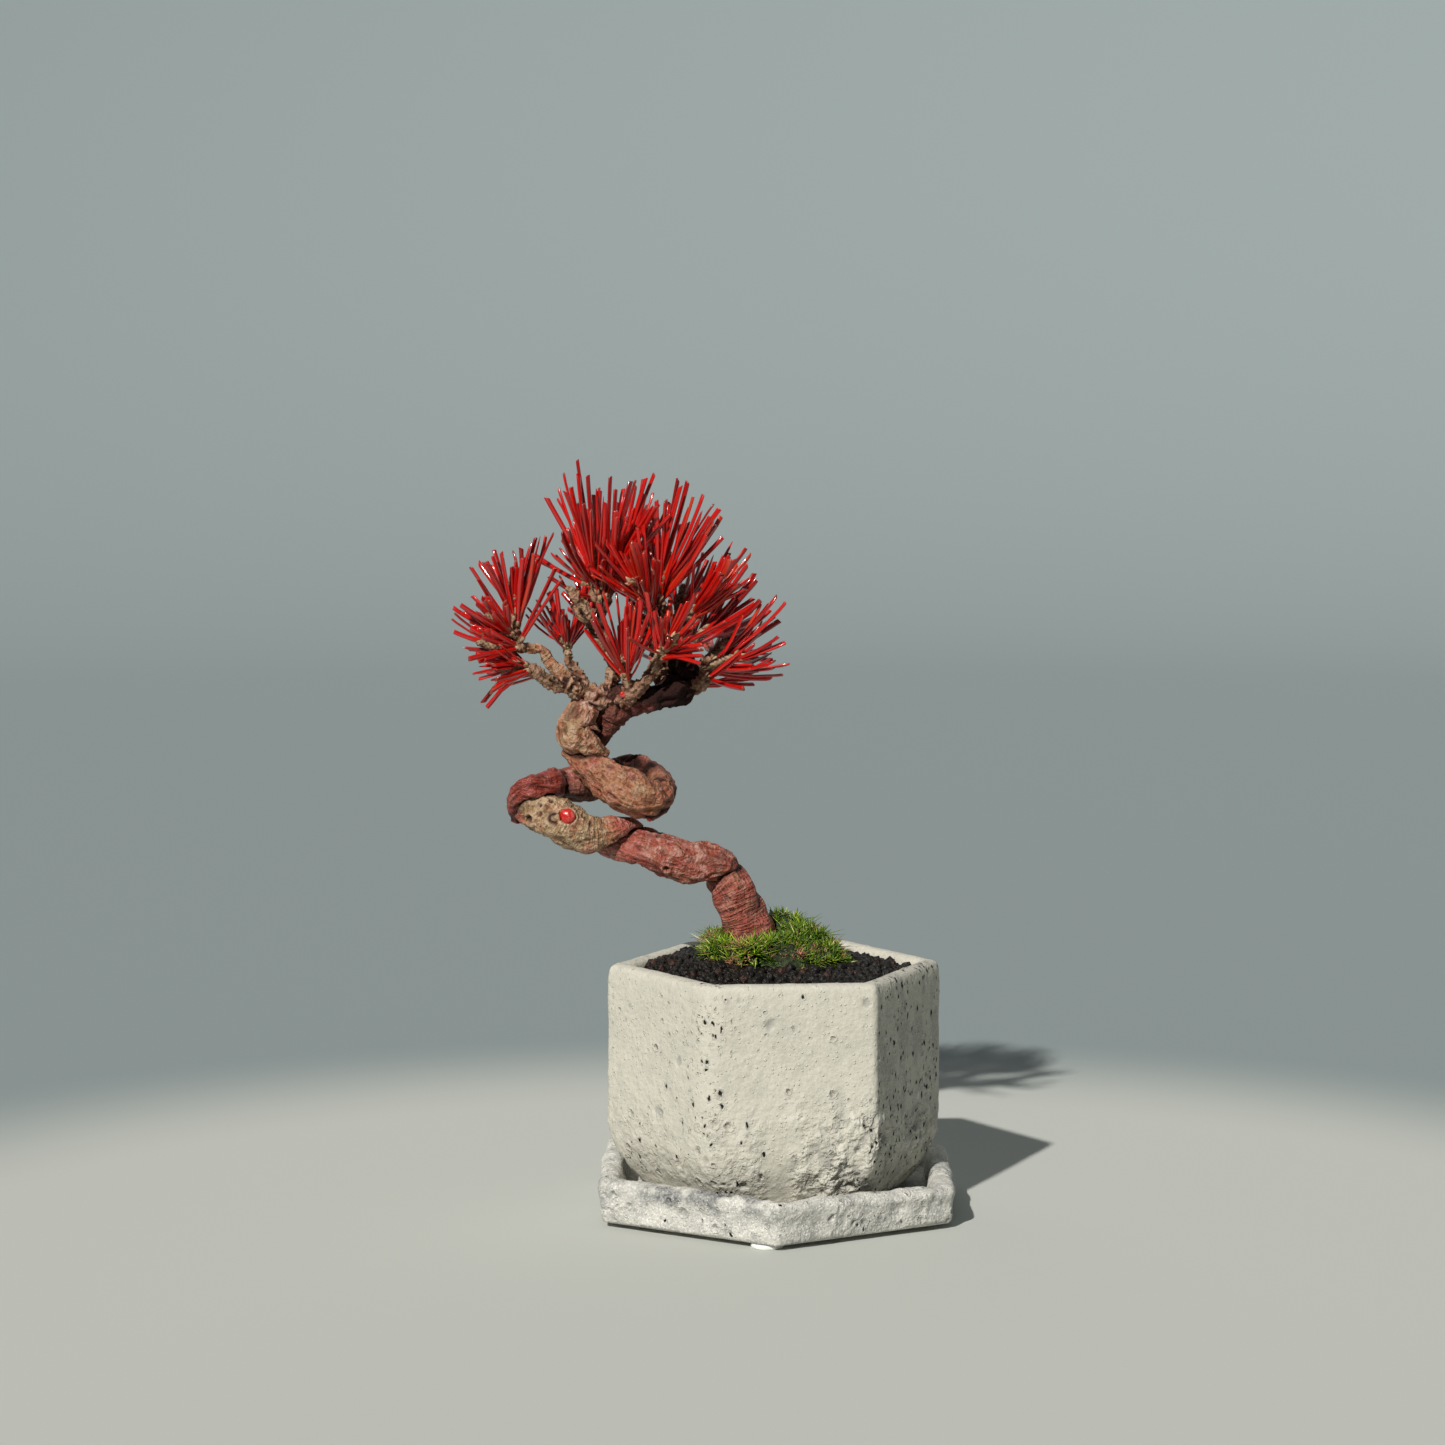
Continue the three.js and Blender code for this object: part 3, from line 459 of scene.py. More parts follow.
@dataclass
class Workbench:
    """Turns skins in the plant's layout into pieces in the part's frame, with the saucer's axis in metres."""

    axis: Array

    def piece(
        self, name: str, skin: Skin, material: Material, replaces: tuple[str, ...] = ()
    ) -> None:
        """Makes a mesh object that rides on the part.

        Args:
            name: The piece's name.
            skin: Its surface.
            material: Its finish.
            replaces: Nodes of the part that the piece stands for.
        """
        mesh = bpy.data.meshes.new(name)
        corners = np.concatenate([skin.quads.ravel(), skin.triangles.ravel()])
        sizes = np.concatenate([np.full(len(skin.quads), 4), np.full(len(skin.triangles), 3)])
        starts = np.concatenate([[0], np.cumsum(sizes)[:-1]])
        mesh.vertices.add(len(skin.points))
        mesh.loops.add(len(corners))
        mesh.polygons.add(len(sizes))
        mesh.vertices.foreach_set("co", (skin.points * METRE + self.axis).astype(np.float32).ravel())
        mesh.polygons.foreach_set("loop_start", starts.astype(np.int32))
        mesh.polygons.foreach_set("vertices", corners.astype(np.int32))
        mesh.polygons.foreach_set("use_smooth", np.ones(len(sizes), bool))
        mesh.update(calc_edges=True)
        for mark, values in skin.marks.items():
            kind, key = ("FLOAT", "value") if values.ndim == 1 else ("FLOAT_VECTOR", "vector")
            layer = mesh.attributes.new(mark, kind, "POINT")
            layer.data.foreach_set(key, values.astype(np.float32).ravel())
        mesh.materials.append(material)
        made = placed(name, mesh)
        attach(made, BODY)
        if replaces:
            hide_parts(*replaces)
        LOG.info("%s: %d triangles", name, 2 * len(skin.quads) + len(skin.triangles))


class Graph:
    """Short ways to lay out the nodes of a material or of a shared effect."""

    def __init__(self, tree: Tree) -> None:
        """Keeps the node tree that nodes are added to."""
        self.tree = tree

    def feed(self, node: Node, inputs: dict) -> None:
        """Gives sockets of a node a value or another node's output each.

        Args:
            node: The node.
            inputs: What each socket is fed, by its name or number.
        """
        for name, value in inputs.items():
            if isinstance(value, Socket):
                self.tree.links.new(value, node.inputs[name])
            else:
                node.inputs[name].default_value = value

    def add(self, kind: str, inputs: dict | None = None, **settings: object) -> Node:
        """Adds a node.

        Args:
            kind: Blender's name for the node type.
            inputs: What its sockets are fed.
            settings: Properties of the node itself.

        Returns:
            The node.
        """
        node = self.tree.nodes.new(kind)
        for name, value in settings.items():
            setattr(node, name, value)
        self.feed(node, inputs or {})
        return node

    def math(self, operation: str, *values: object) -> Socket:
        """Returns the result of a Math node on one to three numbers or outputs."""
        return self.add("ShaderNodeMath", dict(enumerate(values)), operation=operation).outputs[0]

    def times(self, first: object, second: object) -> Socket:
        """Returns the product of two numbers or outputs."""
        return self.math("MULTIPLY", first, second)

    def rise(self, value: Socket, low: object, high: object) -> Socket:
        """Returns a share that eases from 0 at low to 1 at high."""
        inputs = {"Value": value, "From Min": low, "From Max": high}
        return self.add("ShaderNodeMapRange", inputs, interpolation_type="SMOOTHSTEP").outputs["Result"]

    def mix(self, share: object, first: object, second: object) -> Socket:
        """Returns a colour between two colours."""
        return self.add("ShaderNodeMix", {0: share, 6: first, 7: second}, data_type="RGBA").outputs[2]

    def places(self) -> Socket:
        """Returns the object's own coordinates, in millimetres."""
        own = self.add("ShaderNodeTexCoord").outputs["Object"]
        return self.add("ShaderNodeVectorMath", {0: own, "Scale": 1 / METRE}, operation="SCALE").outputs[0]

    def stretched(self, places: Socket, scale: tuple[float, float, float]) -> Socket:
        """Returns coordinates times a scale for each axis."""
        return self.add("ShaderNodeMapping", {"Vector": places, "Scale": scale}).outputs[0]

    def mark(self, name: str, output: str = "Fac") -> Socket:
        """Returns a value that the mesh carries for each of its points."""
        return self.add("ShaderNodeAttribute", attribute_name=name).outputs[output]

    def noise(self, places: Socket, size: float, detail: float = 3) -> Socket:
        """Returns noise whose waves are as many units long as size says."""
        inputs = {"Vector": places, "Scale": 1 / size, "Detail": detail}
        return self.add("ShaderNodeTexNoise", inputs).outputs["Fac"]

    def waves(self, places: Socket, size: float, detail: float = 3) -> Socket:
        """Returns the same noise about a middle of 0."""
        return self.math("SUBTRACT", self.noise(places, size, detail), 0.5)

    def effect(self, tree: Tree, **inputs: object) -> Socket:
        """Places a shared effect and returns its output."""
        return self.add("ShaderNodeGroup", inputs, node_tree=tree).outputs[0]

    def blotches(self, places: Socket, size: float, low: float, high: float) -> Socket:
        """Returns the mask of the blotches effect."""
        return self.effect(mottle_group(), Places=places, Size=size, Low=low, High=high)

    def worn(self, colour: Socket, dark: object, pale: object, dirt: float, rub: float) -> Socket:
        """Returns a colour with dirt in the mesh's hollows and its heights rubbed pale.

        Args:
            colour: The clean colour.
            dark: The dirt's colour.
            pale: The rubbed heights' colour.
            dirt: How far the dirt covers.
            rub: How far the rubbing shows.

        Returns:
            The colour with both.
        """
        relief = self.mark("relief")
        tones = {"Colour": colour, "Dark": dark, "Pale": pale}
        return self.effect(hollow_group(), Relief=relief, Dirt=dirt, Rub=rub, **tones)

    def surface(self, inputs: dict, height: Socket | None = None, depth: float = 0) -> None:
        """Feeds the material's shader.

        Args:
            inputs: What its sockets are fed.
            height: Heights of small relief, from 0 to 1.
            depth: What a height of 1 stands for, in millimetres.
        """
        if height is not None:
            relief = self.add("ShaderNodeBump", {"Height": height, "Distance": depth * METRE})
            inputs = inputs | {"Normal": relief.outputs["Normal"]}
        self.feed(self.tree.nodes["Principled BSDF"], inputs)


def new_effect(name: str, inputs: dict[str, object]) -> tuple[Graph, bpy.types.bpy_prop_collection]:
    """Starts a shared effect.

    Args:
        name: Its name.
        inputs: Names of its inputs, each with a default of its socket's type, where text means a vector.

    Returns:
        Its graph and what it is given.
    """
    kinds = {tuple: "NodeSocketColor", float: "NodeSocketFloat", str: "NodeSocketVector"}
    tree = bpy.data.node_groups.new(name, "ShaderNodeTree")
    for label, default in inputs.items():
        socket = tree.interface.new_socket(label, in_out="INPUT", socket_type=kinds[type(default)])
        if not isinstance(default, str):
            socket.default_value = default
    graph = Graph(tree)
    return graph, graph.add("NodeGroupInput").outputs


def closed_effect(graph: Graph, result: Socket, kind: str = "NodeSocketFloat") -> Tree:
    """Gives a shared effect its one output and returns its tree.

    Args:
        graph: The effect's graph.
        result: What it puts out.
        kind: The output's socket type.

    Returns:
        The effect's node tree.
    """
    graph.tree.interface.new_socket("Result", in_out="OUTPUT", socket_type=kind)
    graph.add("NodeGroupOutput", {0: result})
    return graph.tree


@cache
def mottle_group() -> Tree:
    """Blotches: two sizes of noise averaged, then eased between a low and a high threshold.

    Returns:
        The effect's node tree.
    """
    graph, given = new_effect("blotches", {"Places": "", "Size": 6.0, "Low": 0.4, "High": 0.6})
    scale = graph.math("DIVIDE", 1.0, given["Size"])
    parts = []
    for stretch, weight in ((1.0, 0.65), (3.7, 0.35)):
        waves = {"Vector": given["Places"], "Scale": graph.times(scale, stretch), "Detail": 4.0}
        parts.append(graph.times(graph.add("ShaderNodeTexNoise", waves).outputs["Fac"], weight))
    return closed_effect(graph, graph.rise(graph.math("ADD", *parts), given["Low"], given["High"]))


@cache
def speck_group() -> Tree:
    """Specks: small discs round random centres, kept where each centre's own number is under a share.

    Returns:
        The effect's node tree.
    """
    graph, given = new_effect("specks", {"Places": "", "Size": 1.5, "Radius": 0.25, "Share": 0.3})
    scale = graph.math("DIVIDE", 1.0, given["Size"])
    cells = graph.add("ShaderNodeTexVoronoi", {"Vector": given["Places"], "Scale": scale}).outputs
    picked = graph.add("ShaderNodeSeparateColor", {0: cells["Color"]}).outputs[0]
    kept = graph.math("LESS_THAN", picked, given["Share"])
    inner = graph.times(given["Radius"], 0.6)
    ends = {"Value": cells["Distance"], "From Min": given["Radius"], "From Max": inner}
    disc = graph.add("ShaderNodeMapRange", ends).outputs["Result"]
    return closed_effect(graph, graph.times(kept, disc))


@cache
def crater_group() -> Tree:
    """Craters: uneven bowls with raised rims round random centres, as heights about a level of 0.5.

    Returns:
        The effect's node tree.
    """
    inputs = {"Places": "", "Size": 2.0, "Share": 0.3, "Radius": 0.24, "Rim": 0.12}
    graph, given = new_effect("craters", inputs)
    places = given["Places"]
    wander = graph.add("ShaderNodeTexNoise", {"Vector": places, "Scale": 0.8, "Detail": 4.0}).outputs["Color"]
    pushed = {0: wander, 1: (1.7, 1.7, 1.7), 2: places}
    uneven = graph.add("ShaderNodeVectorMath", pushed, operation="MULTIPLY_ADD").outputs[0]
    scale = graph.math("DIVIDE", 1.0, given["Size"])
    cells = graph.add("ShaderNodeTexVoronoi", {"Vector": uneven, "Scale": scale}).outputs
    picks = graph.add("ShaderNodeSeparateColor", {0: cells["Color"]}).outputs
    kept = graph.math("LESS_THAN", picks[0], given["Share"])
    radius = graph.times(graph.math("ADD", picks[1], 0.5), given["Radius"])
    hollow = graph.rise(cells["Distance"], radius, graph.times(radius, 0.15))
    off_rim = graph.math("ABSOLUTE", graph.math("SUBTRACT", cells["Distance"], graph.times(radius, 1.1)))
    rim = graph.times(graph.rise(off_rim, 0.1, 0.0), given["Rim"])
    height = graph.math("MULTIPLY_ADD", hollow, -0.5, rim)
    return closed_effect(graph, graph.math("MULTIPLY_ADD", height, kept, 0.5))


@cache
def hollow_group() -> Tree:
    """Dirt in the hollows: the colour turns to a dark one where relief is low and a pale one where high.

    Returns:
        The effect's node tree.
    """
    grey = (0.2, 0.2, 0.2, 1.0)
    inputs = {"Colour": grey, "Relief": 0.5, "Dark": grey, "Pale": grey, "Dirt": 0.6, "Rub": 0.3}
    graph, given = new_effect("hollows", inputs)
    low = graph.times(graph.rise(given["Relief"], 0.5, 0.08), given["Dirt"])
    high = graph.times(graph.rise(given["Relief"], 0.55, 0.95), given["Rub"])
    dirty = graph.mix(low, given["Colour"], given["Dark"])
    return closed_effect(graph, graph.mix(high, dirty, given["Pale"]), "NodeSocketColor")


@dataclass(frozen=True)
class Finish:
    """What every finish has in common: a name, and the way to its material."""

    name: str

    def start(self) -> tuple[Material, Graph]:
        """Makes a fresh material that is made of nodes.

        Returns:
            The material and its graph.
        """
        material = bpy.data.materials.new(self.name)
        material.use_nodes = True
        return material, Graph(material.node_tree)

    def material(self) -> Material:
        """Builds the finish's material.

        Returns:
            The material.
        """
        material, graph = self.start()
        self.lay(graph)
        return material

    def lay(self, graph: Graph) -> None:
        """Lays the nodes of the finish into the graph; each kind of finish has its own."""
        raise NotImplementedError


@dataclass(frozen=True)
class Cement(Finish):
    """Cast cement: faintly mottled, with stains, craters, blisters, black pits and dirt in its hollows."""

    body: tuple = (0.56, 0.54, 0.455, 1)
    shade: tuple = (0.45, 0.435, 0.38, 1)
    bloom: tuple = (0.74, 0.72, 0.66, 1)
    stain_and_shade: tuple = (0.2, 0.2, 0.2, 1)
    dust: tuple = (0.13, 0.12, 0.105, 1)
    hole: tuple = (0.004, 0.004, 0.005, 1)
    stain_and_shade_size: float = 16.0
    stain_and_shade_low: float = 0.62
    stain_and_shade_high: float = 0.8
    stain_and_shade_share: float = 0.4
    mottle: float = 0.4
    frost: float = 0.25
    grit: float = 0.35
    craters: float = 0.07
    pits: float = 0.012
    dirt: float = 0.2
    roughness: float = 0.8
    depth: float = 1.5

    def lay(self, graph: Graph) -> None:
        """Mixes body, shade and bloom by blotches, then lays stains, craters, grit and pits over them; on the
        pot's right face the stains carry painted shade.

        Args:
            graph: The material's graph.
        """
        places = graph.places()
        blotch = graph.blotches(places, 9.0, 0.42, 0.62)
        colour = graph.mix(graph.times(blotch, self.mottle), self.body, self.shade)
        veil = graph.blotches(places, 0.7, 0.5, 0.58)
        colour = graph.mix(graph.times(veil, self.frost), colour, self.bloom)
        film = graph.blotches(places, self.stain_and_shade_size, self.stain_and_shade_low, self.stain_and_shade_high)
        broken = graph.math("MULTIPLY_ADD", graph.noise(places, 0.9, 4), 1.6, -0.3)
        # The mark adds stains, and on the pot's right face painted shade.
        stained = graph.times(graph.math("ADD", film, graph.mark("stain_and_shade")), broken)
        colour = graph.mix(graph.times(stained, self.stain_and_shade_share), colour, self.stain_and_shade)
        colour = graph.worn(colour, self.stain_and_shade, self.bloom, 0.45, 0.4)
        lumpy = graph.mark("lumpy")
        craters = []
        for size, weight in ((4.6, 0.7), (2.3, 0.4)):
            share = graph.math("MULTIPLY_ADD", lumpy, weight, self.craters)
            crater = graph.effect(crater_group(), Places=places, Size=size, Share=share)
            colour = graph.mix(graph.times(graph.rise(crater, 0.47, 0.1), self.dirt), colour, self.dust)
            craters.append(crater)
        grit = graph.effect(speck_group(), Places=places, Size=1.3, Radius=0.3, Share=self.grit)
        colour = graph.mix(graph.times(grit, 0.5), colour, self.bloom)
        upright = graph.stretched(places, (1.0, 1.0, 0.65))
        share = graph.math("ADD", graph.mark("pitted"), self.pits)
        pit = graph.effect(crater_group(), Places=upright, Size=1.7, Share=share, Radius=0.36, Rim=0.1)
        colour = graph.mix(graph.rise(pit, 0.4, 0.25), colour, self.hole)
        height = graph.math("MULTIPLY_ADD", graph.noise(places, 1.6, 5), 0.26, craters[0])
        lumps = graph.times(graph.noise(places, 2.6, 2), lumpy)
        folds = graph.times(graph.math("ABSOLUTE", graph.waves(places, 3.4)), lumpy)
        for relief, weight in ((lumps, 1.0), (folds, 1.6), (craters[1], 0.5), (grit, 0.16), (pit, 0.8)):
            height = graph.math("MULTIPLY_ADD", relief, weight, height)
        shader = {"Base Color": colour, "Roughness": self.roughness, "Specular IOR Level": 0.4}
        graph.surface(shader, height, self.depth)


@dataclass(frozen=True)
class BarkFinish(Finish):
    """Pine bark whose tone, wetness and painted shade in its creases the mesh carries as marks."""

    beige: tuple = (0.34, 0.23, 0.12, 1)
    tan: tuple = (0.35, 0.135, 0.062, 1)
    salmon: tuple = (0.35, 0.08, 0.052, 1)
    deep_beige: tuple = (0.04, 0.017, 0.008, 1)
    deep_red: tuple = (0.06, 0.009, 0.006, 1)
    pale_beige: tuple = (0.64, 0.47, 0.29, 1)
    pale_pink: tuple = (0.62, 0.37, 0.33, 1)
    wet: tuple = (0.22, 0.016, 0.008, 1)
    black: tuple = (0.011, 0.002, 0.001, 1)
    relief_depth: float = 1.5

    def lay(self, graph: Graph) -> None:
        """Runs from beige through tan to salmon by redness, pale on the crests and dark in the crevices,
        partly its own tones and partly painted light.

        Args:
            graph: The material's graph.
        """
        grain = graph.mark("grain", "Vector")
        redness = graph.mark("redness")
        wetness = graph.mark("wetness")
        dark_tone_and_shade = graph.mark("dark_tone_and_shade")
        height = self.height(graph, grain)
        tone = graph.math("ADD", redness, graph.times(graph.waves(grain, 3.4, 4), 1.3))
        colour = graph.mix(graph.rise(tone, 0.05, 0.45), self.beige, self.tan)
        colour = graph.mix(graph.rise(tone, 0.4, 0.85), colour, self.salmon)
        pale = graph.mix(redness, self.pale_beige, self.pale_pink)
        deep = graph.mix(redness, self.deep_beige, self.deep_red)
        # Pale crests and dark crevices: partly the bark's own tones, partly painted highlight on the crests
        # and painted shade in the crevices.
        crest = graph.times(graph.rise(height, 0.5, 0.64), 0.75)
        bloom = graph.math("MAXIMUM", graph.blotches(graph.places(), 3.2, 0.45, 0.62), crest)
        colour = graph.mix(graph.times(bloom, graph.mark("paleness")), colour, pale)
        colour = graph.mix(graph.times(wetness, 0.85), colour, self.wet)
        colour = graph.worn(colour, deep, pale, 0.6, 0.35)
        colour = graph.mix(graph.times(graph.rise(height, 0.4, 0.22), 0.55), colour, deep)
        # Painted shade in the creases between limbs and in the knots' hollows; the darkness tone is partly
        # the bark's own dark tone, partly painted shade.
        colour = graph.mix(graph.math("MAXIMUM", graph.mark("crease"), dark_tone_and_shade), colour, deep)
        # Near-black where the darkness tone passes 0.8: painted shade in the coil's ring hollow and on the
        # branch under the needles.
        blackest = graph.times(graph.rise(dark_tone_and_shade, 0.8, 1.0), 0.88)
        colour = graph.mix(blackest, colour, self.black)
        rough = graph.math("MULTIPLY_ADD", blackest, 0.4, graph.math("MULTIPLY_ADD", wetness, -0.42, 0.62))
        calm = graph.math("MULTIPLY_ADD", wetness, -0.55, 1.0)
        shader = {"Base Color": colour, "Roughness": rough, "Specular IOR Level": 0.35}
        graph.surface(shader, graph.times(height, calm), self.relief_depth)

    @staticmethod
    def height(graph: Graph, grain: Socket) -> Socket:
        """Adds up sharp folds, grit, wrinkles across the wood and furrows along it, about a middle of 0.5.

        Args:
            graph: The material's graph.
            grain: Coordinates that follow the wood.

        Returns:
            Heights of about 0.3 to 0.7.
        """
        folds = graph.math("SUBTRACT", graph.math("ABSOLUTE", graph.waves(grain, 2.8, 4)), 0.1)
        height = graph.math("MULTIPLY_ADD", folds, 1.2, graph.times(graph.waves(grain, 0.9, 5), 0.8))
        across = graph.stretched(grain, (0.18, 0.18, 1.5))
        along = graph.stretched(grain, (1.0, 1.0, 0.2))
        for places, size, share in ((across, 1.15, "ringed"), (along, 0.9, "furrowed")):
            height = graph.math("MULTIPLY_ADD", graph.waves(places, size), graph.mark(share), height)
        return graph.math("ADD", height, 0.5)


@dataclass(frozen=True)
class NeedleFinish(Finish):
    """Glossy red needles: each has its own tone, with fine lines along it and a brown root and cut."""

    red: tuple = (0.55, 0.004, 0.001, 1)
    crimson: tuple = (0.3, 0.002, 0.001, 1)
    coral: tuple = (0.56, 0.035, 0.01, 1)
    root: tuple = (0.2, 0.04, 0.02, 1)

    def lay(self, graph: Graph) -> None:
        """Picks each needle's tone by its own number and darkens or pales it along its length.

        Args:
            graph: The material's graph.
        """
        pick = graph.mark("pick")
        along = graph.mark("along")
        line = graph.noise(graph.stretched(graph.mark("grain", "Vector"), (1.0, 1.0, 0.03)), 0.12, 2)
        colour = graph.mix(graph.rise(pick, 0.6, 0.95), self.red, self.crimson)
        colour = graph.mix(graph.rise(pick, 0.14, 0.0), colour, self.coral)
        colour = graph.mix(graph.times(graph.rise(line, 0.5, 0.75), 0.5), colour, self.crimson)
        colour = graph.mix(graph.rise(along, 0.14, 0.0), colour, self.root)
        colour = graph.mix(graph.times(graph.rise(along, 0.985, 1.0), 0.8), colour, self.root)
        shader = {"Base Color": colour, "Roughness": 0.34, "Specular IOR Level": 0.2, "Coat Weight": 1.0}
        graph.surface(shader | {"Coat Roughness": 0.13, "Coat IOR": 1.65}, line, 0.02)


@dataclass(frozen=True)
class ShootFinish(Finish):
    """Papery brown scales on shoots, sheaths and buds, paler at their free edges."""

    brown: tuple = (0.085, 0.032, 0.015, 1)
    straw: tuple = (0.52, 0.36, 0.21, 1)
    dark: tuple = (0.02, 0.007, 0.004, 1)

    def lay(self, graph: Graph) -> None:
        """Mixes brown and straw by blotches and by each piece's own number, with dark hollows.

        Args:
            graph: The material's graph.
        """
        places = graph.places()
        share = graph.math("ADD", graph.blotches(places, 1.6, 0.4, 0.62), graph.mark("pick"))
        colour = graph.mix(graph.times(share, 0.5), self.brown, self.straw)
        colour = graph.worn(colour, self.dark, self.straw, 0.85, 0.5)
        graph.surface({"Base Color": colour, "Roughness": 0.7}, graph.noise(places, 0.4, 4), 0.12)


@dataclass(frozen=True)
class ResinFinish(Finish):
    """A wound sealed with glossy red paste that the wood has lifted."""

    red: tuple = (0.5, 0.012, 0.008, 1)
    pale: tuple = (0.7, 0.16, 0.13, 1)

    def lay(self, graph: Graph) -> None:
        """Mixes two reds by blotches under a clear coat.

        Args:
            graph: The material's graph.
        """
        places = graph.places()
        colour = graph.mix(graph.blotches(places, 2.0, 0.5, 0.7), self.red, self.pale)
        shader = {"Base Color": colour, "Roughness": 0.3, "Coat Weight": 0.8, "Coat Roughness": 0.08}
        graph.surface(shader, graph.noise(places, 1.2), 0.25)


@dataclass(frozen=True)
class MossFinish(Finish):
    """Moss leaves: dark at the root, partly painted shade, yellow-green at the tip, a few brown, and a few
    pale-tipped, partly painted highlight.
    """

    deep: tuple = (0.012, 0.022, 0.003, 1)
    green: tuple = (0.08, 0.17, 0.008, 1)
    lime: tuple = (0.5, 0.64, 0.03, 1)
    straw: tuple = (0.85, 0.9, 0.3, 1)
    brown: tuple = (0.42, 0.19, 0.12, 1)

    def lay(self, graph: Graph) -> None:
        """Runs from deep green through green to lime along each leaf, by each leaf's own number.

        Args:
            graph: The material's graph.
        """
        along = graph.mark("along")
        pick = graph.mark("pick")
        vivid = graph.times(graph.mark("vivid"), graph.rise(pick, 0.1, 0.9))
        # Pale straw tips on a few leaves: partly dry tips, partly painted highlight.
        dry_tips_and_glints = graph.times(graph.rise(along, 0.3, 0.8), graph.rise(pick, 0.92, 0.97))
        withered = graph.times(graph.mark("withered"), graph.rise(along, 0.1, 0.6))
        # Darker towards each leaf's root: partly the leaf's own older base, partly painted shade deep in the
        # tuft.
        colour = graph.mix(graph.rise(along, 0.1, 0.7), self.deep, self.green)
        colour = graph.mix(graph.times(graph.rise(along, 0.1, 0.9), vivid), colour, self.lime)
        colour = graph.mix(dry_tips_and_glints, colour, self.straw)
        colour = graph.mix(withered, colour, self.brown)
        glow = {"Subsurface Weight": 0.12, "Subsurface Radius": (0.0006, 0.0012, 0.0002)}
        graph.surface({"Base Color": colour, "Roughness": 0.4} | glow)


@dataclass(frozen=True)
class Earth(Finish):
    """Dark crumbs and matted growth: two tones picked for each crumb, or by blotches, with fine grain."""

    dark: tuple = (0.004, 0.0035, 0.003, 1)
    pale: tuple = (0.022, 0.016, 0.013, 1)
    odd: tuple = (0.055, 0.022, 0.014, 1)
    odd_share: float = 0.1
    roughness: float = 0.85

    def lay(self, graph: Graph) -> None:
        """Mixes dark and pale by blotches, with a few odd crumbs of another colour.

        Args:
            graph: The material's graph.
        """
        places = graph.places()
        blotch = graph.blotches(places, 1.4, 0.42, 0.64)
        odd = graph.math("LESS_THAN", graph.mark("pick"), self.odd_share)
        colour = graph.mix(blotch, self.dark, self.pale)
        colour = graph.mix(graph.times(odd, graph.math("ADD", blotch, 0.3)), colour, self.odd)
        shader = {"Base Color": colour, "Roughness": self.roughness, "Specular IOR Level": 0.3}
        graph.surface(shader, graph.noise(places, 0.8), 0.6)


@dataclass(frozen=True)
class Moulded(Finish):
    """Moulded plastic or soft rubber: one colour with a faint mottle and a fine satin grain."""

    tone: tuple = (0.02, 0.02, 0.022, 1)
    veil: tuple = (0.035, 0.035, 0.037, 1)
    roughness: float = 0.55
    milkiness: float = 0.0

    def lay(self, graph: Graph) -> None:
        """Mixes the tone and its veil by blotches; milkiness lets light spread inside.

        Args:
            graph: The material's graph.
        """
        places = graph.places()
        colour = graph.mix(graph.blotches(places, 2.5, 0.4, 0.65), self.tone, self.veil)
        glow = {"Subsurface Weight": self.milkiness, "Subsurface Radius": (0.002, 0.002, 0.002)}
        shader = {"Base Color": colour, "Roughness": self.roughness} | glow
        graph.surface(shader, graph.noise(places, 0.3, 2), 0.03)


def hexagon(
    apothem: Array, turn: float, centre: tuple, roundings: Array, arc_steps: int, side_steps: int
) -> Array:
    """Draws closed six-sided outlines with rounded corners, anticlockwise.

    Each corner is an arc of 60 degrees round a middle that stands (apothem - rounding) / cos 30 from the
    centre, and even steps cross each side.

    Args:
        apothem: Distance from the centre to a side for each outline, shape (rows,).
        turn: Bearing of the first corner, in degrees.
        centre: The centre in plan.
        roundings: Corner radii, shape (rows, 6).
        arc_steps: Steps round a corner.
        side_steps: Steps along a side.

    Returns:
        Points in plan, shape (rows, 6 · (arc_steps + side_steps), 2).
    """
    facing = turn + 60.0 * np.arange(6)
    reach = (apothem[:, None] - roundings) / math.cos(math.radians(30))
    middles = plan_direction(facing) * reach[..., None] + np.array(centre)
    corner = plan_direction(facing[:, None] + np.linspace(-30, 30, arc_steps + 1))
    arcs = middles[:, :, None] + corner * roundings[:, :, None, None]
    share = (np.arange(1, side_steps) / side_steps)[:, None]
    start = arcs[:, :, -1:]
    sides = start + (np.roll(arcs, -1, axis=1)[:, :, :1] - start) * share
    return np.concatenate([arcs, sides], axis=2).reshape(len(apothem), -1, 2)


def cast_wave(points: Array, size: float) -> Array:
    """The slow unevenness of hand-cast cement: a product of sines in plan and height, as in the part.

    Args:
        points: Places, shape (..., 3).
        size: Height of the wave.

    Returns:
        Offsets, shape (...).
    """
    x, y, z = np.moveaxis(points, -1, 0)
    wave = np.sin(x * 0.13 + z * 0.09 + 1) * np.sin(y * 0.15 - z * 0.07 + 2)
    return size * (wave + 0.5 * np.sin(x * 0.31 - z * 0.23) * np.sin(y * 0.29 + z * 0.19 + 0.6))


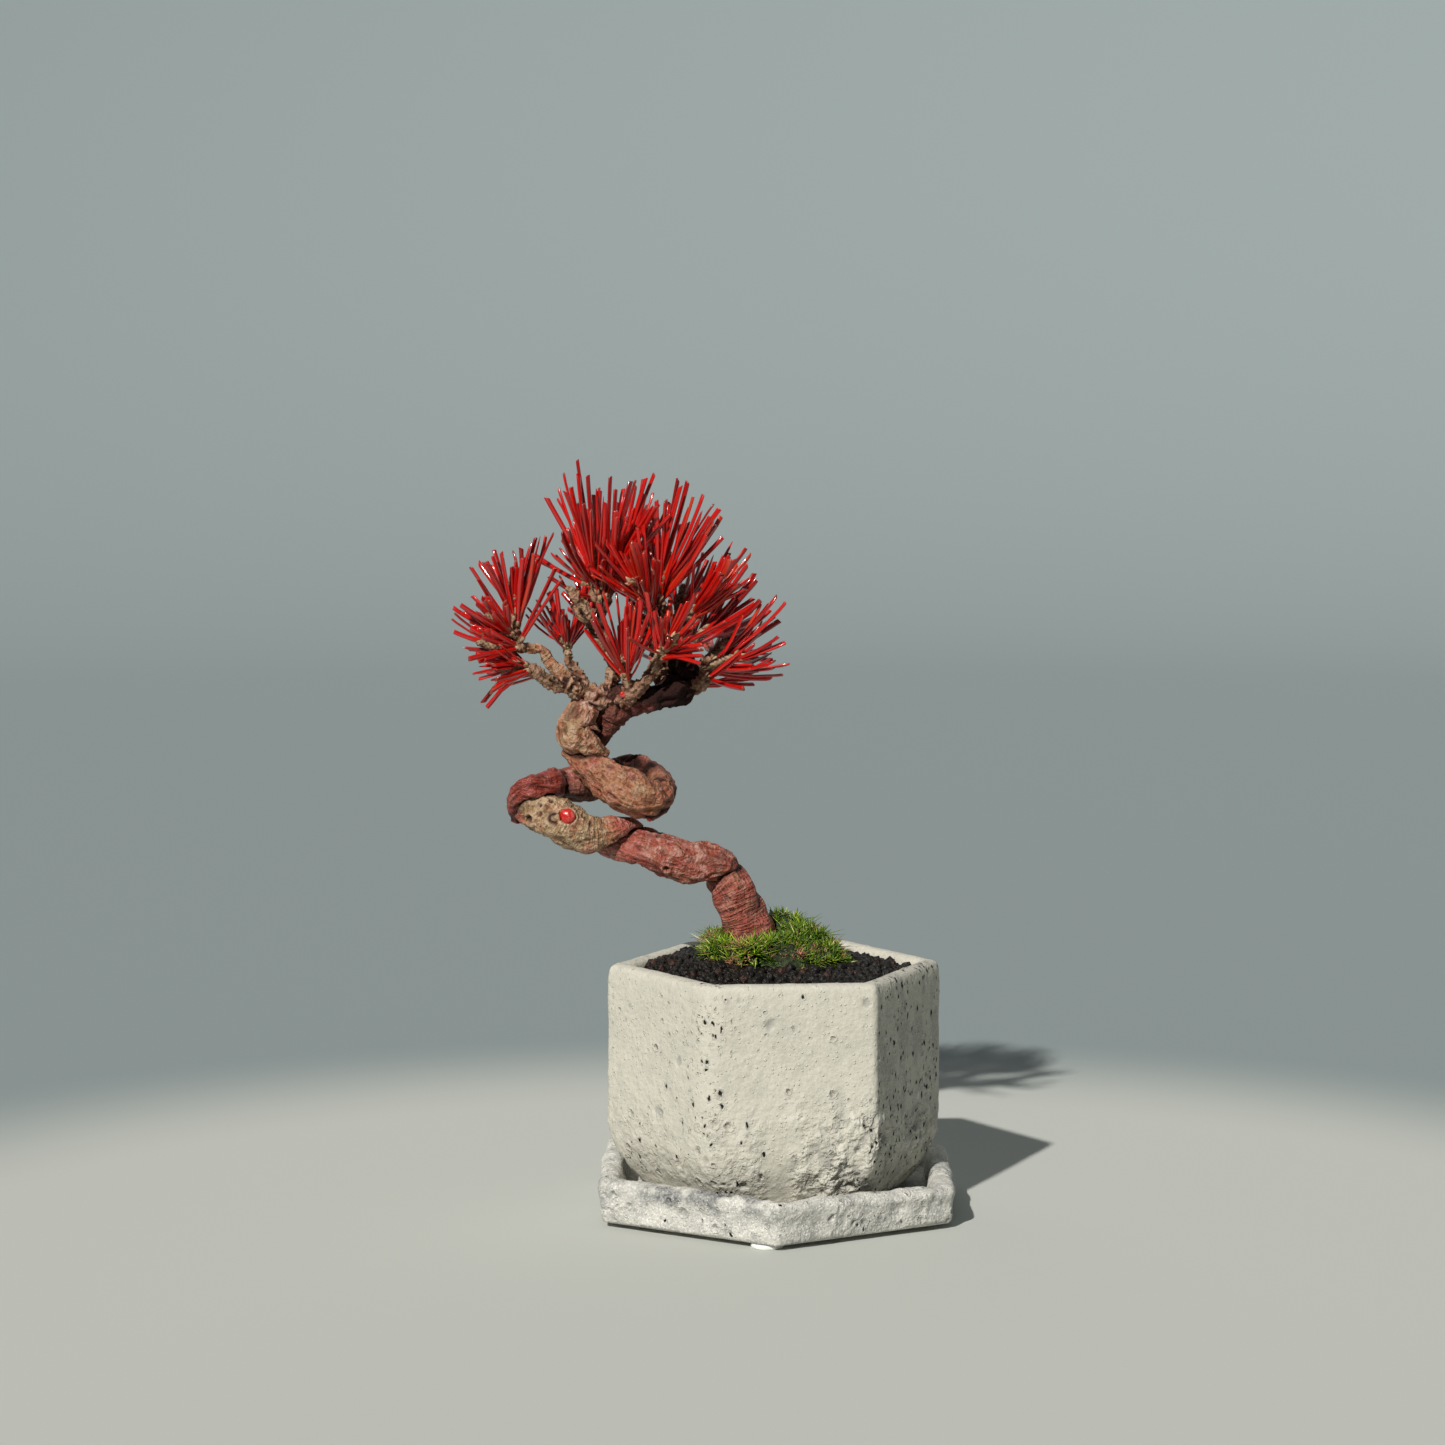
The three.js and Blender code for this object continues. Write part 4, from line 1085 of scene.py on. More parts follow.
@dataclass(frozen=True)
class CementRelief:
    """The relief of cast cement that is too large for a finish: lumps, and craters with raised rims.

    Attributes:
        seed: Which random relief.
        lumps: Height of the lumps.
        craters: Share of places for craters that are filled.
    """

    seed: int
    lumps: float = 0.08
    craters: float = 0.09

    def over(self, points: Array, lumpy: Array) -> Array:
        """Works out the relief of a grid.

        Heights add up: lumps · noise, bowls of -0.7 (1 - d/r) with rims of 0.15 exp(-((d - r)/0.4)²), and
        blisters of 0.28 exp(-(d/0.6)²).

        Args:
            points: Places, shape (rows, columns, 3).
            lumpy: How much stronger lumps and craters are, from 0, shape (rows, columns).

        Returns:
            Heights in millimetres.
        """
        height = self.lumps * (1 + 7 * lumpy) * layered(points, 4, 3, self.seed)
        push = np.stack([noise(points, 1.6, self.seed + 5 + axis) for axis in range(3)], axis=-1)
        away, _, pick = scattered(points + 0.9 * push, 5, self.seed + 10)
        share = self.craters * (1 + 7 * lumpy)
        radius = 0.9 + 1.9 * (pick / share) ** 2
        bowl = -0.7 * eased(1 - away / radius, 0, 0.8) + 0.15 * bell(away, radius, 0.4)
        height = height + np.where(pick < share, bowl, 0) * (0.6 + 1.2 * lumpy)
        away, _, pick = scattered(points, 3.2, self.seed + 20)
        return height + np.where(pick < 0.3 + 0.5 * lumpy, 0.28 * (1 + lumpy) * bell(away, 0, 0.6), 0)


def relief_mark(height: Array, depth: float) -> Array:
    """Returns relief as a share: 0.5 on the level, 0 at a hollow of that depth and 1 as far above."""
    return np.clip(0.5 + height / (2 * depth), 0, 1)


@dataclass
class Pot:
    """The hexagonal cement pot: sizes are those of the part, with one more fine step of relief.

    Attributes:
        outside: Outer wall as height above the base and inset, from the foot to the rim.
        rim_inside: The rim's inner edge, likewise.
        inside: The hidden inner wall down to the floor, likewise.
    """

    apothem: float = 44.8
    turn: float = -24.8
    centre: tuple[float, float] = (0.7, 0)
    base: float = 7.0
    roundings: tuple = (9, 2.5, 4, 4, 3, 2.5)
    inner_rounding: float = 2
    wall: float = 6.9
    floor: float = 8
    drain_radius: float = 5
    unevenness: float = 0.35
    left_stretch: float = 2.3
    foot_rounding: float = 11
    outside: tuple = (
        (0, 9.2), (1.5, 7.6), (6, 4.6), (12, 1.9), (17, 0.5), (22, 0), (50, 0), (70.6, 0.7), (71.6, 2.2)
    )
    rim_inside: tuple = ((71.6, 4.8), (70.5, 6.3), (60, 6.9))
    inside: tuple = ((25, 7.2), (8, 16))
    spacing: float = 0.62
    arc_steps: int = 10
    side_steps: int = 72
    relief: CementRelief = CementRelief(seed=100)
    finish: Cement = Cement("cast_cement")

    def outline(self, inset: Array, rounder: Array | float = 0) -> Array:
        """Draws the pot's outline at depths inside its outer face.

        The left corner was cast a little further out: x falls by 2.3 (x / apothem)² where x is negative.

        Args:
            inset: Depths, shape (rows,).
            rounder: What the corner radii gain, one number or shape (rows, 1).

        Returns:
            Points in plan, shape (rows, columns, 2).
        """
        roundings = np.maximum(np.array(self.roundings) - inset[:, None], self.inner_rounding) + rounder
        apothem = self.apothem - inset
        plan = hexagon(apothem, self.turn, self.centre, roundings, self.arc_steps, self.side_steps)
        plan[..., 0] -= self.left_stretch * np.maximum(0, -plan[..., 0] / self.apothem) ** 2
        return plan

    def rings(self, profile: Array) -> Array:
        """Returns the rings of a profile of heights and insets, rounder near the foot, (rows, columns, 3)."""
        plan = self.outline(profile[:, 1], self.foot_rounding * (1 - eased(profile[:, :1], 1, 15)))
        return raised(plan, self.base + profile[:, :1])

    def skin(self) -> Skin:
        """Builds the whole pot as one loop of rings, from the foot over the rim, down and out of the drain.

        Returns:
            The skin with marks for relief, lumps, pits, and stains that also paint shade on the right face.
        """
        seen, _ = even_steps(np.array(self.outside + self.rim_inside, float), self.spacing)
        grid = self.rings(seen)
        middle = np.array([*self.centre, 0])
        on_wall = eased(seen[:, 0], 0, 1.5) * (np.arange(len(seen)) < np.argmax(seen[:, 1] > 2.5))
        outward = unit(unit(grid - middle) * np.array([1, 1, 0]))
        grid = grid + outward * (cast_wave(grid, self.unevenness) * on_wall[:, None])[..., None]
        normals = grid_normals(grid)
        bearing = plan_bearing(grid - middle)
        low = 1 - eased(grid[..., 2], self.base + 14, self.base + 44)
        to_right = 0.3 + 0.7 * eased(bearing, -30, 15)
        lumpy = low * to_right * eased(layered(grid, 12, 2, 131), -0.6, 0.2)
        lumpy = lumpy + 0.6 * low * bell(bearing, self.turn + 50, 14) + 0.06
        front_edge = bell(bearing, self.turn - 2, 7) * eased(layered(grid, 6, 2, 140), -0.2, 0.2)
        right_face = eased(bearing, 35, 38) * (1 - eased(bearing, 92, 100))
        right_edge = bell(bearing, self.turn + 60, 3) * low
        cluster = eased(layered(grid, 7, 2, 145), 0, 0.5)
        pitted = front_edge + right_face * (0.3 + 0.7 * cluster) + right_edge + 0.2 * low * cluster
        height = self.relief.over(grid, lumpy)
        fade = eased(seen[:, :1], 0.4, 3)
        grid = grid + normals * (height * fade)[..., None]
        drain = unit(self.outline(np.zeros(2)) - middle[:2]) * self.drain_radius + middle[:2]
        lips = raised(drain, np.array([[self.base + self.floor], [self.base]]))
        whole = np.concatenate([grid, self.rings(np.array(self.inside, float)), lips])
        rest = np.zeros((len(whole) - len(grid), whole.shape[1]))
        # On the right face the stain is partly real and partly painted shade on the face turned from the
        # light.
        stain_and_shade = right_face * (0.5 + 1.3 * eased(layered(grid * [1, 1, 0.4], 6, 3, 150), 0, 0.5))
        marks = {"relief": relief_mark(height, 0.5), "lumpy": lumpy, "pitted": pitted * fade, "stain_and_shade": stain_and_shade}
        return looped_skin(whole, {name: np.concatenate([mark, rest]) for name, mark in marks.items()})

    def build(self, bench: Workbench) -> None:
        """Makes the pot's piece."""
        bench.piece("pot_cast", self.skin(), self.finish.material(), ("pot",))


@dataclass
class Saucer:
    """The hexagonal cement saucer, with a hand-made rim that rises towards the left."""

    apothem: float = 55.4
    rounding: float = 3.5
    underside: float = 1.7
    floor_top: float = 6.7
    wall: float = 6.5
    rim: float = 14.3
    rim_tilt: float = 1.2
    rim_highest: float = -80
    rim_wave: float = 0.5
    lip: float = 1.3
    foot_bevel: float = 1
    draft: float = 0.8
    floor_cove: float = 1.2
    floor_spacing: float = 0.9
    floor_reach: float = 22
    unevenness: float = 0.35
    spacing: float = 0.62
    arc_steps: int = 8
    side_steps: int = 86
    relief: CementRelief = CementRelief(seed=300, lumps=0.1, craters=0.05)
    finish: Cement = Cement(
        "pale_cast_cement",
        body=(0.55, 0.54, 0.49, 1),
        shade=(0.33, 0.33, 0.31, 1),
        bloom=(0.78, 0.77, 0.72, 1),
        stain_and_shade=(0.13, 0.135, 0.14, 1),
        stain_and_shade_size=9.0,
        stain_and_shade_low=0.52,
        stain_and_shade_high=0.7,
        stain_and_shade_share=0.95,
        mottle=0.6,
        frost=0.8,
        grit=0.9,
        craters=0.04,
        dirt=0.25,
        roughness=0.95,
    )

    def profile(self) -> Array:
        """Lists the wall's rows as inset, height, and the rim's share of that height's tilt and wave.

        Returns:
            The rows, shape (8, 3).
        """
        rim, lip, wall, draft = self.rim, self.lip, self.wall, self.draft
        rows = [
            (draft + self.foot_bevel, self.underside, 0),
            (draft, self.underside + self.foot_bevel, 0),
            (draft / 2, (self.underside + rim) / 2, 0),
            (0, rim - lip, 1),
            (lip, rim, 1),
            (wall - lip, rim, 1),
            (wall, rim - lip, 1),
            (wall + self.floor_cove, self.floor_top, 0),
        ]
        return np.array(rows)

    def skin(self) -> Skin:
        """Builds the tray as rings from the middle of its underside, over the wall, to its floor's middle.

        Returns:
            The skin with marks for relief, lumps, pits and stains.
        """
        walked, _ = even_steps(self.profile() * np.array([1, 1, 3]), self.spacing)
        floor = np.arange(walked[-1, 0] + 0.8, self.floor_reach, self.floor_spacing)
        level = np.full((len(floor), 2), [self.floor_top, 0])
        walked = np.vstack([walked, np.column_stack([floor, level])])
        inset, rise = walked[:, :1], walked[:, 1:2]
        roundings = np.repeat(np.maximum(self.rounding - inset, 1), 6, axis=1)
        plan = hexagon(self.apothem - walked[:, 0], 0, (0, 0), roundings, self.arc_steps, self.side_steps)
        lift = self.rim_tilt * (unit(plan) @ plan_direction(self.rim_highest))
        lift = lift + cast_wave(raised(2 * plan, 0), self.rim_wave)
        grid = raised(plan, rise + lift * np.clip(walked[:, 2:] / 3, 0, 1))
        outer = (inset < self.lip) * eased(rise, self.underside, self.underside + 1)
        grid[..., :2] += unit(plan) * (cast_wave(grid, self.unevenness) * outer)[..., None]
        normals = grid_normals(grid)
        lumpy = 0.15 + 0.3 * eased(layered(grid, 10, 2, 320), -0.2, 0.5)
        height = self.relief.over(grid, lumpy)
        under_pot = eased(inset, 12.5, 10.5)
        fade = eased(np.arange(len(walked))[:, None], 0, 4) * under_pot
        grid = grid + normals * (height * fade)[..., None]
        top_left = eased(grid[..., 2], 7, 13) * (1 - eased(np.abs(plan_bearing(plan) + 24), 15, 30))
        marks = {
            "relief": relief_mark(height, 0.5),
            "lumpy": lumpy * under_pot,
            "pitted": 0.05 * fade,
            "stain_and_shade": 1.4 * top_left * eased(layered(grid, 7, 3, 350), -0.4, 0.1),
        }
        return capped_skin(grid, {name: np.broadcast_to(mark, height.shape) for name, mark in marks.items()})

    def build(self, bench: Workbench) -> None:
        """Makes the saucer's piece."""
        bench.piece("saucer_cast", self.skin(), self.finish.material(), ("saucer",))


@dataclass
class Pads:
    """Soft translucent pads under three corners of the saucer."""

    radius: float = 5
    height: float = 1.4
    softening: float = 0.4
    from_axis: float = 55
    bearings: tuple = (-3, 118, 241)
    sides: int = 64
    finish: Moulded = Moulded(
        "milky_rubber", tone=(0.78, 0.8, 0.78, 1), veil=(0.86, 0.87, 0.84, 1), roughness=0.38, milkiness=0.4
    )

    def skin(self) -> Skin:
        """Turns a profile with quarter-round edges about an upright axis.

        Returns:
            The closed skin.
        """
        quarter = np.radians(np.linspace(0, 90, 7))
        flat = self.radius - self.softening
        edge = np.stack([np.sin(quarter), 1 - np.cos(quarter)], axis=1)
        low = np.array([flat, 0]) + self.softening * edge
        high = low[::-1] * np.array([1, -1]) + np.array([0, self.height])
        profile = np.vstack([[flat * 0.5, 0], low, high, [flat * 0.5, self.height]])
        return capped_skin(raised(circle(self.sides) * profile[:, :1, None], profile[:, 1:]))

    def build(self, bench: Workbench) -> None:
        """Makes one piece for each pad.

        Args:
            bench: Makes the pieces.
        """
        material = self.finish.material()
        for number, bearing in enumerate(self.bearings, 1):
            skin = self.skin()
            skin.points[:, :2] += plan_direction(bearing) * self.from_axis
            bench.piece(f"soft_pad_{number}", skin, material, (f"foot_pad_{number}",))


@dataclass
class Moss:
    """The cushion of moss round the trunk's foot: a matted bed under leafy tufts.

    Attributes:
        spread: How far the moss reaches from the trunk, every 45 degrees from the front.
    """

    soil_patch: float = 78
    gap: float = 0.3
    centre: tuple[float, float] = (-8, 2)
    collar: float = 9.2
    spread: tuple = (16, 23, 31, 24, 18, 16, 14.5, 15)
    height: float = 8
    hump: float = 6
    hump_bearing: float = 130
    hump_width: float = 28
    hump_shift: float = 0.25
    fall: float = 2.2
    edge: float = 1.6
    mouth: tuple[float, float] = (-9.3, 2)
    mouth_radius: float = 10.1
    bed_rings: int = 46
    bed_sides: int = 220
    tufts: int = 560
    leaves: int = 17
    leaf: float = 3.9
    leaf_width: float = 0.46
    bald: tuple[float, float] = (3, -14)
    bald_radius: float = 6.5
    finish: MossFinish = MossFinish("moss_leaf")
    bed_finish: Earth = Earth(
        "moss_bed",
        dark=(0.012, 0.018, 0.006, 1),
        pale=(0.05, 0.065, 0.03, 1),
        odd=(0.1, 0.055, 0.03, 1),
        odd_share=-1.0,
        roughness=0.9,
    )

    def spread_at(self, bearing: Array) -> Array:
        """Works out how far the moss reaches, eased between its eight sizes.

        Args:
            bearing: Degrees from the front.

        Returns:
            Reaches in millimetres, shaped as the bearings.
        """
        eighth = np.mod(bearing, 360) / 45
        low = np.floor(eighth).astype(int) % 8
        sizes = np.array(self.spread)
        return sizes[low] + (sizes[(low + 1) % 8] - sizes[low]) * eased(eighth - np.floor(eighth), 0, 1)

    def surface(self, bearing: Array, share: Array) -> Array:
        """Places points on the cushion's top.

        In plan a point runs from the mouth round the trunk, at share 0, to the brim, at share 1. Its height
        is half the edge + height · (1 - share^fall) + a hump, a bell in bearing times a half wave in share.

        Args:
            bearing: Degrees from the front.
            share: From 0 at the trunk to 1 at the brim.

        Returns:
            Points, shape (..., 3).
        """
        heading = plan_direction(bearing)
        brim = heading * self.spread_at(bearing)[..., None] + np.array(self.centre)
        mouth = heading * self.mouth_radius + np.array(self.mouth)
        plan = mouth + (brim - mouth) * share[..., None]
        beside = bell(np.mod(bearing - self.hump_bearing + 180, 360), 180, self.hump_width)
        hump = self.hump * beside * np.sin(np.pi * np.minimum(1, share + self.hump_shift))
        height = self.soil_patch + self.gap + self.height * (1 - share**self.fall) + hump + self.edge / 2
        return np.concatenate([plan, height[..., None]], axis=-1)

    def bed_skin(self) -> Skin:
        """Builds the closed bed: its underside on the soil, its brim, the lumpy top and the trunk's hole.

        Returns:
            The skin, with one random mark for the whole bed.
        """
        shape = (self.bed_rings, self.bed_sides)
        bearing = np.broadcast_to(np.linspace(0, 360, self.bed_sides, endpoint=False), shape)
        share = np.broadcast_to(np.linspace(1, 0, self.bed_rings)[:, None], shape)
        top = self.surface(bearing, share)
        lump = 0.9 * layered(top, 5, 3, 500) + 0.5 * layered(top, 1.6, 2, 510)
        top[..., 2] += lump * eased(share, 0, 0.1) * eased(1 - share, 0, 0.06)
        base = self.soil_patch + self.gap
        middle = np.array(self.centre)
        foot = raised(unit(top[:1, :, :2] - middle) * self.collar + middle, base)
        grid = np.concatenate([raised(top[:1, :, :2], base), top, foot])
        return looped_skin(grid, {"pick": np.ones(grid.shape[:2])})

    def leaf_skin(self, random: Random) -> Skin:
        """Strews tufts over the top and gives each a whorl of thin leaves that arch outwards.

        Tufts lie at bearings and shares drawn so that they cover the top evenly. A leaf's middle line is
        root + length · (0.85 t · upwards + 0.75 t^1.6 · lean · outwards), and its width falls as 1 - t^1.6.

        Args:
            random: The source of every random number.

        Returns:
            The leaves, with marks along, pick, vivid and withered.
        """
        bearing = random.uniform(0, 360, self.tufts)
        inner = self.mouth_radius / self.spread_at(bearing)
        share = (np.sqrt(random.uniform(inner**2, 1)) - inner) / (1 - inner)
        root = self.surface(bearing, share)
        clump = layered(root, 7, 2, 530)
        bald = eased(1 - distance(root[:, :2], self.bald) / self.bald_radius, 0, 0.5)
        small = 1 - 0.55 * bald - 0.3 * eased(share, 0.35, 0)
        root[:, 2] += 1.4 * clump - 0.6 - 1.2 * eased(share, 0.4, 0) - bald
        step = 0.4
        down = (self.surface(bearing, np.minimum(share + 0.05, 1.1)) - root)[:, 2]
        outward = np.column_stack([plan_direction(bearing), np.zeros(self.tufts)])
        slope = np.clip(-down / step, 0, 1.6) * 0.35 + eased(share, 0.75, 1) * 0.55
        stem = unit(np.array([0, 0, 1.0]) + outward * slope[:, None] + 0.3 * random.normal(size=root.shape))
        side = unit(np.cross(stem, [0.3, 1.0, 0.2]))
        across = np.cross(stem, side)
        count = self.tufts * self.leaves
        order = np.tile(np.arange(self.leaves), self.tufts)
        tuft = np.repeat(np.arange(self.tufts), self.leaves)
        around = order * GOLDEN_TURN + random.uniform(0, 2 * np.pi, self.tufts)[tuft]
        stem, side, across = stem[tuft], side[tuft], across[tuft]
        out = side * np.cos(around)[:, None] + across * np.sin(around)[:, None]
        order = order / self.leaves
        lean = 0.3 + 2.3 * (1 - order) * random.uniform(0.5, 1.2, count)
        bent = out * lean[:, None]
        big = (0.8 + 0.5 * hashed(np.round(root * 2), 9)) * small * (1 + 0.25 * clump)
        length = self.leaf * big[tuft] * random.uniform(0.6, 1.0, count)
        size = length * (1 - 0.25 * eased(share[tuft], 0.7, 1))
        along = np.array([0, 0.5, 1])[:, None]
        stalk = root[tuft] + stem * ((order - 0.5) * 1.6)[:, None]
        line = stem[:, None] * along * 0.85 + bent[:, None] * along**1.6 * 0.75
        centres = stalk[:, None] + size[:, None, None] * line
        width = self.leaf_width * (1 - along[:, 0] ** 1.6 * 0.93) * random.uniform(0.7, 1.2, (count, 1))
        flat = unit(np.cross(stem, out))
        upper = unit(np.cross(unit(stem * 0.8 + bent * 0.6), flat))
        section = np.array([(-1, 0), (0, -0.45), (1, 0)], float)
        skin = bundle_skin(centres, flat, upper, section, width[..., None])
        dry = eased(layered(root, 6, 2, 540), 0.3, 0.6) * 0.5 + 0.03 + 0.4 * bald
        brown = random.uniform(size=count) < dry[tuft]
        vivid = np.clip(0.5 + 0.7 * layered(root, 5, 2, 550) + 0.2 * random.normal(size=self.tufts), 0, 1)
        per_leaf = len(skin.points) // count
        skin.marks["withered"] = np.repeat(brown.astype(float), per_leaf)
        skin.marks["vivid"] = np.repeat((vivid * (1 - 0.8 * bald))[tuft], per_leaf)
        return skin

    def build(self, bench: Workbench) -> None:
        """Makes the bed's piece and the leaves' piece.

        Args:
            bench: Makes the pieces.
        """
        bench.piece("moss_bed", self.bed_skin(), self.bed_finish.material(), ("moss",))
        leaves = self.leaf_skin(np.random.default_rng(23))
        bench.piece("moss_leaves", leaves, self.finish.material())


@dataclass
class Soil:
    """Coarse black grains over the part's own mound of soil, up to the moss, heaped a little on the left."""

    pot: Pot
    moss: Moss
    edge: float = 75.8
    patch: float = 78
    grain: float = 2.5
    grain_levels: tuple = (-0.82, -0.35, 0.35, 0.82)
    grain_widths: tuple = (0.55, 0.98, 0.95, 0.5)
    layers: int = 3
    heap: float = 1.8
    finish: Earth = Earth("black_grains", roughness=0.42)
    net_finish: Moulded = Moulded("net_plastic")

    def wall_distance(self, plan: Array) -> Array:
        """Measures how far points are from the pot's inner faces, the least of six distances.

        Args:
            plan: Points in plan, shape (..., 2).

        Returns:
            The distances, shape (...).
        """
        normals = plan_direction(self.pot.turn + 30 + 60.0 * np.arange(6))
        inner = self.pot.apothem - self.pot.wall
        return (inner - (plan - np.array(self.pot.centre)) @ normals.T).min(axis=-1)

    def height_at(self, plan: Array) -> Array:
        """Works out the mound's height: the edge, eased up to the patch over 0.7 of the way to the trunk.

        Args:
            plan: Points in plan, shape (..., 2).

        Returns:
            Heights, shape (...).
        """
        wall = self.wall_distance(plan)
        collar = distance(plan, self.moss.centre) - self.moss.collar
        share = wall / np.maximum(wall + collar, 1)
        return self.edge + (self.patch - self.edge) * eased(share, 0, 0.7)

    def grain_skin(self, random: Random) -> Skin:
        """Strews angular grains: jittered places on a square grid, turned and knocked about at random.

        Args:
            random: The source of every random number.

        Returns:
            The grains, each with its own random mark.
        """
        reach = self.pot.apothem + 4
        steps = np.arange(-reach, reach, self.grain * 0.92)
        layers = []
        for layer in range(self.layers):
            plan = np.stack(np.meshgrid(steps, steps), axis=-1).reshape(-1, 2)
            plan = plan + random.uniform(-0.5, 0.5, plan.shape) * self.grain + layer * 0.5 * self.grain
            bearing = plan_bearing(plan - np.array(self.moss.centre))
            outside = distance(plan, self.moss.centre) > self.moss.spread_at(bearing) - 2.5
            plan = plan[(self.wall_distance(plan) > 1.1) & outside]
            heaped = self.heap * eased(-plan[:, 0], 4, 26)
            height = self.height_at(plan) + 0.5 + heaped - 0.9 * layer + random.uniform(-0.6, 0.6, len(plan))
            layers.append(np.column_stack([plan, height]))
        middle = np.concatenate(layers)
        size = self.grain * 0.5 * random.uniform(0.75, 1.45, len(middle))[:, None]
        axis = unit(random.normal(size=middle.shape))
        side = unit(np.cross(axis, random.normal(size=middle.shape)))
        centres = middle[:, None] + axis[:, None] * (np.array(self.grain_levels) * size)[..., None]
        spread = (np.array(self.grain_widths) * size)[..., None]
        skin = bundle_skin(centres, side, np.cross(axis, side), circle(6), spread)
        knock = np.clip(1 + 0.2 * random.normal(size=len(skin.points)), 0.6, 1.3)
        home = np.repeat(middle, len(skin.points) // len(middle), axis=0)
        skin.points = home + (skin.points - home) * knock[:, None]
        return skin

    def build(self, bench: Workbench) -> None:
        """Makes the grains' piece, and finishes the part's own soil and drain net.

        Args:
            bench: Makes the pieces.
        """
        material = self.finish.material()
        bench.piece("soil_grains", self.grain_skin(np.random.default_rng(11)), material)
        for node, finish in (("soil", material), ("drain_net", self.net_finish.material())):
            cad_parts[node].data.materials.clear()
            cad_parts[node].data.materials.append(finish)


@dataclass(frozen=True)
class Bark:
    """How a stretch of bark looks: tones as shares, reliefs in millimetres.

    Attributes:
        redness: From beige at 0 through tan to salmon at 1.
        paleness: How much pale bloom lies on its crests, partly a painted highlight.
        wetness: How dark and glossy it is.
        dark_tone_and_shade: How much darker it is, partly its own dark tone and partly painted shade where it
            lies in shade.
        ringed: Strength of fine wrinkles across the wood.
        furrowed: Strength of fine furrows along it.
        lumps: Height of its lumps.
        crinkle: Height of its small crumples.
        cracks: Depth of its cracks.
        scales: Thickness of flaking plates.
        scars: Height of the scars that fallen needles left.
    """

    redness: float = 0.15
    paleness: float = 0.5
    wetness: float = 0.0
    dark_tone_and_shade: float = 0.0
    ringed: float = 0.3
    furrowed: float = 0.3
    lumps: float = 0.5
    crinkle: float = 0.25
    cracks: float = 0.35
    scales: float = 0.3
    scars: float = 0.0


@dataclass(frozen=True)
class Limb:
    """A stretch of wood.

    Attributes:
        rows: Points of its middle line, each with x, y, z and radius.
        bark: How its surface looks.
        spacing: Edge of its faces.
        opens: True if its start is rounded, as the part's is.
        closes: True if its end is.
    """

    rows: Rows
    bark: Bark
    spacing: float = 0.45
    opens: bool = True
    closes: bool = True


FOOT = Bark(
    redness=0.8, paleness=0.3, ringed=1.5, furrowed=0.1, lumps=0.6, crinkle=0.1, cracks=0.15, scales=0
)
PINK = Bark(
    redness=0.75, paleness=0.7, wetness=0.3, furrowed=0.5, lumps=0.4, crinkle=0.25, cracks=0.4, scales=0.05
)
OLIVE = Bark(redness=0.2, paleness=0.75, ringed=0.9, furrowed=0.1, crinkle=0.25, cracks=0.2, scales=0.05)
GLAZED = Bark(
    redness=1, paleness=0.3, wetness=0.75, furrowed=1.4, lumps=1.1, crinkle=0.3, cracks=0.4, scales=0
)
# Painted shade: DUSKY's darkness darkens the coil that runs behind the others, which lies in shade.
DUSKY = Bark(redness=0.65, paleness=0.3, wetness=0.1, dark_tone_and_shade=0.42, ringed=1.2, furrowed=0.2, scales=0)
TAN = Bark(redness=0.5, paleness=0.3, furrowed=0.7, lumps=0.8, crinkle=0.3, cracks=0.4, scales=0.05)
BEIGE = Bark(
    redness=0.35, paleness=0.5, ringed=0.5, furrowed=0.3, lumps=0.7, crinkle=0.4, cracks=0.4, scales=0.15
)
UMBER = Bark(
    redness=0.75, paleness=0.15, dark_tone_and_shade=0.68, furrowed=0.6, lumps=0.9, crinkle=0.4, cracks=0.4, scales=0
)
# Painted shade: SHADED's darkness stands for the needles' shade over this branch, on top of its own dark
# red-brown tone.
SHADED = Bark(redness=0.85, paleness=0.03, dark_tone_and_shade=0.97, lumps=1.6, crinkle=0.6, cracks=0.6, scales=0)
TWIG = Bark(
    redness=0.35, paleness=0.6, dark_tone_and_shade=0.42, lumps=0.8, crinkle=0.7, cracks=0.7, scales=0.6, scars=0.7
)
STEM = Bark(
    redness=0.3, paleness=0.6, dark_tone_and_shade=0.22, ringed=0.6, lumps=1.2, crinkle=0.9, cracks=0.8,
    scales=0.5, scars=0.5,
)

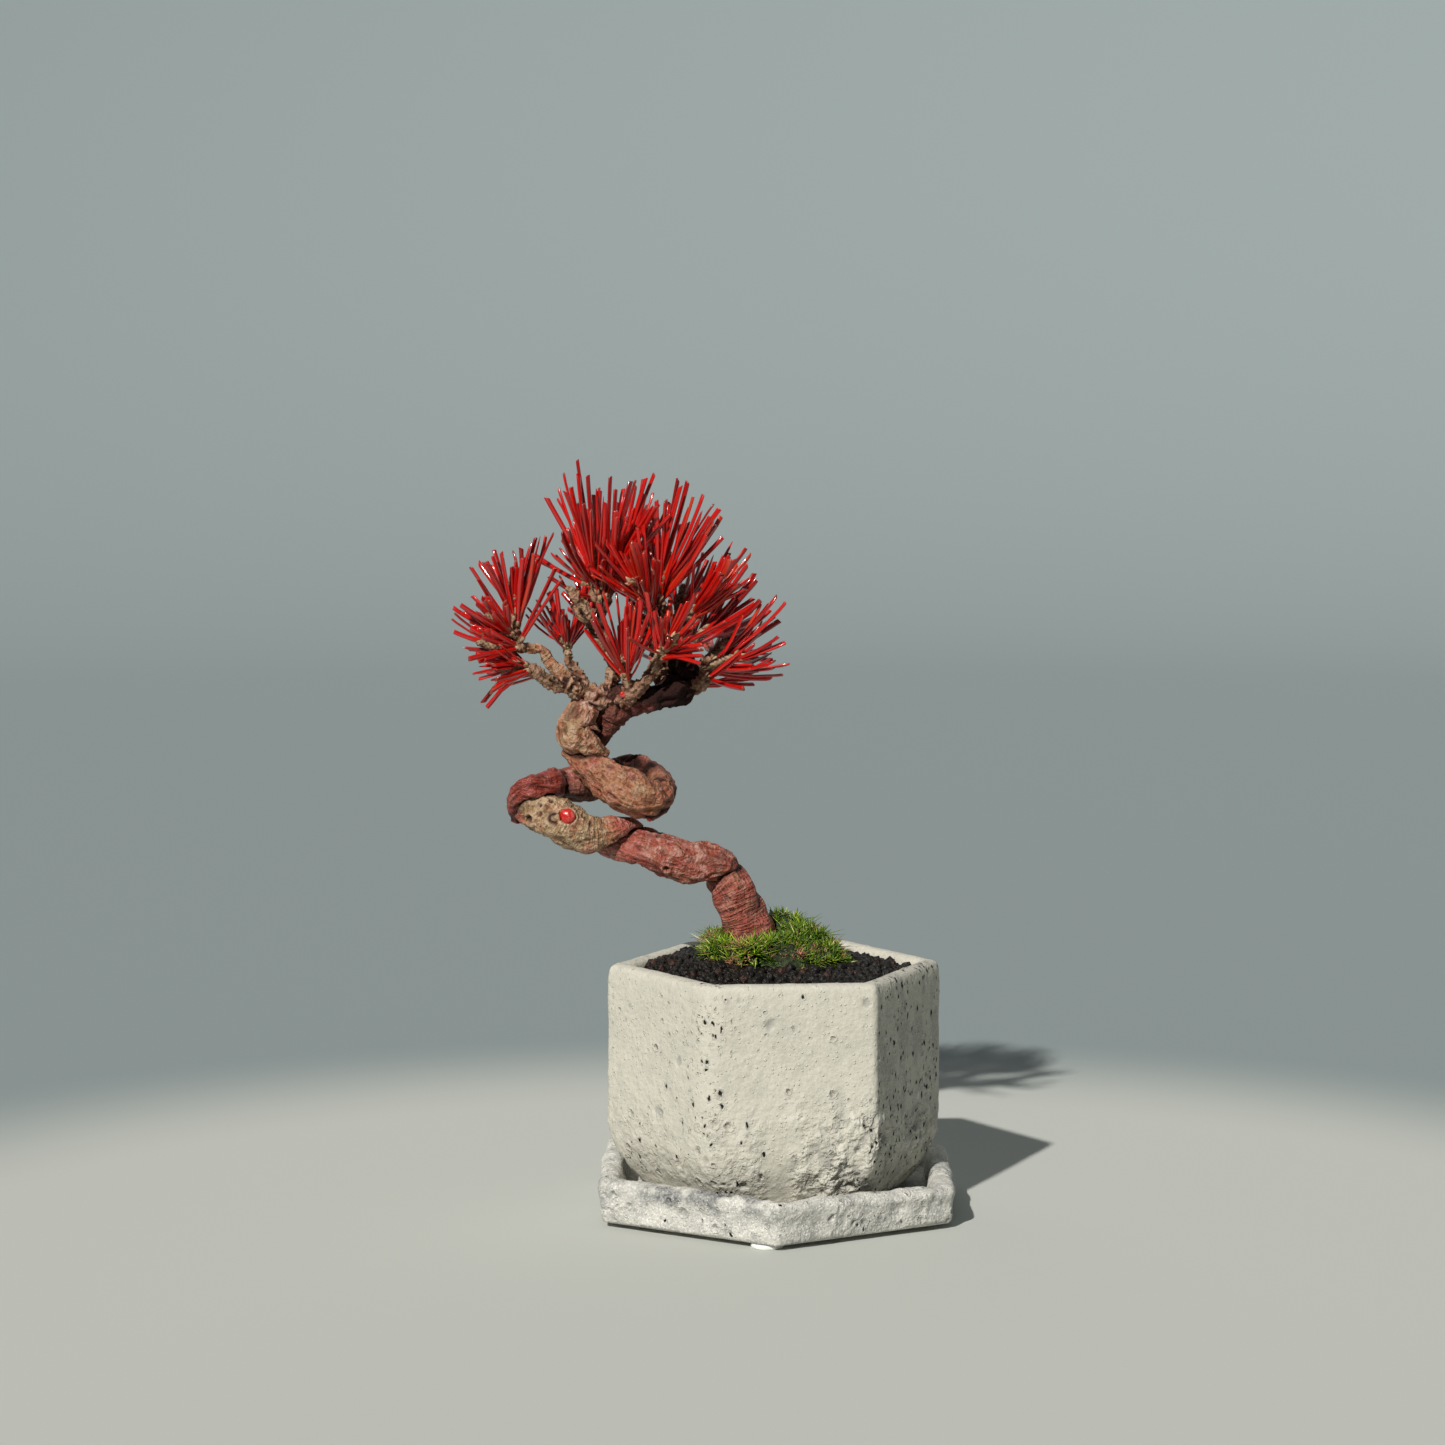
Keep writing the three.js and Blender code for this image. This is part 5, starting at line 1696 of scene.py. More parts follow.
COILS = [
    Limb(
        [(-8, 2, 62, 6), (-8, 2, 70, 7.6), (-8, 2, 78, 8.6), (-8, 2, 83, 8.8), (-9, 2, 88.5, 8.4),
         (-10.5, 2, 93.5, 7.3), (-12.5, 1, 98.5, 6.8), (-14.5, 1, 103, 6.7), (-17.5, 3, 106.5, 6),
         (-19.5, 5, 108.5, 4.8)],
        FOOT, opens=False,
    ),
    Limb(
        [(-16, 0, 110, 4.7), (-19.5, -2, 110.5, 5.7), (-25, -2.5, 110.8, 6.5), (-30.5, -3, 111.8, 6.6),
         (-37, -3, 114, 6.3), (-43.5, -2, 115.6, 5.8), (-49.5, 1, 116.2, 5.2), (-54.5, 4, 117.5, 4.6),
         (-59, 3, 119.5, 4)],
        PINK,
    ),
    Limb(
        [(-43, -1, 122.2, 0.9), (-46.1, -3, 123.2, 2), (-50.2, -4.5, 122.2, 3.5), (-54.6, -4, 120.8, 5),
         (-59.6, -4.5, 120.5, 6.1), (-65.3, -5, 122.6, 6.6), (-71, -4.3, 126, 6.3), (-75.5, -2.3, 127.2, 6.1),
         (-79.2, -0.8, 127.4, 5.2), (-81.6, 0, 127.4, 3.9)],
        OLIVE,
    ),
    Limb(
        [(-82, 0, 124.5, 2.2), (-83, -2, 128.6, 2.9), (-82.3, -4.2, 132.2, 3.3), (-79.6, -5.4, 134.8, 3.5),
         (-75.9, -4.8, 135.6, 3.6), (-72, -2, 135.4, 3.9), (-69.7, 2.4, 135, 4), (-68, 8, 134.4, 4.1),
         (-66, 13, 133, 4)],
        GLAZED,
    ),
    Limb(
        [(-69.5, 11, 133.6, 4.2), (-66.2, 6.6, 134.5, 5.4), (-62.6, 7, 134.6, 5.7), (-57, 11.5, 135.1, 5.2),
         (-51, 14.6, 137, 4.8), (-45, 14, 138, 4.5), (-40, 10, 137, 4.5), (-36.5, 5, 134.5, 4.3),
         (-36.5, 0, 132, 4.4)],
        DUSKY,
    ),
    Limb(
        [(-36.5, 2, 133.5, 3.8), (-38, -3, 131.5, 5.2), (-42, -6, 131.6, 6.6), (-47, -7, 133.6, 6.9),
         (-52, -6, 136.8, 6.2), (-57.5, -4, 140.2, 5), (-62.1, -2, 143.2, 3.8), (-66.3, 0, 145.6, 2.4)],
        TAN,
    ),
    Limb(
        [(-53.8, -3.4, 145.5, 1.4), (-56.6, -3.4, 146.9, 3.1), (-60, -3, 148.6, 5), (-63, -2, 151.1, 6.5),
         (-62.9, -1, 154.3, 6.2), (-61.5, -0.5, 157.7, 5.2), (-59.2, 1, 161.1, 4.2)],
        BEIGE,
    ),
    Limb(
        [(-58, 4, 145, 2.4), (-55, 5, 151.5, 3.4), (-52.6, 4, 156.5, 4.3), (-50.5, 2, 160.5, 4.6),
         (-51, 1, 164.5, 3.8)],
        UMBER,
    ),
]
BRANCHES = [
    Limb(
        [(-49, 2, 160.5, 3.8), (-43.5, 1, 161.5, 4.3), (-37, 1, 163, 3.9), (-32, 2, 165, 4.3),
         (-28, 4, 167.5, 3.8), (-29.5, 6, 173, 3.8), (-31, 7, 178, 3.2)],
        SHADED,
    ),
    Limb([(-53.5, 1, 163, 3.5), (-57.5, 0, 163.5, 3.5), (-61.5, -1, 165.5, 3.3),
         (-65, -2, 167.5, 2.8)], STEM, 0.4),
    Limb(
        [(-65, -2, 168, 2.4), (-69, -1, 171.5, 2.2), (-72, 0, 175, 1.9), (-74.5, 0, 178, 1.7),
         (-78.5, -1, 178.5, 1.6), (-82, -1, 179.5, 1.4)],
        BEIGE,
    ),
    Limb(
        [(-52, 1, 163.5, 3.5), (-52, 0, 168, 2.5), (-52, 0, 172.5, 1.9), (-52.5, 0, 176.5, 1.7),
         (-54, 1, 181, 1.6), (-56, 1, 185, 1.6), (-58.5, 1, 188, 1.9), (-61, 0, 191.5, 1.7),
         (-63.5, -1, 194.5, 1.4), (-65.5, -1, 197.5, 1.3)],
        STEM, 0.4,
    ),
]
STUBS = [
    Limb([(-36.6, -3.5, 130.5, 3), (-37.8, -5.3, 127.8, 2.3), (-39.6, -6.4, 126, 1.7)], TAN),
    Limb([(-58.5, 1, 187.5, 1.5), (-61.5, 2.6, 188.5, 1.3), (-64, 3, 192, 1)], BEIGE),
    Limb([(-68, -9.5, 125.5, 1.2), (-70, -10.6, 125.8, 1.6)], OLIVE),
]
KNOBS = [
    Limb([(-65.4, -7.6, 126.3, 2.3), (-65.7, -11, 126.6, 2.45)], GLAZED),
    Limb([(-48.5, -2, 164.2, 0.9), (-48.5, -5, 164.5, 0.95)], GLAZED),
    Limb([(-39.6, -6.4, 125.9, 1.1), (-40.3, -7, 125.2, 0.8)], GLAZED),
]
KNOB_OF_PART = [(-65, -8, 122, 2), (-65.2, -11.4, 122.3, 2.5)]


@dataclass(frozen=True)
class Spray:
    """A spray of needles on the end of its twig.

    Attributes:
        name: The part's node that it stands for, without its first word.
        needle: Length of a needle.
        aim: The way its shoot grows.
        twig: The last length of branch, as rows of x, y, z and radius.
        fan: Needles that make the outline seen from the front: degrees from upright, and reach.
        drop: Least and greatest length by which needles spring lower on the stem than the part's.
        added: How many needles are added between those of the outline.
        arch: How far a level needle hangs below a straight line, as a share of its length.
    """

    name: str
    needle: float
    aim: tuple[float, float, float]
    twig: Rows
    fan: list[tuple[float, float]]
    drop: tuple[float, float] = (1.5, 6)
    added: int = 5
    arch: float = 0.03


SPRAYS = [
    Spray("left_top", 20, (-0.1, 0, 1),
          [(-81.5, -1, 179, 1.4), (-82.3, 0, 183.5, 1.2), (-82.5, 0, 188, 1.2), (-82.3, 0, 191.5, 1.2)],
          [(-42, 18), (-32, 17), (-22, 19), (-13, 18), (-4, 17), (6, 19), (14, 21), (20, 18), (23, 24),
           (27, 26)], drop=(3, 12)),
    Spray("left_high", 18, (-0.7, -0.3, 0.6),
          [(-80.5, -1, 179, 1.4), (-82.5, -2, 181.5, 1.3), (-84.5, -3, 184, 1.2)],
          [(-67, 19), (-59, 17), (-48, 16), (-33, 12), (-29, 19), (37, 25)], drop=(2, 8)),
    Spray("left_mid", 17, (-0.95, -0.2, 0.2),
          [(-79.5, -1, 179, 1.4), (-82.5, -2, 178.8, 1.3), (-85.5, -2.5, 178.5, 1.2)],
          [(-125, 8), (-102, 11), (-76, 13), (-71, 17), (-60, 19), (-54, 19), (-39, 14)], drop=(2, 8)),
    Spray("left_low", 17, (-0.95, -0.15, -0.15),
          [(-64, -2, 167.5, 2.4), (-69, -2, 167, 1.9), (-73, -3, 169, 1.7), (-77, -3, 172, 1.5),
           (-80.5, -3, 174, 1.2)],
          [(-142, 18), (-133, 12), (-110, 12), (-100, 15), (-88, 13), (-78, 14), (-42, 12)], drop=(2, 8)),
    Spray("left_inner", 21, (-0.15, 0.4, 0.9),
          [(-61.5, 2, 165.5, 2.2), (-64, 6, 170.5, 1.8), (-66, 8, 174.5, 1.4), (-66, 9, 177.5, 1.2)],
          [(-44, 16), (-35, 15), (-19, 19), (-11, 20), (7, 12), (14, 21), (42, 11)], drop=(0, 3), added=0),
    Spray("left_back", 22, (-0.35, 0.75, 0.55),
          [(-52.5, 0, 176.5, 1.6), (-56, 7, 180, 1.4), (-59, 13, 184, 1.2)],
          [(-60, 14), (-20, 18), (25, 16)], drop=(1, 5), added=0),
    Spray("crown_left", 29, (-0.25, 0, 1),
          [(-56, 1, 185, 1.7), (-55.5, 3, 190.5, 1.4), (-56, 3, 195, 1.3), (-57, 3, 200, 1.2),
           (-56.5, 3, 204, 1.2)],
          [(-38, 27), (-33, 15), (-28, 27), (-22, 26), (-20, 31), (-12, 29), (-11, 34), (-6, 29), (-1, 24),
           (6, 23)], drop=(7, 16), added=2),
    Spray("crown_under", 22, (-0.5, 0.5, 0.7),
          [(-55.6, 3, 191.5, 1.3), (-58, 7, 195, 1.3), (-60, 11, 198, 1.2)],
          [(-75, 12), (-28, 16), (-6, 13), (41, 11)], drop=(2, 8), added=3),
    Spray("crown_mid", 28, (0.3, 0.15, 1),
          [(-55.4, 2.6, 189, 1.3), (-53.5, 6, 196, 1.3), (-52.5, 7, 201, 1.2), (-52, 7, 205, 1.2)],
          [(-2, 27), (7, 23), (12, 26), (16, 27), (20, 28), (25, 31), (30, 25), (37, 23)], drop=(5, 14),
           added=3),
    Spray("crown_right", 32, (0.3, 0, 1),
          [(-34.5, 5, 164, 3.5), (-36.5, 9, 171, 2.9), (-38, 9, 179, 2.7), (-38, 8, 186, 2.6),
           (-38, 7, 192.5, 2.4), (-38, 6.5, 197, 1.6)],
          [(-8, 26), (0, 28), (6, 28), (11, 35), (16, 35), (21, 28), (26, 33), (30, 29), (34, 32), (38, 32),
           (42, 30)], drop=(2, 10), added=6),
    Spray("crown_front", 25, (-0.5, -0.5, 0.7),
          [(-38, 7, 187, 1.9), (-40, 3, 190.5, 1.5), (-41, 0.5, 194, 1.2)],
          [(-66, 15), (-52, 18), (-42, 24), (-38, 27), (-14, 19), (12, 14)], drop=(2, 8)),
    Spray("crown_rear", 26, (-0.2, 0.7, 0.7),
          [(-38, 9, 179, 1.8), (-42, 14, 184, 1.5), (-45, 18, 189, 1.2)],
          [(-30, 20), (0, 23), (30, 21)], added=0),
    Spray("centre_low", 26, (0, -0.25, 1),
          [(-45.5, -4, 164.5, 1.8), (-47, -5, 168.5, 1.5), (-47.5, -5.5, 171.5, 1.2)],
          [(-27, 22), (-15, 26), (-8, 24), (2, 25), (12, 24), (22, 21)], drop=(2, 8), added=3),
    Spray("centre_front", 23, (0.35, -0.7, 0.5),
          [(-49, -1, 162, 2.8), (-45.5, -4, 165, 2.5), (-42, -6, 168, 2.2), (-40, -7, 171, 1.7),
           (-38, -8, 175, 1.4), (-35.5, -9, 178, 1.2)],
          [(-60, 12), (-15, 20), (7, 16), (28, 21), (40, 16), (63, 22), (72, 19), (100, 12)], drop=(1, 7),
           added=4),
    Spray("right_low", 25, (0.85, -0.25, 0.35),
          [(-29, 3, 165.5, 2.5), (-24.5, 1, 167, 1.9), (-22, 0, 170.5, 1.5), (-20.5, -1, 174, 1.2)],
          [(44, 29), (50, 30), (58, 25), (73, 24), (83, 19), (90, 24), (98, 16), (122, 12)], drop=(4, 11),
           arch=0.08),
    Spray("right_mid", 24, (0.65, 0.45, 0.6),
          [(-29, 6, 177, 2.2), (-25.5, 7, 180.5, 1.6), (-23, 8, 184.5, 1.2)],
          [(27, 18), (34, 24), (43, 23), (62, 20), (81, 16), (96, 14)], drop=(2, 8), arch=0.07),
    Spray("right_high", 27, (0.7, -0.1, 0.7),
          [(-30, 7, 176, 2.7), (-29.5, 6, 181.5, 2), (-28, 5, 186.5, 1.5), (-27, 5, 191, 1.2)],
          [(32, 24), (37, 20), (43, 25), (48, 28), (54, 29), (60, 30), (64, 22)], drop=(2, 9), arch=0.06),
    Spray("right_top", 27, (0.15, 0.6, 0.75),
          [(-29.5, 6.5, 180, 1.8), (-31, 11, 185, 1.5), (-31.5, 15, 190, 1.2)],
          [(-4, 17), (15, 20), (25, 26), (32, 27)], added=0),
    Spray("right_rear", 24, (0.55, 0.65, 0.45),
          [(-28.5, 4, 169, 2), (-24, 11, 172.5, 1.6), (-20, 16, 176, 1.2)],
          [(35, 20), (60, 22), (88, 18)], added=0, arch=0.06),
    Spray("rear_low", 24, (0, 0.8, 0.5),
          [(-33, 2, 164.5, 2.2), (-34, 9, 168, 1.7), (-35, 15, 172, 1.4), (-36, 18, 175, 1.2)],
          [(-35, 17), (5, 20), (40, 16)], added=0),
]


@dataclass(frozen=True)
class Knot:
    """A ring-shaped scar where a branch once grew.

    Attributes:
        middle: Its middle on the wood's surface.
        radius: Radius of its ring.
        height: How far the ring stands out.
        hollow: How far the middle sinks.
    """

    middle: tuple[float, float, float]
    radius: float
    height: float = 0.45
    hollow: float = 0.5


KNOTS = [
    Knot((-45, 9.8, 140), 4.6, height=0.7, hollow=3.2),
    Knot((-77.5, -7.4, 125.2), 1.9, height=0.9, hollow=1.3),
    Knot((-74.3, -9, 127), 1.3, height=0.7, hollow=1.0),
    Knot((-74.3, -8.4, 129.8), 1, height=0.6, hollow=0.9),
    Knot((-71, -7.6, 131), 1.3, hollow=1),
    Knot((-75.3, -6.4, 121.3), 1),
    Knot((-65.7, -11, 126.6), 3, height=1, hollow=0),
    Knot((-34.8, -9, 109.6), 1.4, height=0.8, hollow=1),
    Knot((-66.6, -5, 168.9), 1.7, height=0.6, hollow=1.8),
    Knot((-75.2, -2.2, 179.4), 1.3, height=0.4, hollow=0.5),
]


@dataclass(frozen=True)
class Patch:
    """A place where the bark's tones differ from the rest of its limb.

    Attributes:
        middle: Its middle on the wood's surface.
        radius: How far it reaches.
        tones: The tones that it turns to, by their names in Bark.
    """

    middle: tuple[float, float, float]
    radius: float
    tones: dict[str, float]


PATCHES = [
    Patch((-47, -5, 122.4), 11, {"redness": 0.85, "paleness": 0.45}),
    Patch((-59, -7, 114.5), 5.5, {"redness": 0.7}),
    Patch((-82.5, -3, 124.5), 5.5, {"redness": 0.85, "paleness": 0.5}),
    # Painted shade: the four patches below blacken the hollow inside the coil's ring, which lies in shade.
    Patch((-50, 8, 140), 4.5, {"dark_tone_and_shade": 1.0}),
    Patch((-46, 9.5, 139.5), 7.5, {"dark_tone_and_shade": 1.0, "wetness": 0.0}),
    Patch((-41.5, 7, 139), 6, {"dark_tone_and_shade": 1.0}),
    Patch((-52, 10, 140), 5, {"dark_tone_and_shade": 0.9}),
    Patch((-37.5, 4, 136), 6, {"dark_tone_and_shade": 0.05, "redness": 0.4, "paleness": 0.5}),
    # Partly pale bloom, partly a painted highlight on the middle of the lowest coil.
    Patch((-41, -9, 117.5), 8, {"paleness": 1.0}),
    Patch((-27, -9, 114.5), 6, {"paleness": 0.9}),
    Patch((-19.5, -8, 113), 4.5, {"dark_tone_and_shade": 0.45}),
    Patch((-46, -7, 112), 8, {"redness": 1.0, "paleness": 0.1}),
    Patch((-61, 6, 129), 7, {"dark_tone_and_shade": 0.6}),
    Patch((-65.5, 3, 139), 6, {"dark_tone_and_shade": 0.1, "redness": 0.85, "paleness": 0.7}),
    Patch((-66.5, 2, 133.5), 5, {"dark_tone_and_shade": 0.9}),
    Patch((-59, -8, 140), 6, {"redness": 0.65, "paleness": 0.5}),
    Patch((-46, -13, 134), 6, {"redness": 0.35, "paleness": 0.4}),
    Patch((-37, -6, 133), 6, {"redness": 0.6, "paleness": 0.6}),
    Patch((-57, -6, 155), 4.5, {"redness": 0.6, "dark_tone_and_shade": 0.45}),
    Patch((-66, -6, 152.5), 6, {"redness": 0.15, "paleness": 0.8}),
    Patch((-58.5, -3.5, 160.5), 7, {"redness": 0.6, "paleness": 1.0}),
    Patch((-68, -2, 154), 5, {"redness": 0.4, "paleness": 1.0}),
    Patch((-43, -2, 158.5), 6, {"redness": 1.0, "dark_tone_and_shade": 0.45, "wetness": 0.6}),
    Patch((-51, -2, 165), 7, {"redness": 0.5}),
    Patch((-7, -4, 97.5), 5, {"dark_tone_and_shade": 0.5}),
    Patch((-8, -6, 90), 8, {"redness": 0.95, "paleness": 0.25}),
]


@dataclass
class Wood:
    """All the wood: the trunk's coils, branches, stubs and twigs, as closed tubes that run together."""

    ridge: float = 0.065
    cross: float = 0.04
    twist: float = 0.3
    fade_from: float = 86
    fade_to: float = 97
    twig_spacing: float = 0.38
    set_back: float = 2.5
    dome_reach: float = 0.6875
    crease_spacing: float = 0.8
    crease_reach: float = 12
    knob_sides: int = 28
    finish: BarkFinish = BarkFinish("pine_bark")
    knob_finish: ResinFinish = ResinFinish("sealed_wound")

    def drawn_back(self, twig: Rows) -> Rows:
        """Draws a twig's end back, so that the shoot starts below the lowest needles.

        Args:
            twig: The twig's rows.

        Returns:
            The rows with the last one moved.
        """
        before, last = (np.array(row[:3]) for row in twig[-2:])
        end = last - unit(last - before) * self.set_back
        return [*twig[:-1], (*end, twig[-1][3])]

    def twigs(self) -> list[Limb]:
        """Returns the sprays' twigs as limbs."""
        ends = {"opens": False, "closes": False}
        return [Limb(self.drawn_back(spray.twig), TWIG, self.twig_spacing, **ends) for spray in SPRAYS]

    def path(self, limb: Limb, spacing: float) -> tuple[Array, Array]:
        """Walks a limb's middle line in even steps.

        Args:
            limb: The limb.
            spacing: Length of a step.

        Returns:
            Its points and radii.
        """
        rows = np.array(limb.rows, float)
        points, places = even_steps(rows[:, :3], spacing)
        return points, np.interp(places, np.arange(len(rows)), rows[:, 3])

    def rounded(self, limb: Limb) -> tuple[Array, Array]:
        """Walks a limb and adds a dome at each rounded end.

        A dome's rings stand at r · reach · sin a past the end, with radius r cos a, for a up to 84 degrees.

        Args:
            limb: The limb.

        Returns:
            Points and radii of its rings.
        """
        points, radii = self.path(limb, limb.spacing)
        turn = np.radians(np.linspace(14, 84, 6))
        for wanted in (limb.closes, limb.opens):
            if wanted:
                out = unit(points[-1] - points[-2])
                dome = points[-1] + out * (radii[-1] * self.dome_reach * np.sin(turn))[:, None]
                points = np.vstack([points, dome])
                radii = np.concatenate([radii, radii[-1] * np.cos(turn)])
            points, radii = points[::-1], radii[::-1]
        return points, radii

    def bark_height(self, bark: Bark, grain: Array, lengths: Array, seed: int) -> tuple[Array, Array]:
        """Works out the bark's relief in millimetres.

        Lumps and crumples are noise, cracks run where another noise crosses zero, plates come from the gaps
        between random cells, and scars are the product of two cosines that wind round the wood both ways.

        Args:
            bark: The stretch's look.
            grain: Coordinates that follow the wood, shape (rings, sides, 3).
            lengths: Length along the wood, shape (rings, 1).
            seed: Which random relief.

        Returns:
            Heights, shape (rings, sides), and the part of them that is finer than the lumps.
        """
        cracks = bell(layered(grain * [1, 1, 0.5], 4.5, 3, seed + 10), 0, 0.13)
        crumples = 1 - 3.2 * np.abs(layered(grain * [1, 1, 0.8], 2.6, 2, seed + 20))
        nearest, second, pick = scattered(grain * [1, 1, 0.6], 2.1, seed + 30)
        plates = eased(second - nearest, 0.02, 0.45) * (0.35 + 0.65 * pick) - 0.45
        turn = np.arctan2(grain[..., 1] - grain[..., 1].mean(), grain[..., 0] - grain[..., 0].mean())
        wander = 1.5 * noise(grain, 3, seed + 35)
        rows = np.cos(2 * turn + 1.7 * lengths + wander) * np.cos(3 * turn - 1.9 * lengths - wander)
        fine = bark.crinkle * crumples - bark.cracks * (cracks - 0.3) + bark.scales * plates
        fine = fine + bark.scars * (eased(rows, 0.1, 0.9) - 0.25)
        return fine + bark.lumps * layered(grain * [1, 1, 0.75], 5, 2, seed), fine

    @staticmethod
    def knot_height(points: Array) -> tuple[Array, Array]:
        """Adds up the knots' rings and hollows.

        A ring is height · exp(-((d - r) / 0.45)²) and a hollow -hollow · (1 - d/r) for a distance d.

        Args:
            points: Places on the wood, shape (rings, sides, 3).

        Returns:
            Heights in millimetres, and the mask of the hollows.
        """
        total = np.zeros(points.shape[:-1])
        sunk = np.zeros(points.shape[:-1])
        for knot in KNOTS:
            away = distance(points, knot.middle)
            hollow = eased(1 - away / knot.radius, 0, 0.7)
            total += knot.height * bell(away, knot.radius, 0.45) - knot.hollow * hollow
            sunk = np.maximum(sunk, hollow * min(0.9, 0.6 * knot.hollow))
        return total, sunk

    @staticmethod
    def tones(bark: Bark, surface: Array) -> dict[str, Array]:
        """Spreads a bark's looks over a surface and turns them to each patch's own near its middle.

        Args:
            bark: The stretch's look.
            surface: Places on it, shape (rings, sides, 3).

        Returns:
            The looks that the finish reads, by name, each of shape (rings, sides).
        """
        names = ("redness", "paleness", "wetness", "dark_tone_and_shade", "ringed", "furrowed")
        tones = {name: np.full(surface.shape[:-1], getattr(bark, name)) for name in names}
        rough = surface + 1.5 * noise(surface, 3, 90)[..., None]
        for patch in PATCHES:
            weight = eased(1 - distance(rough, patch.middle) / patch.radius, 0, 0.8)
            for name, tone in patch.tones.items():
                tones[name] = tones[name] + (tone - tones[name]) * weight
        return tones

    def limb_skin(self, limb: Limb, neighbours: list[tuple[Array, Array]], seed: int) -> Skin:
        """Sweeps a limb's outline along its middle line and works the bark into it.

        The outline's radius is r · (1 + ridge sin(3a + twist s) + cross sin(5a - 2 twist s + 1)) for the
        angle a and the length s, and the bark's own height is added to it.

        Args:
            limb: The limb.
            neighbours: Points and radii of the limbs beside it, whose nearness paints shade into the creases
                between them.
            seed: Which random relief.

        Returns:
            The closed skin with the bark's marks.
        """
        path, radii = self.rounded(limb)
        lengths = travelled(path)[:, None]
        sides = max(10, round(2 * np.pi * radii.max() / limb.spacing))
        angle = np.linspace(0, 2 * np.pi, sides, endpoint=False)
        outward = rays(*frames_along(path), circle(sides))
        ridges = self.ridge * np.sin(3 * angle + self.twist * lengths)
        ridges = ridges + self.cross * np.sin(5 * angle - 2 * self.twist * lengths + 1)
        radius = radii[:, None] * (1 + eased(path[:, 2:], self.fade_from, self.fade_to) * ridges)
        surface = path[:, None] + outward * radius[..., None]
        full = np.maximum(radii, radii.max() * 0.5)[:, None]
        grain = raised(full[..., None] * circle(sides), lengths) + 31.0 * seed
        height, fine = self.bark_height(limb.bark, grain, lengths, seed)
        height = height * np.minimum(1, 0.35 + full / 6)
        knots, sunk = self.knot_height(surface)
        fade = np.minimum(1, radii / radii.max() / 0.5)[:, None]
        surface = surface + outward * ((height + knots) * fade)[..., None]
        # Painted shade: the bark is darkened where another limb lies close, and in the knots' hollows.
        crease = np.zeros(radius.shape)
        for points, sizes in neighbours:
            gap = np.linalg.norm(surface[:, :, None] - points, axis=-1) - sizes
            crease = np.maximum(crease, np.exp(-np.maximum(gap.min(-1), 0) / 0.7))
        marks = {"grain": grain, "relief": relief_mark(fine + knots, 0.8)}
        marks["crease"] = np.clip(1.3 * crease**1.5 + sunk, 0, 1)
        return capped_skin(surface, marks | self.tones(limb.bark, surface))

    def skins(self, limbs: list[Limb], seed: int) -> Skin:
        """Builds several limbs into one skin, each with the painted shade of the creases that the other limbs
        make.

        Args:
            limbs: The limbs.
            seed: Which random relief the first one has.

        Returns:
            The skin of them all.
        """
        everything = [*COILS, *BRANCHES, *STUBS, *self.twigs()]
        paths = [self.path(limb, self.crease_spacing) for limb in everything]
        built = []
        for number, limb in enumerate(limbs):
            rows = np.array(limb.rows)[:, :3]
            low, high = rows.min(0) - self.crease_reach, rows.max(0) + self.crease_reach
            near = []
            for other, (points, sizes) in zip(everything, paths):
                close = ((points > low) & (points < high)).all(axis=1)
                if other.rows != limb.rows and close.any():
                    near.append((points[close], sizes[close]))
            built.append(self.limb_skin(limb, near, seed + 50 * number))
        return Skin.joined(built)

    def knob_skin(self, knob: Limb) -> Skin:
        """Builds a sealed wound as a smooth round-ended plug.

        Args:
            knob: Its middle line and radii.

        Returns:
            The closed skin.
        """
        path, radii = self.rounded(knob)
        outward = rays(*frames_along(path), circle(self.knob_sides))
        surface = path[:, None] + outward * radii[:, None, None]
        return capped_skin(surface + outward * (0.25 * layered(surface, 2.0, 2, 77))[..., None])

    def build(self, bench: Workbench) -> None:
        """Makes the trunk's, the branches' and the knob's pieces.

        Args:
            bench: Makes the pieces.
        """
        material = self.finish.material()
        bench.piece("trunk_wood", self.skins([*COILS, *STUBS], 1000), material, ("tree",))
        branches = self.skins([*BRANCHES, *self.twigs()], 3000)
        bench.piece("branch_wood", branches, material, ("tree",))
        knobs = Skin.joined([self.knob_skin(knob) for knob in KNOBS])
        bench.piece("sealed_knobs", knobs, self.knob_finish.material(), ("tree",))


class Draws:
    """The part's own stream of even random numbers, by the 16807 rule, so that needles land alike."""

    def __init__(self, seed: int) -> None:
        """Starts the stream at a seed."""
        self.state = seed

    def next(self) -> float:
        """Returns the next number from 0 to 1."""
        self.state = self.state * 16807 % 2147483647
        return self.state / 2147483647


@dataclass
class Shoot:
    """The shoot that carries a spray: its path, and where the needles spring from."""

    spring: Array
    aim: Array
    neck: Array
    reach: float
    path: Array
    radii: Array


def stretches(points: Array, radii: Array) -> list[tuple]:
    """Returns a path as straight stretches: start, end and the greater radius of its two ends."""
    return list(zip(points[:-1], points[1:], np.maximum(radii[:-1], radii[1:])))


def segment_distance(start: Array, end: Array, starts: Array, ends: Array) -> Array:
    """Measures the shortest distances between one straight stretch and many others.

    The nearest points solve two linear equations for the shares along both stretches, each clamped to 0..1.

    Args:
        start: Where the stretch starts.
        end: Where it ends.
        starts: Where the others start, shape (n, 3).
        ends: Where they end, shape (n, 3).

    Returns:
        Distances, shape (n,).
    """
    along = end - start
    other = ends - starts
    apart = start - starts
    a = along @ along
    b = other @ along
    c = (other * other).sum(1)
    d = apart @ along
    e = (other * apart).sum(1)
    solvable = a * c - b * b
    safe = np.where(solvable < 1e-9, 1, solvable)
    on_first = np.where(solvable < 1e-9, 0, np.clip((b * e - c * d) / safe, 0, 1))
    on_second = np.clip((b * on_first + e) / c, 0, 1)
    settled = np.clip((b * on_second - d) / a, 0, 1)
    return np.linalg.norm(apart + along * settled[:, None] - other * on_second[:, None], axis=1)


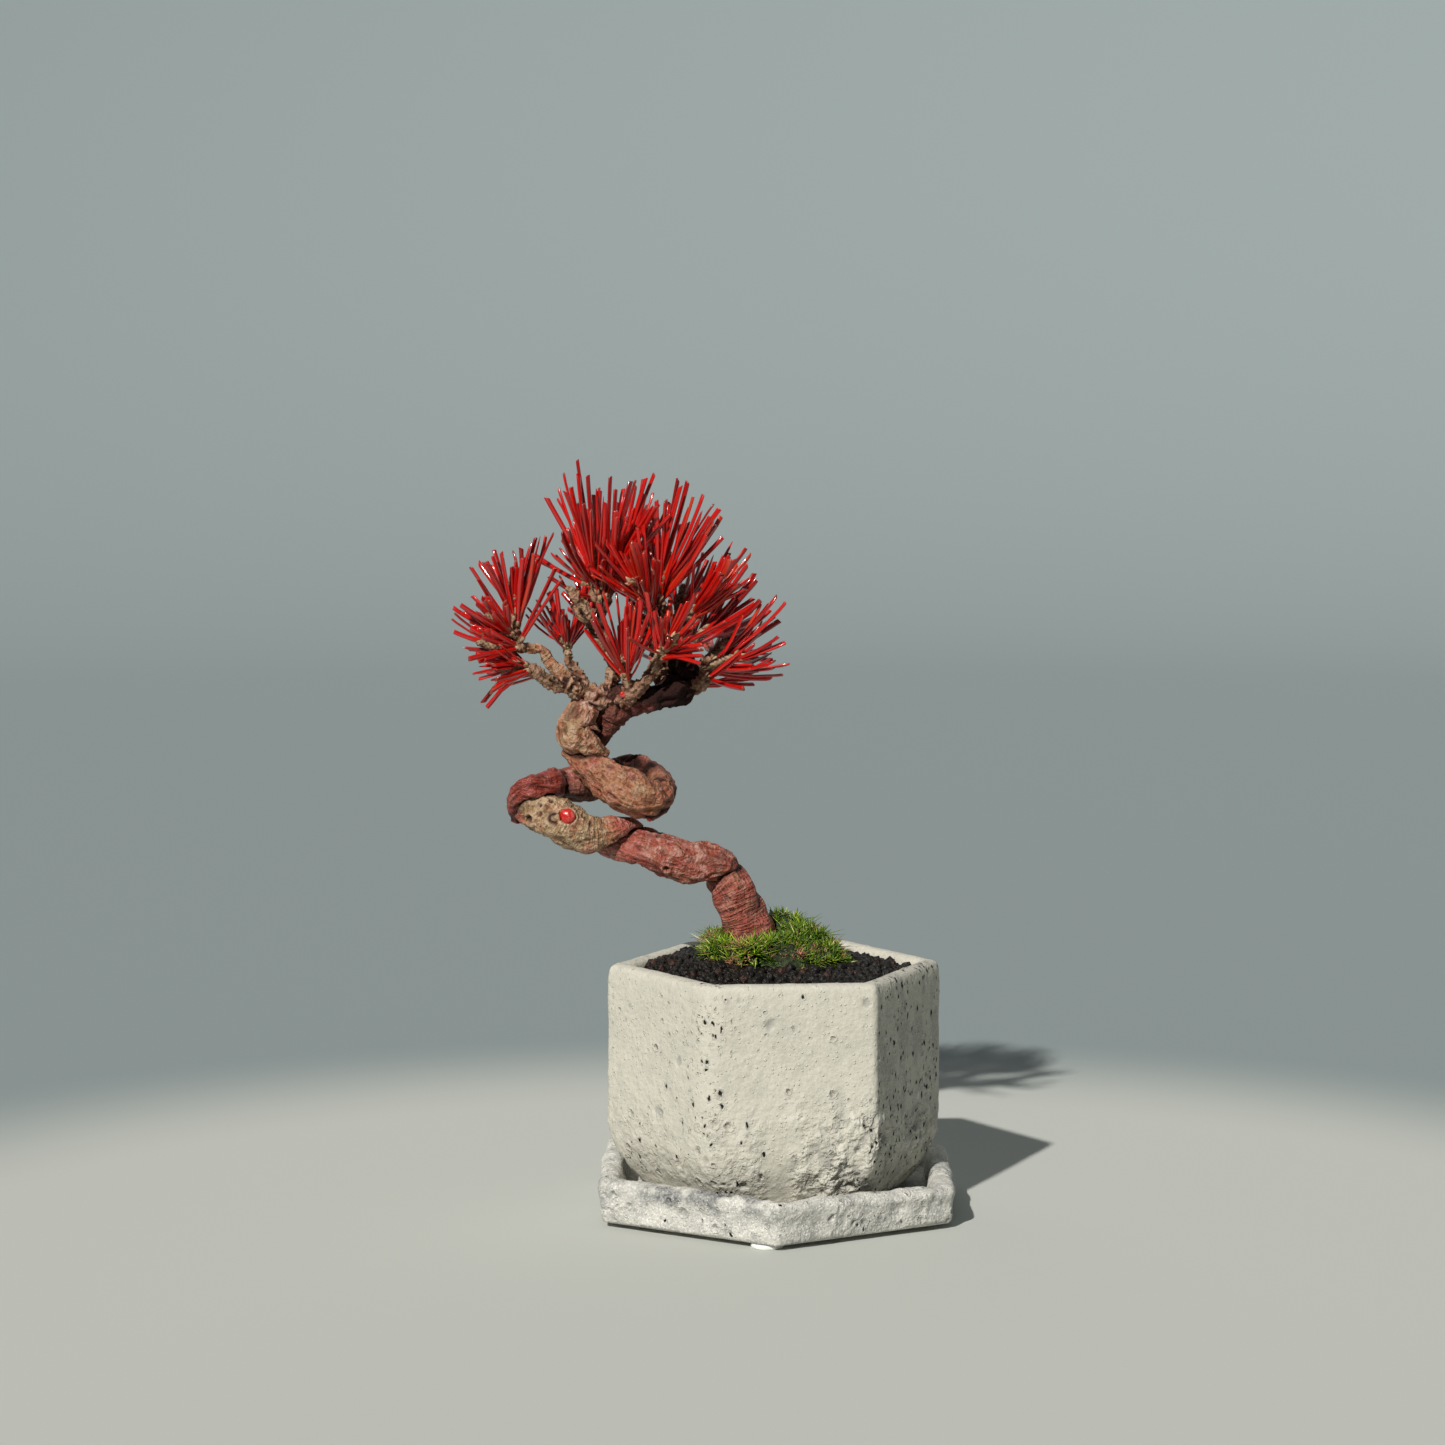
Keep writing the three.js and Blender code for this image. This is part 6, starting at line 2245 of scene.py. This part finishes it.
@dataclass
class Needles:
    """The sprays: where every needle stands, and the skins of needles, sheaths, shoots and buds.

    The layout repeats the part's own rule, so each needle of the outline has a finer one with its tip in the
    same place. The roots sit lower on the stem, the filling needles stand closer to it, some needles are
    added between those of the outline, and a share of all gets the partner that it grew with.
    """

    wood: Wood
    seed: int = 47
    gap: float = 0.3
    radius: float = 0.8
    bare: float = 0.18
    clearance: float = 0.35
    lowest: float = 0.06
    highest: float = 0.94
    shoot_length: float = 10
    shoot_neck: float = 0.15
    shoot_radii: tuple = (1.2, 1.2, 1.5, 1.1)
    sunk: float = 0.8
    per_spray: int = 16
    most_tries: int = 160
    widest_lean: float = math.radians(82)
    fill_lean: float = math.radians(72)
    fill_upright: float = 0.02
    fill_shortest: float = 0.74
    fill_longest: float = 0.94
    fill_lift: float = 0.25
    fan_depth: float = 0.8
    fan_least_depth: float = 2
    fan_shares: tuple = (1, -1, 0.75, -0.75, 0.5, -0.5, 0.25, -0.25, 0)
    partner_share: float = 0.55
    partner_gap: float = 0.55
    pointed_share: float = 0.12
    fan_lean_kept: float = 0.72
    root_step: float = 0.5
    root_offset: float = 0.7
    budded: tuple = ("crown_front", "centre_front", "right_high", "left_top", "crown_left", "right_low")
    width: float = 0.8
    thickness: float = 0.74
    scale_length: float = 1.5
    scale_spacing: float = 0.4
    shoot_sides: int = 20
    finish: NeedleFinish = NeedleFinish("glossy_needle")
    shoot_finish: ShootFinish = ShootFinish("papery_scales")

    def shoot_of(self, spray: Spray) -> Shoot:
        """Grows a spray's shoot: it starts square on its twig's end and turns to its own aim.

        Args:
            spray: The spray.

        Returns:
            Its shoot.
        """
        rows = np.array(self.wood.drawn_back(spray.twig), float)
        path, _ = even_steps(rows[:, :3], 7)
        out = unit(path[-1] - path[-2])
        aim = unit(np.array(spray.aim, float))
        start = path[-1] + out * self.gap
        neck = start + out * self.shoot_length * self.shoot_neck
        reach = self.shoot_length * (1 - self.shoot_neck)
        points = np.array([start, neck, neck + aim * reach * 0.5, neck + aim * reach])
        spring = np.array(spray.twig[-1][:3], float)
        return Shoot(spring, aim, neck, reach, points, np.array(self.shoot_radii))

    def depth_left(self, spray: Spray, reach: float) -> float:
        """Returns the depth that a needle's length leaves beside its reach as seen: √(length² - reach²)."""
        return math.sqrt(max(spray.needle**2 - reach**2, self.fan_least_depth**2))

    @staticmethod
    def seen_at(shoot: Shoot, bearing: float, reach: float, depth: Array | float) -> Array:
        """Places a needle's tip by what the front view shows of it, and by its unseen depth.

        Args:
            shoot: The shoot.
            bearing: Degrees from upright towards +X.
            reach: How far the tip is from the spring point, seen from the front.
            depth: How far behind it the tip is, one number or several.

        Returns:
            The tip, or a tip for each depth.
        """
        turn = math.radians(bearing)
        seen = np.broadcast_arrays(reach * math.sin(turn), depth, reach * math.cos(turn))
        return shoot.spring + np.stack(seen, axis=-1)

    def fill_tip(self, spray: Spray, shoot: Shoot, order: int, draws: Draws) -> Array:
        """Places a tip on the golden turn round the shoot, leaning out by a random share and lifted.

        Args:
            spray: The spray.
            shoot: Its shoot.
            order: The needle's number.
            draws: The source of every random number.

        Returns:
            The tip.
        """
        side = unit(np.cross([0.0, 1.0, 0.0], shoot.aim))
        across = np.cross(shoot.aim, side)
        turn = GOLDEN_TURN * order
        lean = self.fill_lean * math.sqrt(self.fill_upright + (1 - self.fill_upright) * draws.next())
        share = self.fill_shortest + (self.fill_longest - self.fill_shortest) * draws.next()
        heading = shoot.aim * math.cos(lean)
        heading = heading + (side * math.cos(turn) + across * math.sin(turn)) * math.sin(lean)
        return shoot.neck + unit(heading + np.array([0, 0, self.fill_lift])) * spray.needle * share

    def rooted(self, shoot: Shoot, tip: Array) -> tuple[Array, Array]:
        """Finds where a needle leaves the shoot: the more it leans the lower, on the side it points to.

        Args:
            shoot: The shoot.
            tip: The needle's tip.

        Returns:
            The needle's root and tip.
        """
        lean = math.acos(np.clip(unit(tip - shoot.neck) @ shoot.aim, -1, 1))
        share = np.clip(1 - lean / self.widest_lean, self.lowest, self.highest)
        on_axis = shoot.neck + shoot.aim * shoot.reach * share
        return on_axis + across_of(tip - on_axis, shoot.aim) * self.sunk, tip

    def fits(self, needle: tuple[Array, Array], taken: list[tuple]) -> bool:
        """Tells whether a needle's bare length keeps clear of the stretches that are in place.

        Args:
            needle: Its root and tip.
            taken: Stretches, each with start, end and radius.

        Returns:
            True if there is room for it.
        """
        root, tip = needle
        starts, ends, sizes = (np.array(column) for column in zip(*taken))
        apart = segment_distance(root + (tip - root) * self.bare, tip, starts, ends)
        return bool((apart > sizes + self.radius + self.clearance).all())

    def plan(self) -> list[tuple[Array, int]]:
        """Lays out all sprays as the part does, so that none comes near the wood or another spray.

        A needle of the outline takes the first depth that fits, to the front and to the back in turn.

        Returns:
            For each spray its needles' roots and tips, shape (needles, 2, 3), and how many make its outline.
        """
        draws = Draws(self.seed)
        shoots = [self.shoot_of(spray) for spray in SPRAYS]
        stems = [stretches(shoot.path, shoot.radii) for shoot in shoots]
        limbs = [*COILS, *BRANCHES, Limb(KNOB_OF_PART, GLAZED), *STUBS, *self.wood.twigs()]
        grown = [stretch for limb in limbs for stretch in stretches(*self.wood.path(limb, 3))]
        plans = []
        for number, (spray, shoot) in enumerate(zip(SPRAYS, shoots)):
            others = stems[:number] + stems[number + 1 :]
            taken = grown + [stretch for stem in others for stretch in stem]
            own = []
            for order, (bearing, reach) in enumerate(spray.fan):
                sign = self.fan_depth if order % 2 == 0 else -self.fan_depth
                depths = np.array(self.fan_shares) * self.depth_left(spray, reach) * sign
                choices = [self.rooted(shoot, tip) for tip in self.seen_at(shoot, bearing, reach, depths)]
                own += [choice for choice in choices if self.fits(choice, taken)][:1]
            outline = len(own)
            for order in range(self.most_tries):
                if len(own) >= self.per_spray:
                    break
                choice = self.rooted(shoot, self.fill_tip(spray, shoot, order, draws))
                if self.fits(choice, taken):
                    own.append(choice)
            grown += [(root, tip, self.radius) for root, tip in own]
            plans.append((np.array(own), outline))
        return plans

    def thickened(self, spray: Spray, own: Array, outline: int, random: Random) -> Array:
        """Draws the filling needles closer to the shoot, and adds needles between those of the outline.

        A filling needle keeps a share of its lean and of its length. An added needle's bearing and reach lie
        between two neighbours of the spray's fan, and its depth is a random share of what its length leaves.

        Args:
            spray: The spray.
            own: Its needles' roots and tips, the outline's first.
            outline: How many make the outline.
            random: The source of every random number.

        Returns:
            Roots and tips of all, shape (needles, 2, 3).
        """
        shoot = self.shoot_of(spray)
        needles = list(own[:outline])
        for _, tip in own[outline:]:
            offset = tip - shoot.neck
            length = np.linalg.norm(offset) * random.uniform(0.7, 1.05)
            lean = math.acos(np.clip(unit(offset) @ shoot.aim, -1, 1)) * self.fan_lean_kept
            heading = shoot.aim * math.cos(lean) + across_of(offset, shoot.aim) * math.sin(lean)
            needles.append(self.rooted(shoot, shoot.neck + length * heading))
        fan = np.array(sorted(spray.fan))
        for _ in range(spray.added):
            place = random.uniform(0, len(fan) - 1)
            bearing, reach = (np.interp(place, np.arange(len(fan)), column) for column in fan.T)
            reach = reach * random.uniform(0.6, 1.0)
            depth = self.depth_left(spray, reach) * random.uniform(-0.9, 0.9)
            needles.append(self.rooted(shoot, self.seen_at(shoot, bearing, reach, depth)))
        return self.lowered(spray, np.array(needles), random)

    def lowered(self, spray: Spray, needles: Array, random: Random) -> Array:
        """Moves each needle's root back along the shoot and its twig, and leaves the tip where it is.

        Args:
            spray: The spray.
            needles: Its needles' roots and tips, shape (needles, 2, 3).
            random: The source of every random number.

        Returns:
            Roots and tips, the roots on the stem's skin on the side that the needle points to.
        """
        shoot = self.shoot_of(spray)
        twig = np.array(self.wood.drawn_back(spray.twig), float)
        rows = np.vstack([twig, np.column_stack([shoot.path, shoot.radii])[1:]])
        points, places = even_steps(rows[:, :3], self.root_step)
        sizes = np.interp(places, np.arange(len(rows)), rows[:, 3])
        nearest = np.linalg.norm(needles[:, :1] - points[None], axis=-1).argmin(axis=1)
        drop = np.round(random.uniform(*spray.drop, len(needles)) / self.root_step).astype(int)
        place = np.clip(nearest - drop, 1, len(points) - 2)
        heading = unit(points[place + 1] - points[place - 1])
        outward = across_of(needles[:, 1] - points[place], heading)
        roots = points[place] + outward * (sizes[place] * self.root_offset)[:, None]
        return np.stack([roots, needles[:, 1]], axis=1)

    def paired(self, own: Array, random: Random) -> tuple[Array, Array]:
        """Gives some needles the partner that they grew with, swung away by a few degrees.

        Args:
            own: Roots and tips, shape (needles, 2, 3).
            random: The source of every random number.

        Returns:
            Roots and tips of all, and for each the direction away from its partner.
        """
        root, tip = own[:, 0], own[:, 1]
        length = np.linalg.norm(tip - root, axis=1)
        along = unit(tip - root)
        away = unit(np.cross(along, random.normal(size=along.shape)))
        picked = random.uniform(size=len(own)) < self.partner_share
        turn = np.radians(random.uniform(2.5, 8, len(own)))[:, None]
        beside = root + away * self.partner_gap
        swung = along * np.cos(turn) + away * np.sin(turn)
        partner = beside + swung * (length * random.uniform(0.8, 1.0, len(own)))[:, None]
        everything = np.concatenate([own, np.stack([beside, partner], axis=1)[picked]])
        outer = np.concatenate([-away, away[picked]])
        return everything, across_of(outer, unit(everything[:, 1] - everything[:, 0]))

    def needle_skin(self, needles: Array, outer: Array, arch: float, random: Random) -> Skin:
        """Builds a spray's needles.

        A needle's middle line is root + (tip - root) t + bend · 4t(1 - t), its section is flat on the side
        that faced its partner and round on the other, and its end is cut off at a slant. The bend holds a
        random part and one that hangs down, which is greatest for a level needle.

        Args:
            needles: Roots and tips, shape (needles, 2, 3).
            outer: The side of each that is round, shape (needles, 3).
            arch: How far a level needle hangs down, as a share of its length.
            random: The source of every random number.

        Returns:
            The skin, with marks along, pick and grain.
        """
        roots, reach = needles[:, 0], needles[:, 1] - needles[:, 0]
        along = unit(reach)
        side = np.cross(outer, along)
        count = len(roots)
        length = np.linalg.norm(reach, axis=1)
        bend = outer * random.normal(0, 0.022, (count, 1)) + side * random.normal(0, 0.018, (count, 1))
        hanging = (np.array([0, 0, -1.0]) + along * along[:, 2:]) * np.clip(0.6 + 2 * along[:, 2:], 0, 1)
        bend = bend + hanging * arch * random.uniform(0.2, 1.5, (count, 1))
        steps = np.array([0, 0.08, 0.3, 0.6, 0.9, 0.993, 1.0])
        centres = roots[:, None] + reach[:, None] * steps[:, None]
        centres = centres + (bend * length[:, None])[:, None] * (4 * steps * (1 - steps))[:, None]
        pointed = random.uniform(size=(count, 1)) < self.pointed_share
        blunt = np.array([0.6, 0.82, 1.0, 1.0, 1.0, 1.0, 0.9])
        profile = np.where(pointed, np.array([0.6, 0.82, 1.0, 0.95, 0.6, 0.2, 0.1]), blunt)
        profile = profile * random.uniform(0.85, 1.12, (count, 1))
        size = np.array([self.width, self.thickness])
        lift = np.array([0.38, 0.72, 0.72, 0.38, -0.2, -0.32, -0.32, -0.2])
        sides = len(lift)
        angle = np.linspace(0, 2 * np.pi, sides, endpoint=False) + np.pi / sides
        section = np.stack([np.cos(angle), lift], axis=1)
        skin = bundle_skin(centres, side, outer, section, profile[..., None] * size)
        cut = np.zeros((count, len(steps) * sides + 2))
        slant = random.uniform(-0.9, 0.9, (count, 1)) * ~pointed
        ends = slice((len(steps) - 2) * sides, len(steps) * sides)
        cut[:, ends] = slant * np.tile(section[:, 0], 2) * self.width
        skin.points = skin.points + np.repeat(along, cut.shape[1], axis=0) * cut.reshape(-1, 1)
        across = np.concatenate([np.tile(section, (len(steps), 1)), np.zeros((2, 2))]) * size
        shift = 3.1 * np.arange(count)[:, None, None]
        lengthways = skin.marks["along"] * np.repeat(length, cut.shape[1])
        skin.marks["grain"] = np.column_stack([(across + shift).reshape(-1, 2), lengthways])
        return skin

    def sheath_skin(self, needles: Array) -> Skin:
        """Wraps each needle's root in a short papery sheath that narrows to a torn edge.

        Args:
            needles: Roots and tips, shape (needles, 2, 3).

        Returns:
            The sheaths, with marks along, pick and relief.
        """
        along = unit(needles[:, 1] - needles[:, 0])
        side = unit(np.cross(along, [0.3, 0.5, 0.8]))
        steps = np.array([-0.3, 0.6, 1.6, 1.7])[:, None]
        centres = needles[:, :1] + along[:, None] * steps
        widths = np.broadcast_to(np.array([0.6, 0.74, 0.68, 0.45])[:, None], (len(needles), 4, 1))
        skin = bundle_skin(centres, side, np.cross(along, side), circle(6), widths)
        skin.marks["relief"] = 0.35 + 0.4 * skin.marks["along"]
        return skin

    def shoot_skin(self, shoot: Shoot, seed: int) -> Skin:
        """Sweeps a shoot whose scales overlap like tiles: a sawtooth along it, shifted round it.

        Args:
            shoot: The shoot.
            seed: Which random relief.

        Returns:
            The closed skin with marks along, pick and relief.
        """
        path, places = even_steps(shoot.path, self.scale_spacing)
        radii = np.interp(places, np.arange(len(shoot.radii)), shoot.radii)
        turn = np.radians(np.linspace(15, 80, 4))
        path = np.vstack([path, path[-1] + shoot.aim * (radii[-1] * 1.6 * np.sin(turn))[:, None]])
        radii = np.concatenate([radii, radii[-1] * np.cos(turn)])
        angle = np.linspace(0, 2 * np.pi, self.shoot_sides, endpoint=False)
        outward = rays(*frames_along(path), circle(self.shoot_sides))
        lengths = np.arange(len(path))[:, None] * self.scale_spacing
        tile = np.mod(lengths / self.scale_length + 0.5 * np.floor(angle * 5 / np.pi), 1)
        height = 0.55 * (0.5 - tile) + 0.2 * noise(path[:, None] + outward, 1.2, seed)
        surface = path[:, None] + outward * (radii[:, None] + height)[..., None]
        marks = {
            "along": np.broadcast_to(np.linspace(0, 1, len(path))[:, None], height.shape),
            "pick": np.full(height.shape, 0.12),
            "relief": relief_mark(height, 0.25),
        }
        return capped_skin(surface, marks)

    def bud_skin(self, shoot: Shoot, random: Random) -> Skin:
        """Sets a few small pointed buds round a shoot's tip.

        Args:
            shoot: The shoot.
            random: The source of every random number.

        Returns:
            The buds, with marks along, pick and relief.
        """
        leans = np.array([0.1, 0.7, 0.9, 0.8])[:, None]
        sizes = np.array([1.25, 0.9, 0.8, 0.8])
        turn = (random.uniform(0, 2 * np.pi) + np.arange(len(sizes)) * GOLDEN_TURN)[:, None]
        side = unit(np.cross(shoot.aim, [0.2, 1.0, 0.3]))
        out = side * np.cos(turn) + np.cross(shoot.aim, side) * np.sin(turn)
        heading = unit(shoot.aim + out * leans)
        size = (random.uniform(0.7, 1.1, len(sizes)) * sizes)[:, None]
        steps = np.array([0, 0.8, 1.7, 2.6, 3.3]) * size
        widths = np.array([0.55, 0.85, 0.8, 0.45, 0.1]) * size
        centres = (shoot.path[-1] + out * 0.7)[:, None] + heading[:, None] * steps[..., None]
        across = unit(np.cross(heading, [0.1, 0.2, 1.0]))
        skin = bundle_skin(centres, across, np.cross(heading, across), circle(8), widths[..., None])
        skin.marks["relief"] = 0.45 + 0.5 * skin.marks["along"]
        skin.marks["pick"] = np.clip(skin.marks["pick"] + 0.5, 0, 1)
        return skin

    def build(self, bench: Workbench) -> None:
        """Makes a piece of needles for each spray, and one of all shoots, sheaths and buds.

        Args:
            bench: Makes the pieces.
        """
        random = np.random.default_rng(self.seed)
        material = self.finish.material()
        scales = []
        total = 0
        for number, (spray, (own, outline)) in enumerate(zip(SPRAYS, self.plan())):
            needles, outer = self.paired(self.thickened(spray, own, outline, random), random)
            skin = self.needle_skin(needles, outer, spray.arch, random)
            total += len(needles)
            bench.piece(f"needles_{spray.name}", skin, material, (f"spray_{spray.name}",))
            shoot = self.shoot_of(spray)
            scales += [self.sheath_skin(needles), self.shoot_skin(shoot, 700 + number)]
            if spray.name in self.budded:
                scales.append(self.bud_skin(shoot, random))
        nodes = tuple(f"spray_{spray.name}" for spray in SPRAYS)
        bench.piece("shoots_and_buds", Skin.joined(scales), self.shoot_finish.material(), nodes)
        LOG.info("%d needles", total)


@dataclass
class Studio:
    """The floor, the lights and the camera, which stands where the photograph was taken from.

    Attributes:
        distance: From the saucer's axis to the camera, in metres.
        height: Of the camera above the table, in metres.
        pitch: Degrees that it looks down.
        yaw: Degrees that it is turned to the left.
        focal_pixels: Focal length in pixels of a square picture that is picture_pixels wide.
    """

    distance: float = 1.192
    height: float = 0.2793
    pitch: float = 5.95
    yaw: float = 0.83
    focal_pixels: float = 3800
    picture_pixels: float = 1445
    sensor: float = 36
    key_bearing: float = -26
    key_height: float = 38
    key_width: float = 1.5
    key_strength: float = 4.05
    key_tone: tuple = (1.0, 0.97, 0.92)
    fill_bearing: float = 195
    fill_height: float = 45
    fill_width: float = 60
    fill_strength: float = 0.4
    sky: tuple = (0.8, 0.92, 1.0, 1)
    sky_strength: float = 0.1
    floor_sides: int = 96
    floor_tone: tuple = (0.51, 0.525, 0.49, 1)
    backdrop_tone: tuple = (0.238, 0.283, 0.29, 1)
    floor_fades: tuple[float, float] = (0.28, 0.42)
    pale_middle: tuple[float, float] = (0, -0.12)

    def camera(self, axis: Array) -> None:
        """Makes the camera.

        Args:
            axis: The saucer's axis, in metres.
        """
        data = bpy.data.cameras.new("view")
        data.sensor_width = self.sensor
        data.lens = self.focal_pixels * self.sensor / self.picture_pixels
        data.clip_end = 50
        camera = placed("view", data)
        camera.location = (axis[0], axis[1] - self.distance, self.height)
        camera.rotation_euler = (math.radians(90 - self.pitch), 0, math.radians(self.yaw))
        bpy.context.scene.camera = camera

    def far_light(self, name: str, bearing: float, height: float, width: float, strength: float) -> None:
        """Makes a far light that shines towards the plant.

        Args:
            name: Its name.
            bearing: Where it stands, in degrees.
            height: Degrees that it stands above the floor.
            width: Its size as seen from the plant, in degrees.
            strength: Light that it throws on a surface that faces it, in watts per square metre.
        """
        data = bpy.data.lights.new(name, "SUN")
        data.energy = strength
        data.angle = math.radians(width)
        data.color = self.key_tone
        lamp = placed(name, data)
        lamp.rotation_euler = (math.radians(90 - height), 0, math.radians(bearing))

    def lights(self) -> None:
        """Makes the key light, the wide soft light from behind and the even sky."""
        self.far_light("key", self.key_bearing, self.key_height, self.key_width, self.key_strength)
        self.far_light("fill", self.fill_bearing, self.fill_height, self.fill_width, self.fill_strength)
        world = bpy.data.worlds.new("sky")
        world.use_nodes = True
        background = world.node_tree.nodes["Background"]
        background.inputs["Color"].default_value = self.sky
        background.inputs["Strength"].default_value = self.sky_strength
        bpy.context.scene.world = world
        bpy.context.scene.view_settings.view_transform = "Standard"

    def floor(self, axis: Array) -> None:
        """Makes a pale floor that curves up into a far backdrop all round: a profile turned about the axis.

        Args:
            axis: The saucer's axis, in metres.
        """
        turn = np.radians(np.linspace(0, 90, 24))
        radius = np.concatenate([[0.3, 0.8, 1.6], 1.9 + 1.3 * np.sin(turn), [3.2]])
        height = np.concatenate([np.zeros(3), 1.3 * (1 - np.cos(turn)), [1.7]])
        grid = raised(circle(self.floor_sides) * radius[:, None, None], height[:, None]).reshape(-1, 3)
        points = np.vstack([grid, [[0, 0, 0]]]) + [axis[0], axis[1], 0]
        step = np.arange(self.floor_sides)
        middle = np.full(self.floor_sides, len(grid))
        fan = np.stack([middle, step, (step + 1) % self.floor_sides], axis=1)
        quads = lattice_quads(len(radius), self.floor_sides)[:, ::-1]
        mesh = bpy.data.meshes.new("floor")
        mesh.from_pydata(points.tolist(), [], [*quads.tolist(), *fan.tolist()])
        mesh.shade_smooth()
        material, graph = Finish("plain_floor").start()
        own = graph.add("ShaderNodeTexCoord").outputs["Object"]
        centre = (axis[0] + self.pale_middle[0], axis[1] + self.pale_middle[1], 0)
        away = graph.add("ShaderNodeVectorMath", {0: own, 1: centre}, operation="DISTANCE").outputs["Value"]
        tone = graph.mix(graph.rise(away, *self.floor_fades), self.floor_tone, self.backdrop_tone)
        graph.surface({"Base Color": tone, "Roughness": 0.9})
        mesh.materials.append(material)
        floor = placed("floor", mesh)
        floor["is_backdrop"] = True

    def build(self, axis: Array) -> None:
        """Sets up the whole studio.

        Args:
            axis: The saucer's axis, in metres.
        """
        self.camera(axis)
        self.lights()
        self.floor(axis)


def saucer_axis(pads: Pads) -> Array:
    """Finds the saucer's axis in the part's frame from the middle of the first foot pad.

    Args:
        pads: The pads' sizes.

    Returns:
        The axis at table height, in metres.
    """
    low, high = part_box("foot_pad_1")
    middle = (np.array(low) + np.array(high)) / 2
    out = plan_direction(pads.bearings[0]) * pads.from_axis * METRE
    return np.array([middle[0] - out[0], middle[1] - out[1], 0])


def main() -> None:
    """Builds every piece in order."""
    logging.basicConfig(level=logging.INFO, format="%(name)s: %(message)s")
    pads = Pads()
    bench = Workbench(saucer_axis(pads))
    Studio().build(bench.axis)
    pot = Pot()
    moss = Moss()
    wood = Wood()
    for maker in (pads, Saucer(), pot, moss, Soil(pot, moss), wood, Needles(wood)):
        maker.build(bench)
    boxes = {"cad": CAD_BOX, "visual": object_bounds()}
    for name, box in boxes.items():
        LOG.info("%s box: %s", name, [[round(value, 4) for value in corner] for corner in box])


if __name__ == "__main__":
    main()
